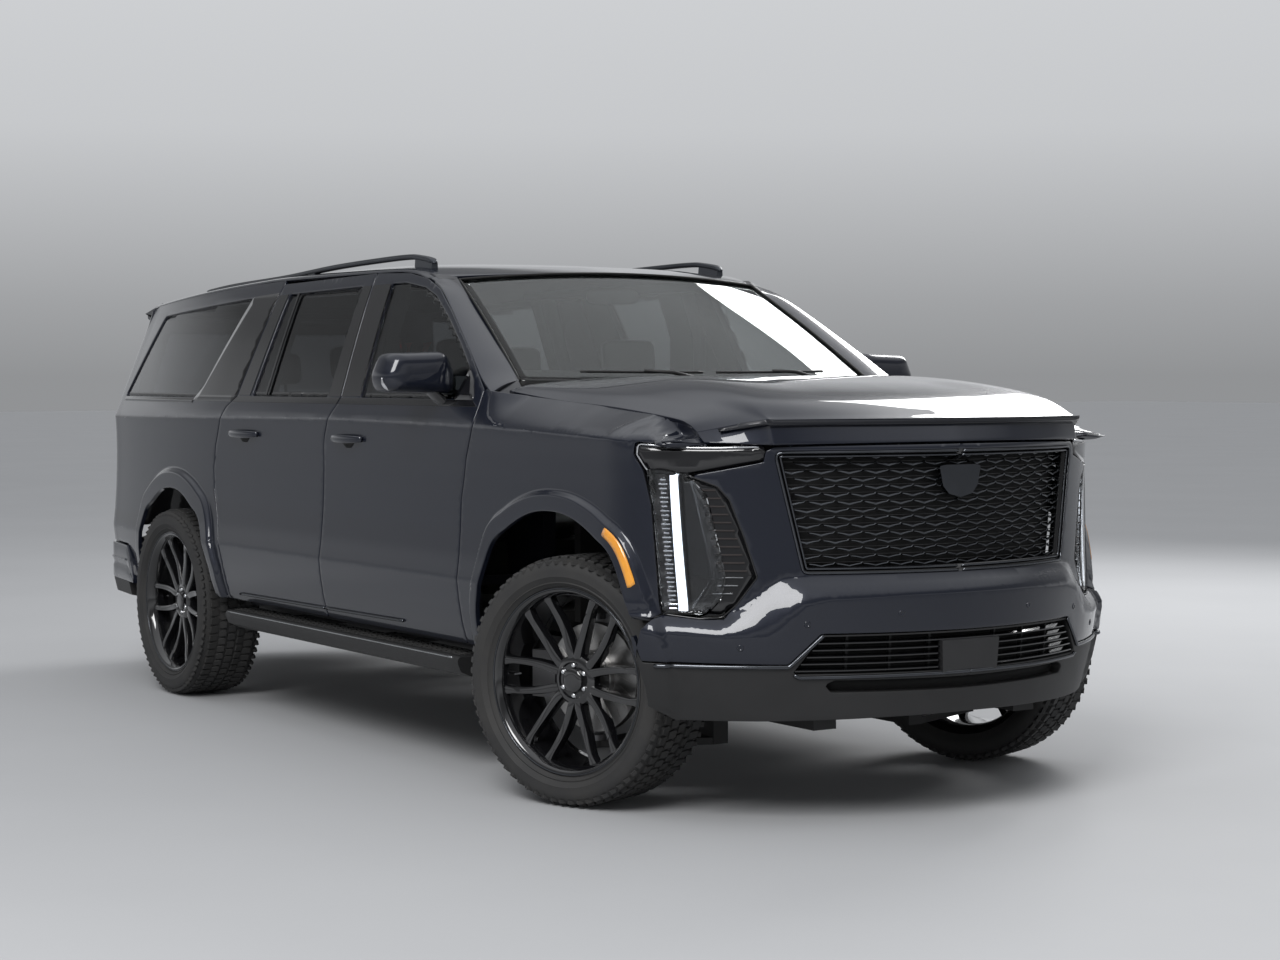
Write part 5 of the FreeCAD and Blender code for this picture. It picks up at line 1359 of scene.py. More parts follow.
def skin_at(x, z, view="nose"):
    """Skin point and normal at a place given from the nose, the tail or the side."""
    x, z = np.atleast_1d(x).astype(float), np.atleast_1d(z).astype(float)
    if view == "side":
        return skin(np.array([loop_length_at(a, b, view) for a, b in zip(x, z)]), z)
    t = np.array([math.copysign(loop_length_at(abs(a), b, view), a) for a, b in zip(x, z)])
    return skin(t, z)


def turn_from(normals, up=(0, 0, 1)):
    """Euler turns that lay +Y inward along minus the normal and keep X level."""
    turns = []
    for n in normals:
        back = Vector(-n)
        across = back.cross(Vector(up)).normalized()
        rise = across.cross(back).normalized()
        basis = Matrix((across, back, rise)).transposed()
        turns.append(tuple(basis.to_euler("XYZ")))
    return np.array(turns)


# %% [markdown]
# ## Grille
# Rows of wing-shaped bars, each row shifted half a wing to the last, stand in a dark opening with a
# double trim line round it.

# %% Grille lattice and frame
WING = [(-44, 7.5), (-38, 2.5), (-24, 0.5), (-8, -3.0), (0, -5.0), (8, -3.0), (24, 0.5), (38, 2.5), (44, 7.5)]
wing_rings = []
for x, z in WING:
    thick = 2.0 + 1.4 * (1 - abs(x) / 44)
    wing_rings.append([(x, -1.0, z), (x, 0.5, z + thick), (x, 12, z + thick * 0.5), (x, 12, z - thick * 0.5),
                       (x, 0.5, z - thick * 0.8)])
wing = rings_to_shell(wing_rings)
hole_in = set_in(turned(hole_line), 6)
WING_ROWS, WING_FOOT, WING_RISE, WING_SPAN = 17, 812, 24.6, 88.0
places, turns = [], []
for row in range(WING_ROWS):
    z = WING_FOOT + row * WING_RISE
    for column in range(-9, 10):
        x = (column + (row % 2) * 0.5) * WING_SPAN
        t = math.copysign(loop_length_at(abs(x), z, "nose"), x)
        if inside(np.array([[t, z]]), hole_in)[0]:
            p, n = skin(np.array([t]), np.array([z]))
            places.append(p[0] - n[0] * 22)
            turns.append(turn_from(n)[0])
lattice = copied(wing, places, turns)


def clipped_rows():
    """Thin level wires that tie the wings of each row together, cut at the frame."""
    wires = []
    for row in range(WING_ROWS):
        z = WING_FOOT + row * WING_RISE + 8.4
        t = np.linspace(hole_line[:, 0].min(), hole_line[:, 0].max(), 120)
        ok = inside(np.stack([t, np.full_like(t, z)], axis=1), hole_in)
        if ok.sum() < 4:
            continue
        t = t[ok]
        p, n = skin(t, np.full_like(t, z))
        wires.append(tube(p - n * 28, 1.3, 5))
    return joined(wires)


def along(line, distance, lift):
    """Points in space along a line moved inward and lifted off the skin."""
    loop = set_in(turned(line), distance)
    p, n = skin(loop[:, 0], loop[:, 1])
    return p + n * lift


make("grille_lattice", lattice, DARK_CHROME, "body", smooth=False, replaces=("grille",))
make("grille_wires", clipped_rows(), GLOSS_BLACK, "body")
make("grille_back", pane(hole_line, skin, -58, 3, 60), SHADOW, "body")
frame_lines = [tube(along(hole_line, distance, lift), radius, 8, closed=True)
               for distance, lift, radius in ((4, -1, 4.2), (17, -7, 3.6))]
make("grille_trim_lines", joined(frame_lines), DARK_CHROME, "body")
rings = [along(hole_line, *place) for place in ((0, -2), (8, -8), (22, -12), (24, -40), (2, -44))]
frame_wall = rings_to_shell(rings + rings[:1], cap=False)
make("grille_frame", frame_wall, GLOSS_BLACK, "body")
# A bare place for a badge, with nothing on it.
badge_loop = np.array([(-86, 1146), (-60, 1150), (60, 1150), (86, 1146), (72, 1082), (48, 1056), (0, 1044),
                       (-48, 1056), (-72, 1082)], float)
badge_line = np.array([(math.copysign(loop_length_at(abs(a), z, "nose"), a), z)
                       for a, z in spaced(round_corners(badge_loop, 5), 5)])
make("badge_place", pane(badge_line, skin, -4, 14, 12), DARK_CHROME, "body", sharp=40)
print("grille: %d wings" % len(places))

# %% [markdown]
# ## Headlamps
# A tall clear lens holds a white daytime bar, a column of bright steps and a louvred panel. A dark
# band joins the lamp to the grille.

# %% Headlamp pieces
LAMP_LINE = laid(
    ("nose", [(650, 1172), (647, 1204), (659, 1233), (770, 1211)], 3),
    ("side", [(-2516, 1212), (-2377, 1226)] + LAMP_REAR[1:], 8),
    ("nose", LAMP_INNER[1:][::-1], 8), step=9)
LENS_LINE = laid(("side", [(-2379, 1221), (-2373, 1186), (-2401, 1139), (-2422, 1028), (-2432, 901),
                           (-2446, 759), (-2457, 678)], 8),
                 ("nose", [(817, 676), (800, 680), (764, 730), (752, 800), (765, 888), (797, 1060),
                           (830, 1108), (868, 1138)], 20), step=9)
band_line = laid(("nose", [(651, 1172), (648, 1203), (660, 1231), (770, 1209)], 2),
                 ("side", [(-2512, 1209), (-2382, 1223), (-2378, 1188), (-2410, 1142)], 4),
                 ("nose", [(845, 1128)], 3), step=8)
make("lamp_band", pane(band_line, skin, -2, 10, 26).both(), GLOSS_BLACK, "body",
     replaces=("headlamps",))


def lifted_line(points, lift, radius, step=8, sides=8, round_to=10):
    """A bar that follows the skin along a line given as (view, points) runs."""
    line = laid(*[(view, run, round_to) for view, run in points], step=step)
    p, n = skin(line[:, 0], line[:, 1])
    return tube(p + n * lift, radius, sides)


edge_strip = lifted_line([("nose", [(664, 1213), (770, 1210)]), ("side", [(-2512, 1210), (-2384, 1222),
                          (-2380, 1188), (-2408, 1139)])], -1, 3.2)
make("lamp_edge_strips", edge_strip.both(), BRIGHT_CHROME, "body")
lens = pane(LENS_LINE, skin, -3, 3.5, 22)
make("lamp_lenses", lens.both(), LENS, "body")
back = pane(set_in(turned(LAMP_LINE), 2), skin, -46, 3, 24)
make("lamp_backs", back.both(), GLOSS_BLACK, "body")
wall_rings = [along(LAMP_LINE, *place) for place in ((0.5, -3), (0.5, -48), (4.5, -48), (4.5, -8))]
lamp_wall = rings_to_shell(wall_rings + wall_rings[:1], cap=False)
make("lamp_walls", lamp_wall.both(), GLOSS_BLACK, "body")


def blade(x_low, x_high, z_low, z_high, lift, thickness, rows=30, view="nose"):
    """A tall narrow slab between two slanted lines: x at the low and high ends, lifted off the skin."""
    rings = []
    for z in np.linspace(z_low, z_high, rows):
        share = (z - z_low) / (z_high - z_low)
        xs = np.array([x_low[0] + share * (x_high[0] - x_low[0]), x_low[1] + share * (x_high[1] - x_low[1])])
        p, n = skin_at(xs, [z, z], view)
        rings.append([p[0] + n[0] * lift, p[1] + n[1] * lift, p[1] + n[1] * (lift - thickness),
                      p[0] + n[0] * (lift - thickness)])
    return rings_to_shell(rings)


make("day_bars", blade((847, 869), (867, 885), 692, 1122, -10, 12).both(), DAY_LIGHT, "body")
make("day_bar_frames", blade((843, 873), (863, 889), 688, 1128, -14, 14).both(), DARK_CHROME, "body")
LAMP_STEPS, STEP_RISE = 30, 14.1
step_shape = bevelled_box(24, 15, 5.5, 1.2)
places, turns, sizes = [], [], []
for index in range(LAMP_STEPS):
    z = 700 + index * STEP_RISE
    share = (z - 692) / 430
    x = 882 + share * 19
    p, n = skin_at([x], [z])
    places.append(p[0] - n[0] * 19)
    turns.append(turn_from(n)[0] + (0.25, 0, 0))
    sizes.append((1.0 + 0.25 * math.sin(index * 2.1), 1, 1))
steps = copied(step_shape, places, turns, sizes)
make("lamp_steps", steps.both(), BRIGHT_CHROME, "body", smooth=False)
column_back = blade((872, 903), (888, 921), 690, 1124, -30, 5)
make("lamp_column_backs", column_back.both(), CAST, "body")
louvre_line = laid(("nose", [(842, 1121), (770, 1086), (741, 1043), (704, 921), (673, 801), (728, 715),
                             (768, 680), (800, 684), (842, 700), (787, 800), (800, 888), (826, 1050)], 10),
                   step=9)
make("lamp_louvre_backs", pane(louvre_line, skin, -13, 4, 24).both(), GLOSS_BLACK, "body")
dark, bright = [], []
for index in range(14):
    z = 1075 - index * 25.5
    left = np.interp(z, [715, 801, 921, 1043, 1086], [734, 684, 712, 750, 778])
    right = np.interp(z, [700, 800, 888, 1050, 1110], [828, 778, 790, 816, 820])
    p, n = skin_at([(left + right) / 2], [z])
    item = (p[0] - n[0] * 12, turn_from(n)[0], ((right - left) / 100, 1, 1))
    (bright if index > 10 else dark).append(item)
dark_slats = copied(bevelled_box(100, 8, 6, 1.5), *zip(*dark))
SLAT_BROWN = finish("lamp_slat_brown", (0.030, 0.024, 0.023), 0.32, grain=(80.0, 0.05))
make("lamp_slats", dark_slats.both(), SLAT_BROWN, "body", smooth=False)
places, turns, sizes = zip(*bright)
bright_slats = copied(bevelled_box(72, 10, 4, 1.2), np.array(places) + (0, 0, 5), turns, sizes)
make("lamp_bright_slats", bright_slats.both(), BRIGHT_CHROME, "body", smooth=False)
inner_edge = lifted_line([("nose", [(842, 1123), (770, 1088), (740, 1046), (701, 921), (670, 800), (727, 713),
                                    (762, 674), (817, 670), (900, 682)])], -1.5, 2.6)
make("lamp_inner_edges", inner_edge.both(), GLOSS_BLACK, "body")
print("headlamps: %d steps a side" % LAMP_STEPS)

# %% [markdown]
# ## Lower nose
# Under the painted bumper sit a dark band with the intake, its bars and a blank plate block, a trim
# strip, and a textured valance that comes down towards the ground.

# %% Intake, trim strip and valance
INTAKE_HALF = [(0, 621), (508, 622), (518, 622), (598, 500), (585, 490), (0, 488)]
intake_line = with_mirror(laid(("nose", INTAKE_HALF, 8), step=12))
lower_line = with_mirror(laid(
    ("nose", [(0, 617), (513, 618), (604, 521), (960, 529)], 10),
    ("side", [(-2434, 529), arch_edge("front", 360, 540)[13], (-2424, 440), (-2414, 384)], 4),
    ("nose", [(864, 341), (662, 343), (300, 352), (0, 356)], 10), step=14))
slot_line = with_mirror(laid(("nose", [(0, 470), (470, 474), (500, 460), (480, 436), (0, 432)], 6), step=12))
inner_intake = set_in(turned(intake_line), 5)
valance = panel(lower_line, skin, [inner_intake, slot_line], step=28, roll=3, depth=16, lift=-2.5,
                hole_depth=36)
make("valance", valance, BLACK_PLASTIC, "body")
make("intake_back", pane(intake_line, skin, -70, 3, 60), SHADOW, "body")
make("slot_back", pane(slot_line, skin, -40, 3, 60), SHADOW, "body")
bars = []
for z in (504, 526, 548, 570, 592):
    reach = np.interp(z, [490, 500, 618], [585, 596, 512]) - 6
    xs = np.linspace(-reach, reach, 90)
    p, n = skin_at(xs, np.full(90, float(z)))
    rings = [[q + m * -8 + (0, 0, 2.0), q + m * -8 - (0, 0, 2.0), q + m * -34 - (0, 0, 5.5),
              q + m * -34 + (0, 0, 5.5)] for q, m in zip(p, n)]
    bars.append(rings_to_shell(rings))
make("intake_bars", joined(bars), GLOSS_BLACK, "body", smooth=False)
posts = [blade((x - 4, x + 4), (x - 4, x + 4), 492, 618, -36, 16, 6)
         for x in (-430, -285, -140, 140, 285, 430)]
make("intake_posts", joined(posts), BLACK_PLASTIC, "body", smooth=False)
make("plate_block", blade((-112, 112), (-118, 118), 484, 590, 6, 26, 12), PLATE, "body", smooth=False)
nose_strip = lifted_line([("nose", [(946, 521), (606, 519), (512, 619)])], 0.5, 7.0, round_to=14)
make("nose_strips", nose_strip.both(), DARK_CHROME, "body")
low_strip = lifted_line([("nose", [(0, 485), (575, 485), (590, 494)])], 0.0, 6.5)
make("nose_low_strip", low_strip.both(), DARK_CHROME, "body")
sensor_shape = rings_to_shell([[(r * math.cos(a), y, r * math.sin(a)) for a in circle(24)]
                               for r, y in ((11, 6), (11, -1.0), (9.5, -2.2), (6, -2.2), (5.5, -1.2))])
spots = [(-739, 581), (739, 581), (-265, 684), (265, 684), (-560, 655), (560, 655)]
p, n = skin_at([s[0] for s in spots], [s[1] for s in spots])
make("nose_sensors", copied(sensor_shape, p, turn_from(n)), PAINT, "body")
print("lower nose: %d faces" % len(valance.faces))

# %% [markdown]
# ## Wheels
# One wheel is drawn about the X axis with its face along +X, and then placed four times. The tread
# is made of separate blocks that the node tree sets round the tyre; the rim has six pairs of spokes.

# %% Tyre, rim, nuts and brakes
STEER = math.radians(20)
KINGPIN_X, KINGPIN_TO_WHEEL, REAR_WHEEL_X = 815, 55, 870
TREAD_TURN = 68


def lathe(profile, count=144, closed=True):
    """A ring about the X axis from (x, radius) points."""
    angles = np.linspace(0, 2 * math.pi, count, endpoint=False)
    profile = np.array(profile, float)
    rings = [np.stack([profile[:, 0], profile[:, 1] * math.cos(a), profile[:, 1] * math.sin(a)], axis=1)
             for a in angles]
    shell = Shell()
    m = len(profile)
    shell.add(np.vstack(rings), [])
    for i in range(count):
        j = (i + 1) % count
        for k in range(m if closed else m - 1):
            n = (k + 1) % m
            shell.faces.append((i * m + k, j * m + k, j * m + n, i * m + n))
    return outward(shell)


TYRE_RING = [(-113, 306), (-116, 318), (-128, 336), (-138, 355), (-141, 372), (-138, 388), (-131, 399),
             (-120, 407), (-96, 411), (-40, 412.5), (40, 412.5), (96, 411), (120, 407), (131, 399),
             (138, 388), (141, 372), (139.5, 357), (140.5, 352), (138, 348), (129, 334), (131, 330),
             (127, 327), (117, 318), (113, 306), (100, 303), (-100, 303)]
# Tread columns: place across the tyre, block width, share of a step round it, tilt.
TREAD = ((-84, 40, 0.5, 0.16), (-43, 32, 0.0, -0.22), (-1, 34, 0.5, 0.0), (41, 32, 0.0, 0.22),
         (83, 40, 0.5, -0.16))
carcass = lathe(TYRE_RING, 168)
places, turns, sizes = [], [], []
for index in range(TREAD_TURN):
    step = 2 * math.pi / TREAD_TURN
    for x, wide, shift, tilt in TREAD:
        a = (index + shift) * step
        radius = 414.2 if abs(x) < 60 else 412.8
        places.append((x, radius * math.cos(a), radius * math.sin(a)))
        turns.append((a, 0, tilt))
        sizes.append((wide / 40, 1.0, 1))
corners = [(-20, -13), (-8, -16), (20, -12), (20, 13), (8, 16), (-20, 12)]
block = rings_to_shell([[(x, -6, z) for x, z in corners], [(x, 3.6, z) for x, z in corners],
                        [(x * 0.95, 5.4, z * 0.93) for x, z in corners]])
tread = copied(block, places, turns, sizes)
places, turns = [], []
for index in range(TREAD_TURN):
    for hand in (-1, 1):
        a = (index + (0.25 if hand > 0 else 0.75)) * 2 * math.pi / TREAD_TURN
        places.append((hand * 124, 401 * math.cos(a), 401 * math.sin(a)))
        turns.append((a, 0, -hand * 0.92))
lug = rings_to_shell([[(x, -7, z) for x, z in ((-17, -11), (17, -12), (17, 10), (-17, 11))],
                      [(x, 4.5, z) for x, z in ((-16, -10), (16, -11), (16, 9), (-16, 10))],
                      [(x, 6.5, z) for x, z in ((-13, -8.5), (14, -9.5), (14, 7.5), (-13, 8.5))]])
shoulder = copied(lug, places, turns)


SPOKE_START, SPOKE_END = 58, 291


def spoke(base, side_turn):
    """One spoke of a pair, from the hub out to the lip; its front face is ridged."""
    rings = []
    for s in np.linspace(0, 1, 14):
        r = SPOKE_START + s * (SPOKE_END - SPOKE_START)
        turn = math.radians(base + side_turn * (7.5 + 12.5 * s ** 0.8))
        centre = np.array([0, r * math.cos(turn), r * math.sin(turn)])
        out = np.array([0, math.cos(turn), math.sin(turn)])
        across = np.cross((1, 0, 0), out)
        front = 70 + 26 * s ** 0.7 - 9 * math.sin(math.pi * s) ** 2
        wide = 17.0 - 5.5 * s + 7 * max(0, s - 0.86) / 0.14
        deep = 46 - 16 * s
        ring = [(-wide, -deep), (-wide * 0.98, -10), (-wide * 0.80, -2.5),
                (-wide * 0.18 * side_turn - 1.5, 0.0), (wide * 0.80, -4.5), (wide * 0.98, -11), (wide, -deep)]
        rings.append([centre + across * u + np.array([front + d, 0, 0]) for u, d in ring])
    return rings_to_shell(rings)


rim_shell = lathe([(-112, 300), (-120, 305), (-124, 318), (-118, 318), (-112, 306), (-60, 301), (60, 301),
                   (108, 303), (114, 315), (119, 316.5), (121.5, 312), (119, 303), (112, 298), (104, 293),
                   (96, 288), (70, 286), (30, 282), (-60, 284), (-106, 292)], 168)
hub = lathe([(-12, 40), (-12, 88), (40, 90), (66, 84), (73, 74), (75, 62), (68, 58), (66, 42), (80, 39),
             (84, 34), (85, 20), (85, 0.5), (-12, 0.5)], 96)
spokes = joined([spoke(90 + 60 * pair, way) for pair in range(6) for way in (-1, 1)])
nut = rings_to_shell([[(x, r * math.cos(a), r * math.sin(a)) for a in circle(12)]
                      for x, r in ((-14, 9.5), (6, 9.5), (10, 8.0), (12.5, 4.5), (12.6, 2.0))])
nut_angles = np.arange(6) * math.pi / 3 + math.pi / 6
nuts = copied(nut, [(66, 51 * math.cos(a), 51 * math.sin(a)) for a in nut_angles], np.zeros((6, 3)))
lip_ring = lathe([(119.6, 311), (121.6, 314), (122.6, 312), (121.4, 308)], 168)
disc = lathe([(-62, 96), (-62, 184), (-60, 186), (-51, 186), (-49, 184), (-47, 184), (-45, 186), (-36, 186),
              (-34, 184), (-34, 92), (-12, 90), (-10, 86), (-10, 20), (-16, 20), (-16, 84), (-50, 86)], 120)
slot_angles = np.arange(24) * math.pi / 12
slots = copied(bevelled_box(1.2, 60, 3, 0.5),
               [(-33.4, 140 * math.cos(a), 140 * math.sin(a)) for a in slot_angles],
               [(a + 0.35, 0, 0) for a in slot_angles])


def turned_place(x, y, z, angle):
    """Placement matrix: a turn about Z, then a move."""
    return Matrix.Translation((x, y, z)) @ Matrix.Rotation(angle, 4, "Z")


valve = rings_to_shell([[(x, 268 + r * math.cos(a), r * math.sin(a)) for a in circle(8)]
                        for x, r in ((30, 3.5), (58, 3.5), (60, 2.8))])
for hand, side in SIDES:
    for place in ("front", "rear"):
        if place == "front":
            spot = turned_place(side * (KINGPIN_X + KINGPIN_TO_WHEEL * math.cos(STEER)),
                                FRONT_AXLE + side * KINGPIN_TO_WHEEL * math.sin(STEER), HUB_Z, STEER)
        else:
            spot = turned_place(side * REAR_WHEEL_X, REAR_AXLE, HUB_Z, 0)
        wheel = "%s_wheel_%s" % (place, hand)
        tyre_name, rim_name = "%s_tyre_%s" % (place, hand), "%s_rim_%s" % (place, hand)

        def put(shell):
            return on_side(shell, side).moved(spot)

        make("%s_tyre_body_%s" % (place, hand), put(carcass), RUBBER, wheel, sharp=40,
             replaces=(tyre_name,))
        make("%s_tread_%s" % (place, hand), put(tread.join(shoulder)), RUBBER, wheel, smooth=False)
        make("%s_rim_barrel_%s" % (place, hand), put(rim_shell), RIM_BLACK, wheel, sharp=45,
             replaces=(rim_name,))
        make("%s_spokes_%s" % (place, hand), put(spokes.join(hub)), RIM_BLACK, wheel, sharp=38)
        make("%s_nuts_%s" % (place, hand), put(nuts.join(valve)), BRIGHT_CHROME, wheel, sharp=40)
        make("%s_rim_lip_%s" % (place, hand), put(lip_ring), DARK_CHROME, wheel)
        make("%s_disc_%s" % (place, hand), put(disc.join(slots)), DISC_STEEL, wheel, sharp=35)
print("wheel: %d tread blocks, %d spoke faces" % (TREAD_TURN * 7, len(spokes.faces)))

# %% [markdown]
# ## Mirrors, handles, rails and steps
# The mirror head is a stack of rounded rings on an arm from the door. Handles are arched straps over
# a shallow cup. Roof rails and running boards follow lines measured on the photograph.

# %% Mirrors and handles
MIRROR = [(1196, 1380), (1209, 1440), (1174, 1521), (945, 1529), (912, 1452), (908, 1372)]
MIRROR_MIDDLE = np.array([1062, 1448.0])


def mirror_ring(y, share, count=64):
    """A rounded ring of the mirror head at one station."""
    outline = round_corners(MIRROR, 46)
    closed = np.vstack([outline, outline[:1]])
    length = np.r_[0, np.cumsum(np.linalg.norm(np.diff(closed, axis=0), axis=1))]
    marks = np.linspace(0, length[-1], count, endpoint=False)
    ring = np.stack([np.interp(marks, length, closed[:, 0]), np.interp(marks, length, closed[:, 1])], axis=1)
    ring = MIRROR_MIDDLE + (ring - MIRROR_MIDDLE) * share
    return [(x, y, z) for x, z in ring]


HEAD_RINGS = [(-1121, 0.42), (-1119, 0.62), (-1113, 0.76), (-1102, 0.87), (-1086, 0.945), (-1064, 0.985),
              (-1036, 1.0), (-1002, 0.99), (-992, 0.978), (-990, 0.955), (-992, 0.935), (-1001, 0.925)]
MIRROR_RINGS = [(-1002, 0.928), (-998, 0.915), (-997.4, 0.88)]
head = rings_to_shell([mirror_ring(y, share) for y, share in HEAD_RINGS])
mirror_glass = rings_to_shell([mirror_ring(y, share) for y, share in MIRROR_RINGS])
arm = []
for s in np.linspace(0, 1, 10):
    centre = np.array([858, -1062, 1298]) * (1 - s) + np.array([1000, -1052, 1388]) * s
    centre[2] -= 14 * math.sin(math.pi * s)
    half_y = 44 - 8 * s
    half_z = 22 + 6 * (1 - s)
    ring = [(centre[0], centre[1] + half_y * math.cos(a), centre[2] + half_z * math.sin(a))
            for a in circle(20)]
    arm.append(ring)
arm = rings_to_shell(arm)
tip_points = [(1120, 1391), (1160, 1392), (1188, 1398), (1201, 1414), (1206, 1436)]
tip = []
for x, z in smooth_through([(x, 0, z) for x, z in tip_points], 6)[:, [0, 2]]:
    tip.append((x - 2, -1074 + (1206 - x) * -0.16, z - 3))
tip_bar = tube(tip, np.interp(np.linspace(0, 1, len(tip)), [0, 0.2, 0.75, 1], [3, 8, 9, 3]), 10, squash=0.7)
sail = side_piece([(-1298, 1352), (-1246, 1426), (-1198, 1462), (-1150, 1352)], 3.0, 14, 6)
for hand, side in SIDES:
    body = "front_door_" + hand
    make("mirror_head_" + hand, on_side(head, side), PAINT, body, replaces=("mirror_" + hand,))
    make("mirror_glass_" + hand, on_side(mirror_glass, side), BRIGHT_CHROME, body, sharp=40)
    make("mirror_arm_" + hand, on_side(arm, side), GLOSS_BLACK, body, sharp=50)
    make("mirror_tip_" + hand, on_side(tip_bar, side), BRIGHT_CHROME, body)
    make("mirror_sail_" + hand, on_side(sail, side), GLOSS_BLACK, body)


HANDLE_Z = 1196


def handle(y_rear, y_front, z):
    """An arched strap handle with its cup, drawn on the left."""
    y = np.linspace(y_rear, y_front, 34)
    s = np.linspace(0, 1, 34)
    p, n = skin_at(y, np.full(34, float(z)), "side")
    lift = 5 + 27 * np.sin(math.pi * s) ** 0.55
    rings = []
    for q, m, h, u in zip(p, n, lift, s):
        tall = np.array([0, 0, 15.5 - 4.5 * abs(2 * u - 1) ** 3])
        rings.append([q + m * (h + 6.5 * math.cos(a)) + tall * math.sin(a) for a in circle(16)])
    strap = rings_to_shell(rings)
    middle = (y_rear + y_front) / 2
    cup = [(middle - 62, z + 4), (middle - 50, z - 18), (middle - 22, z - 36), (middle + 22, z - 36),
           (middle + 50, z - 18), (middle + 62, z + 4)]
    return strap, side_piece(cup, 1.2, 3, 14, step=10)


for hand, side in SIDES:
    for place, span in (("front", (-470, -212)), ("rear", (522, 806))):
        strap, cup = handle(*span, HANDLE_Z)
        body = "%s_door_%s" % (place, hand)
        make("%s_handle_%s" % (place, hand), on_side(strap, side), PAINT, body)
        make("%s_handle_cup_%s" % (place, hand), on_side(cup, side), SHADOW, body)

# %% Roof rails, running boards and lower strips
RAIL = [(-479, 1880), (-437, 1893), (-350, 1905), (-266, 1911), (-44, 1909), (426, 1897), (935, 1872),
        (1490, 1855), (1800, 1838), (1847, 1829)]
rail_line = smooth_through([(672 - 0.012 * max(0, y), y, z - 2) for y, z in RAIL], 10)
rail_rings = []
for i, q in enumerate(rail_line):
    s = i / (len(rail_line) - 1)
    end = min(1.0, min(s, 1 - s) / 0.06)
    half_x, half_z = 17 * (0.5 + 0.5 * end), 11 * (0.35 + 0.65 * end)
    rail_rings.append([q + (half_x * powered(math.cos(a), 0.7), 0, half_z * powered(math.sin(a), 0.7))
                       for a in circle(20)])
rail = rings_to_shell(rail_rings)
feet = []
for y0, y1 in ((-470, -330), (620, 690), (1700, 1840)):
    rings = []
    for y in np.linspace(y0, y1, 6):
        top = np.interp(y, rail_line[:, 1], rail_line[:, 2]) - 4
        x = np.interp(y, rail_line[:, 1], rail_line[:, 0])
        rings.append([(x - 13, y, top), (x + 13, y, top), (x + 17, y, top - 58), (x - 17, y, top - 58)])
    feet.append(rings_to_shell(rings))
feet = joined(feet)
make("rails", rail.both(), SATIN_RAIL, "body", replaces=("roof_rails",))
make("rail_feet", feet.both(), SATIN_RAIL, "body", smooth=False)

STEP = [(840, 372), (838, 425), (852, 436), (1000, 438), (1010, 434), (1015, 424), (1013, 410), (1000, 380),
        (960, 362), (880, 356)]
step_line = round_corners(STEP, 7)
board = []
for y in np.r_[-1274, -1268, -1240, np.linspace(-1180, 740, 40), 800, 825, 831]:
    squeeze = 1.0 if -1240 <= y <= 800 else 0.94
    board.append([(925 + (x - 925) * squeeze, y, 400 + (z - 400) * squeeze) for x, z in step_line])
board = rings_to_shell(board)
brackets = joined([rings_to_shell([[(x, y, 368), (x, y + 60, 368), (x, y + 60, 408), (x, y, 408)]
                                   for x in (520, 700, 862)]) for y in (-1050, -200, 650)])
make("running_boards", board.both(), BLACK_PLASTIC, "body", sharp=30, replaces=("side_steps",))
make("running_board_brackets", brackets.both(), UNDERBODY, "body", smooth=False)
edge = tube([(1011.5, y, 432) for y in np.linspace(-1238, 795, 60)], 3.6, 10)
make("running_board_edges", edge.both(), STEP_METAL, "body")
ridge = bevelled_box(9, 60, 3.4, 1.0)
places = [(x, y, 438.6) for y in np.arange(-1190, 790, 76.0) for x in (880, 902, 924, 946, 968)]
treads = copied(ridge, places, np.zeros((len(places), 3)))
make("running_board_treads", treads.both(), RUBBER, "body", smooth=False)
for hand, side in SIDES:
    for place, line in (("front", [(-782, 524), (-106, 517)]), ("rear", [(-86, 517), (757, 510)])):
        piece = lifted_line([("side", line)], 4.0, 5.5, step=30)
        make("%s_rocker_strip_%s" % (place, hand), on_side(piece, side), DARK_CHROME,
             "%s_door_%s" % (place, hand))
print("side pieces done:", len(PIECES))

# %% [markdown]
# ## Tail
# The tail panels are drawn as seen from behind, over one surface read from the same skin. The
# tailgate has its window, a spoiler above and a plate recess below. Nothing of it is in the photo.

# %% Tail surface and tailgate
STEP_X, STEP_Z = 10.0, 12.0
TAIL_X = np.arange(0, 960, STEP_X)
TAIL_Z = np.arange(335, 1895, STEP_Z)
TAIL_TABLE = []
for z in TAIL_Z:
    row = skin_raw(SAMPLE_T, z)[len(SAMPLE_T) // 2:]
    TAIL_TABLE.append(np.interp(TAIL_X, np.maximum.accumulate(row[::-1, 0]), row[::-1, 1]))
TAIL_TABLE = np.array(TAIL_TABLE)


def tail_depth(x, z):
    """y of the tail skin at places seen from behind."""
    i = np.clip((np.abs(x) - TAIL_X[0]) / STEP_X, 0, len(TAIL_X) - 1.001)
    j = np.clip((z - TAIL_Z[0]) / STEP_Z, 0, len(TAIL_Z) - 1.001)
    a, b = i.astype(int), j.astype(int)
    u, v = i - a, j - b
    return ((1 - u) * (1 - v) * TAIL_TABLE[b, a] + u * (1 - v) * TAIL_TABLE[b, a + 1]
            + (1 - u) * v * TAIL_TABLE[b + 1, a] + u * v * TAIL_TABLE[b + 1, a + 1])


def tail_surface(x, z):
    """Points and outward normals of the tail."""
    x, z = np.asarray(x, float), np.asarray(z, float)
    d = 12.0
    across = (tail_depth(x + d, z) - tail_depth(x - d, z)) / (2 * d)
    rise = (tail_depth(x, z + d) - tail_depth(x, z - d)) / (2 * d)
    n = np.stack([-across, np.ones_like(x), -rise], axis=1)
    return np.stack([x, tail_depth(x, z), z], axis=1), n / np.linalg.norm(n, axis=1)[:, None]


def tail_loop(points, radius=12, step=12):
    """A closed outline seen from behind."""
    return spaced(round_corners(points, radius), step)


def tail_box(half, low, high, radius):
    """A level rectangle seen from behind, with rounded corners."""
    return tail_loop([(-half, low), (-half, high), (half, high), (half, low)], radius)


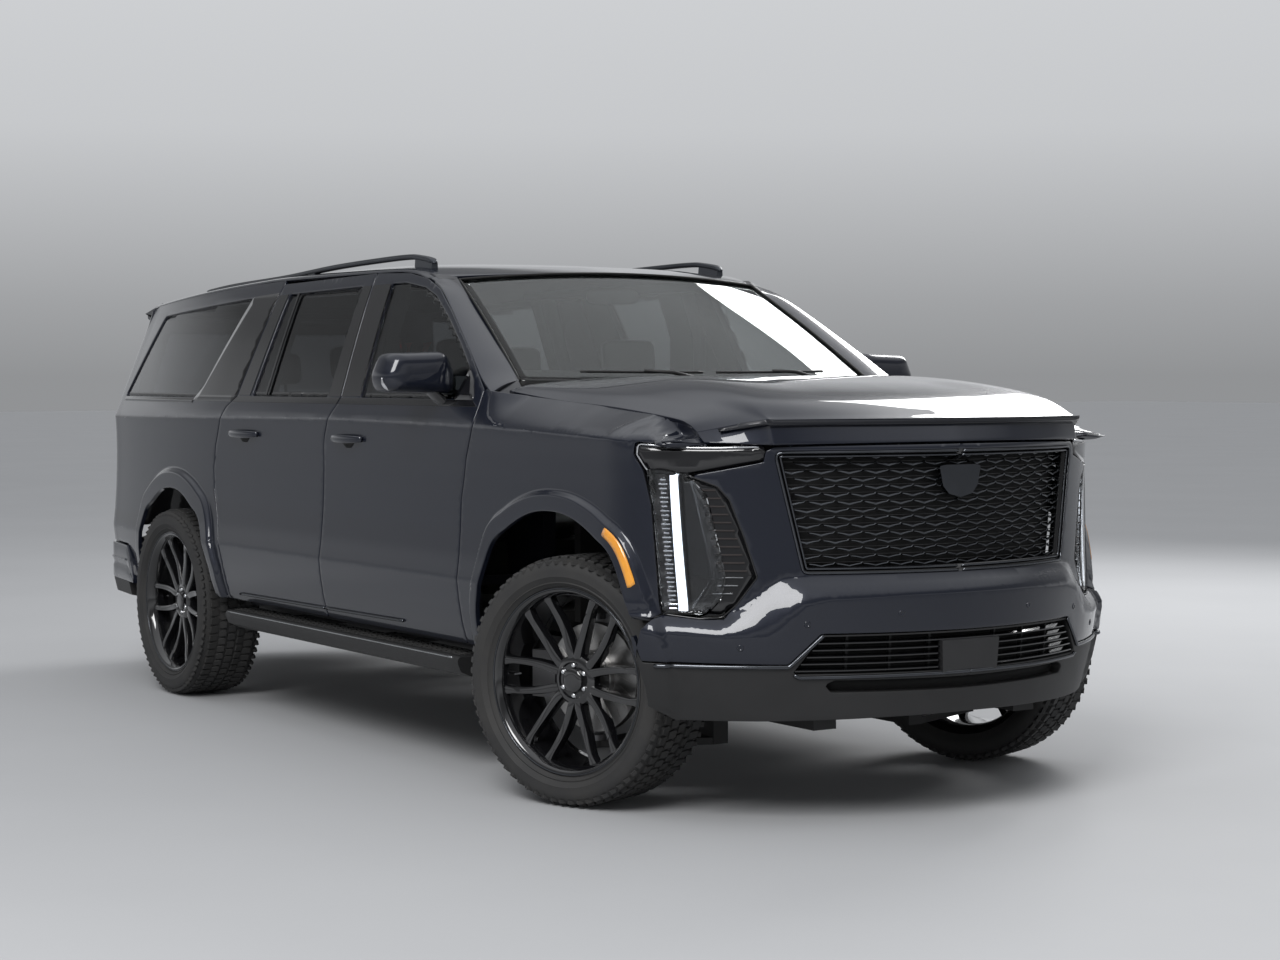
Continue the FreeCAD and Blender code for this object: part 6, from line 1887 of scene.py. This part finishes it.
GATE = [(-738, 706), (-757, 1240), (-640, 1738), (640, 1738), (757, 1240), (738, 706)]
GATE_GLASS = [(-640, 1345), (-560, 1655), (560, 1655), (640, 1345)]
gate = panel(tail_loop(GATE, 26), tail_surface,
             [tail_loop(GATE_GLASS, 40), tail_box(270, 985, 1135, 22)], 30, hole_depth=20)
gate = facing(gate, (0, 1, 0))
gate_node = node_shell("tailgate")
under = np.vstack(gate_node.points)
skin_y = tail_depth(under[:, 0], under[:, 2])
keep_in = (under[:, 1] > skin_y - 24) & (under[:, 2] < 1745)
under[keep_in, 1] = skin_y[keep_in] - 24
under_shell = Shell().add(under, gate_node.faces)
make("tailgate_skin", gate, PAINT, "tailgate", replaces=("tailgate",))
# The tailgate's inner shell wears the darker body paint, painted shade behind its skin.
make("tailgate_shell", under_shell, SHADED_JAMB_PAINT, "tailgate", sharp=35)
gate_pane = pane(tail_loop([(-646, 1339), (-566, 1661), (566, 1661), (646, 1339)], 42), tail_surface, -8, 4)
make("tailgate_pane", gate_pane, PRIVACY, "tailgate", replaces=("tailgate_glass",))
make("plate_recess", pane(tail_box(266, 989, 1131, 20), tail_surface, -19, 3, 40), BLACK_PLASTIC, "tailgate")
make("rear_plate", pane(tail_box(155, 1000, 1110, 8), tail_surface, -14, 3, 30), PLATE, "tailgate")
gate_strip = []
for x in np.linspace(-640, 640, 80):
    p, n = tail_surface([x], [1168.0])
    gate_strip.append(p[0] + n[0] * 1.5)
make("tailgate_strip", tube(gate_strip, 5.5, 10), DARK_CHROME, "tailgate")
spoiler_rings = []
SPOILER = [(2514, 1797), (2640, 1775), (2738, 1752), (2739, 1744), (2733, 1730), (2690, 1716), (2600, 1702),
           (2530, 1742), (2514, 1762)]
SPOILER_HALF, SPOILER_FRONT = 622, 2514
for x in np.linspace(-SPOILER_HALF, SPOILER_HALF, 41):
    edge = abs(x) / SPOILER_HALF
    sweep = 1 - 0.10 * edge ** 4
    spoiler_rings.append([(x, SPOILER_FRONT + (y - SPOILER_FRONT) * sweep,
                           z - 6 * edge ** 3 * (1 if z > 1760 else 0.5)) for y, z in SPOILER])
make("spoiler", rings_to_shell(spoiler_rings), PAINT, "tailgate", sharp=40)
stop_light = tube([(x, 2737 - 3 * abs(x) / 300, 1740) for x in np.linspace(-190, 190, 30)], 4.5, 8)
make("stop_light", stop_light, RED_GLOW, "tailgate")

# %% Tail lamps and rear bumper
tail_line = laid(("side", [(2550, 708), (2550, 1250), (2550, 1630)], 2),
                 ("tail", [(706, 1631), (793, 1250), (779, 709)], 4), step=10)
make("tail_lenses", pane(tail_line, skin, -2, 4, 26).both(), RED_LENS, "body", replaces=("tail_lamps",))
make("tail_lamp_backs", pane(tail_line, skin, -34, 3, 30).both(), GLOSS_BLACK, "body")
bars_red = []
for shift in (22, 46):
    rings = []
    for z in np.linspace(722, 1618, 40):
        edge = np.interp(z, [700, 1250, 1640], [776, 791, 702]) + shift
        p, n = skin_at([edge, edge + 9], [z, z], "tail")
        rings.append([p[0] - n[0] * 12, p[1] - n[1] * 12, p[1] - n[1] * 22, p[0] - n[0] * 22])
    bars_red.append(rings_to_shell(rings))
make("tail_lamp_bars", joined(bars_red).both(), RED_GLOW, "body")

plan = skin_raw(SAMPLE_T, 690)[len(SAMPLE_T) // 2:]
plan = plan[plan[:, 1] > 2112]
marks = np.r_[0, np.cumsum(np.linalg.norm(np.diff(plan[:, :2], axis=0), axis=1))]
even = np.linspace(0, marks[-1], 90)
plan = np.stack([np.interp(even, marks, plan[:, 0]), np.interp(even, marks, plan[:, 1])], axis=1)
plan = plan if plan[0, 0] > plan[-1, 0] else plan[::-1]
plan[-1, 0] = 0
plan = np.vstack([plan, (plan * (-1, 1))[::-1][1:]])
run = np.gradient(plan, axis=0)
run /= np.linalg.norm(run, axis=1)[:, None]
out = np.stack([-run[:, 1], run[:, 0]], axis=1)
out *= np.sign((out * (plan - (0, 1500))).sum(axis=1))[:, None]
PROFILE = [(-46, 1.0), (-7, 1.0), (2, 0.985), (4.5, 0.94), (4.5, 0.52), (1.0, 0.47), (1.0, 0.40), (4.5, 0.35),
           (4.5, 0.07), (1, 0.02), (-7, 0.0), (-46, 0.0)]
BUMPER_FOOT = 455
bumper_rings = []
for (x, y), (ox, oy) in zip(plan, out):
    top = np.interp(y, [2115, 2160, 2240, 2330, 2700, 2860], [474, 560, 630, 632, 636, 688])
    bumper_rings.append([(x + ox * d, y + oy * d, BUMPER_FOOT + s * (top - BUMPER_FOOT)) for d, s in PROFILE])
make("rear_bumper_cover", rings_to_shell(bumper_rings), PAINT, "body", sharp=30, replaces=("rear_bumper",))
step_pad = []
for x in np.linspace(-600, 600, 60):
    y = np.interp(abs(x), plan[:90][::-1, 0], plan[:90][::-1, 1])
    step_pad.append([(x, y - 44, 688), (x, y - 8, 690), (x, y - 8, 693), (x, y - 44, 693)])
make("rear_bumper_pad", rings_to_shell(step_pad), BLACK_PLASTIC, "body", smooth=False)
lower = []
for (x, y), (ox, oy) in zip(plan[6:-6], out[6:-6]):
    lower.append([(x + ox * d, y + oy * d, z)
                  for d, z in ((-2, 470), (2, 462), (-14, 392), (-40, 386), (-44, 470))])
make("rear_valance", rings_to_shell(lower), BLACK_PLASTIC, "body", sharp=35)
low_strip = [(x + ox * 5, y + oy * 5, 560) for (x, y), (ox, oy) in zip(plan[8:-8], out[8:-8])]
make("rear_strip", tube(low_strip, 5, 8), DARK_CHROME, "body")

# %% [markdown]
# ## Cabin
# Seat pads are swollen by a short cloth simulation, once for a seat's cushion and once for its back;
# the other seats are copies. Beside them: a dashboard screen, steering wheel, roof lining, wipers.

# %% Seat pads
def pillow(centre, size, lean=0.0, crown=0.1):
    """A rounded closed pad; size is its whole width, length and thickness."""
    rings = []
    for v in np.linspace(-math.pi / 2, math.pi / 2, 20)[1:-1]:
        ring = []
        for u in circle(48):
            c, s = math.cos(u), math.sin(u)
            x = powered(c, 0.35) * math.cos(v) ** 0.35
            y = powered(s, 0.35) * math.cos(v) ** 0.35
            z = powered(math.sin(v), 0.7)
            z *= 1 - crown * (x * x + y * y)
            ring.append((x * size[0] / 2, y * size[1] / 2, z * size[2] / 2))
        rings.append(ring)
    shell = rings_to_shell(rings)
    return shell.moved(Matrix.Translation(centre) @ Matrix.Rotation(lean, 4, "X"))


def swollen(shell, voxel, cap):
    """A pad after a short pressure simulation."""
    mesh = bpy.data.meshes.new("pad")
    mesh.from_pydata((np.vstack(shell.points) * MM).tolist(), [], shell.faces)
    pad = linked("pad", mesh)
    remesh = pad.modifiers.new("even", "REMESH")
    remesh.mode = "VOXEL"
    remesh.voxel_size = voxel * MM
    bpy.context.view_layer.update()
    even = bpy.data.meshes.new_from_object(pad.evaluated_get(bpy.context.evaluated_depsgraph_get()))
    pad.modifiers.clear()
    pad.data = even
    before = np.array([tuple(v.co) for v in even.vertices])
    cloth = pad.modifiers.new("cloth", "CLOTH")
    cloth.settings.use_pressure = True
    cloth.settings.uniform_pressure_force = 4.0
    cloth.settings.effector_weights.gravity = 0.0
    cloth.settings.quality = 5
    cloth.point_cache.frame_start, cloth.point_cache.frame_end = 1, 20
    for step in range(1, 21):
        bpy.context.scene.frame_set(step)
    after_mesh = bpy.data.meshes.new_from_object(pad.evaluated_get(bpy.context.evaluated_depsgraph_get()))
    after = np.array([tuple(v.co) for v in after_mesh.vertices])
    move = after - before
    length = np.linalg.norm(move, axis=1)
    move *= np.minimum(1.0, cap * MM / np.maximum(length, 1e-9))[:, None]
    faces = [tuple(f.vertices) for f in after_mesh.polygons]
    bpy.context.scene.frame_set(1)
    bpy.data.objects.remove(pad)
    return Shell().add((before + move) / MM, faces)


FLOOR_TOP = 600.0
cushion = swollen(pillow((0, -20, 845), (470, 470, 100), math.radians(-4)), 12, 24)
backrest = swollen(pillow((0, 0, 0), (455, 560, 90)), 12, 24)
restraint = pillow((0, 0, 0), (250, 150, 76))
SEATS = {"front": (390, -560, 520, 1400), "middle": (400, 420, 500, 1380), "rear": (340, 1420, 480, 1360)}
for row, (x, y, width, back_top) in SEATS.items():
    pads, shells = [], []
    share = width / 520
    lean = math.atan2(130, back_top - 850)
    for hand in (-1, 1):
        at = Matrix.Translation((hand * x, y, 0)) @ Matrix.Diagonal((share, 1, 1, 1))
        middle = Matrix.Translation((hand * x, y + 270, (850 + back_top) / 2 + 5)) @ Matrix.Rotation(
            math.pi / 2 - lean, 4, "X") @ Matrix.Diagonal((share, (back_top - 830) / 570, 1, 1))
        top = Matrix.Translation((hand * x, y + 362, back_top + 112)) @ Matrix.Rotation(
            math.pi / 2 - lean * 0.6, 4, "X")
        for piece, place in ((cushion, at), (backrest, middle), (restraint, top)):
            pads.append(piece.moved(place))
        base = rings_to_shell([[(hand * x + sx * (width / 2 - 30 - inset), y + sy * (210 - inset), z)
                                for sx, sy in ((-1, -1), (1, -1), (1, 1), (-1, 1))]
                               for z, inset in ((FLOOR_TOP, 30), (745, 10), (800, 0), (812, 12))])
        rear = rings_to_shell([[(hand * x + sx * (width / 2 - 20), y + 262 + a + b, z) for sx, b in
                                ((-1, 0), (1, 0), (1, 44), (-1, 44))]
                               for z, a in ((800, 0), (back_top - 20, (back_top - 800) * 0.235))])
        posts = [tube([(post_x, y + 362, back_top - 20), (post_x, y + 372, back_top + 90)], 7, 10)
                 for post_x in (hand * x - 50, hand * x + 50)]
        shells += [base, rear, *posts]
    pad_object = make(row + "_seat_pads", joined(pads), LEATHER, "body", replaces=(row + "_seats",))
    make(row + "_seat_shells", joined(shells), TRIM_SOFT, "body", sharp=35)
    piping = []
    for hand in (-1, 1):
        for lane in (-0.5, 0.0, 0.5):
            seam_line = [(hand * x + lane * width * 0.62, y + s, 899 - 6 * (s / 200) ** 2)
                         for s in np.linspace(-215, 150, 16)]
            piping.append(tube(seam_line, 1.6, 6))
    make(row + "_seat_seams", joined(piping), SHADOW, "body")
print("seats: %d pad faces a cushion" % len(cushion.faces))

# %% Dashboard, steering wheel, lining, wipers and kept nodes
screen_rings = []
for z in (1176, 1300):
    front_y = -1066 - 26 * (z - 1180) / 120
    screen_rings.append([(x, front_y - 0.00006 * x * x, z) for x in np.linspace(-260, 640, 24)]
                        + [(x, -1078 - 0.00006 * x * x, z) for x in np.linspace(640, -260, 24)])
screen_panel = rings_to_shell(screen_rings)
make("dashboard_screen", screen_panel, GLOSS_BLACK, "body", smooth=False)
wheel_axis = Vector((0, 0.9, 0.43)).normalized()
wheel_turn = Vector((0, 0, 1)).rotation_difference(wheel_axis).to_matrix().to_4x4()
wheel_place = Matrix.Translation((390, -950, 1150)) @ wheel_turn
HAND_RING = 185
ring = tube([(HAND_RING * math.cos(a), HAND_RING * math.sin(a), 0) for a in circle(64)], 15, 12, closed=True)
boss = pillow((0, 0, -6), (150, 110, 46))
arms = []
for a in (0, math.pi, -math.pi / 2):
    line = [(r * math.cos(a), r * math.sin(a), -6 + 4 * (r / HAND_RING)) for r in (50, 90, 130, 180)]
    arms.append(tube(line, [17, 13, 11, 11], 10))
column = tube([(0, 0, -30), (0, 0, -120), (0, 0, -195)], [38, 42, 42], 20)
steering = ring.join(boss, *arms, column).moved(wheel_place)
make("steering_wheel_form", steering, LEATHER, "body", replaces=("steering_wheel",))
lining = roof_grid[8:-6, 7:-7] - (0, 0, 44)
make("roof_lining", thick_sheet(lining, 5, (0, 0, -1)), INTERIOR_LIGHT, "body")
wipers = []
for u0, u1, foot in ((-0.70, -0.06, -0.10), (0.02, 0.70, 0.62)):
    line = [screen_point(np.array(u), np.array(0.06), 11) for u in np.linspace(u0, u1, 24)]
    blade_bar = tube(line, 5, 8)
    start = screen_point(np.array(foot), np.array(0.005), 8)
    middle = screen_point(np.array((u0 + u1) / 2), np.array(0.06), 18)
    arm_bar = tube([start, (start + middle) / 2 + (0, -4, 10), middle], [9, 7, 5], 8)
    wipers += [blade_bar, arm_bar]
make("wipers", joined(wipers), BLACK_PLASTIC, "body")
inside_mirror = pillow((0, -700, 1748), (240, 26, 66))
make("inside_mirror", inside_mirror, GLOSS_BLACK, "body")

# The amber markers lie on the front flares, ahead of the wheels.
MARKER_ANGLES = np.radians(np.linspace(180 - 56, 180 - 36, 14))
near, far = arch_radii("front", MARKER_ANGLES)
marker_rows = []
for share in (0.36, 0.74):
    r = near + share * (far - near)
    marker_rows.append([(FRONT_AXLE + q * math.cos(a), HUB_Z + q * math.sin(a))
                        for q, a in zip(r, MARKER_ANGLES)])
marker_line = marker_rows[0] + marker_rows[1][::-1]
make("amber_markers", side_piece(marker_line, 3.0, 5, 4, step=8).both(), AMBER, "body")

for hand, side in SIDES:
    frame_shell = sunk(node_shell("door_frame_" + hand), 16.0, side)
    q = np.vstack(frame_shell.points)
    foot = (q[:, 1] < -1408) & (q[:, 2] > 1290)
    q[foot, 1] = -1408
    leaf = (q[:, 2] > 620) & (q[:, 2] < 1130) & ((abs(q[:, 1] + 70) < 70) | (abs(q[:, 1] + 1220) < 70))
    q[leaf, 0] = np.clip(q[leaf, 0], -925, 925)
    frame_shell.points = [q]
    # The door frames wear the darker body paint, painted shade in the door openings.
    make("door_frame_form_" + hand, frame_shell, SHADED_JAMB_PAINT, "body", sharp=35,
         replaces=("door_frame_" + hand,))

KEPT = {
    UNDERBODY: ("floor_and_firewall", "ladder_frame", "front_suspension", "rear_suspension"),
    CAST: ("engine_block", "front_knuckle_left", "front_knuckle_right", "rear_knuckle_left",
           "rear_knuckle_right"),
    TRIM_SOFT: ("dashboard",),
}
for material, nodes in KEPT.items():
    for node in nodes:
        for place in NODES[node].material_slots:
            place.material = material
print("pieces:", len(PIECES))

# %% [markdown]
# ## Studio
# A pale floor, a pale sky that darkens in a band above the horizon so that dark paint keeps its
# depth, two soft lamps, and the camera where the photograph was taken.

# %% Floor, sky, lamps and camera
scene = bpy.context.scene
scene.view_settings.view_transform = "Standard"
floor_mesh = bpy.data.meshes.new("floor")
floor_mesh.from_pydata([(-90, -90, 0), (90, -90, 0), (90, 90, 0), (-90, 90, 0)], [], [(0, 1, 2, 3)])
floor_mesh.materials.append(finish("studio_floor", (0.44, 0.445, 0.455), 0.75, second=(0.425, 0.43, 0.44),
                                   mottle=0.6))
floor = linked("floor", floor_mesh)

world = bpy.data.worlds.new("studio_sky")
scene.world = world
world.use_nodes = True
tree = world.node_tree
background = tree.nodes["Background"]
direction = tree.nodes.new("ShaderNodeTexCoord")
parts = tree.nodes.new("ShaderNodeSeparateXYZ")
ramp = tree.nodes.new("ShaderNodeValToRGB")
# Sky: share of the way from level to overhead, brightness.
stops = [(0.0, 0.29), (0.03, 0.36), (0.10, 0.58), (0.17, 0.64), (0.30, 0.20), (0.50, 0.22), (0.68, 0.72),
         (1.0, 0.95)]
while len(ramp.color_ramp.elements) < len(stops):
    ramp.color_ramp.elements.new(0.5)
for element, (at, level) in zip(ramp.color_ramp.elements, stops):
    element.position = at
    element.color = (level * 0.98, level, level * 1.03, 1)
wire(tree, (direction.outputs["Generated"], parts.inputs[0]), (parts.outputs["Z"], ramp.inputs["Fac"]),
     (ramp.outputs["Color"], background.inputs["Color"]))
background.inputs["Strength"].default_value = 1.0


def lamp(name, place, target, size, power):
    """A square soft lamp."""
    data = bpy.data.lights.new(name, "AREA")
    data.size = size
    data.energy = power
    light = linked(name, data)
    light.location = place
    light.rotation_mode = "QUATERNION"
    light.rotation_quaternion = (Vector(target) - Vector(place)).to_track_quat("-Z", "Y")


lamp("key", (-7.5, -7.0, 8.0), (-0.5, -1.0, 0.8), 5.0, 900)
lamp("rim", (8.0, 3.0, 6.0), (0, 0, 1.0), 4.0, 450)

CAMERA_PLACE = (-5.08787, -8.89365, 1.43729)
CAMERA_YAW, CAMERA_PITCH, CAMERA_ROLL = 0.566839182, 0.0428571764, 0.00145664449
camera_data = bpy.data.cameras.new("camera")
camera_data.sensor_width = 36
camera_data.lens = 68.27
camera_data.clip_end = 300
camera = bpy.data.objects.new("camera", camera_data)
view = Vector((math.sin(CAMERA_YAW) * math.cos(CAMERA_PITCH), math.cos(CAMERA_YAW) * math.cos(CAMERA_PITCH),
               -math.sin(CAMERA_PITCH)))
camera.location = CAMERA_PLACE
camera.rotation_mode = "QUATERNION"
camera.rotation_quaternion = (view.to_track_quat("-Z", "Y")
                              @ Matrix.Rotation(-CAMERA_ROLL, 3, "Z").to_quaternion())
scene.collection.objects.link(camera)
scene.camera = camera
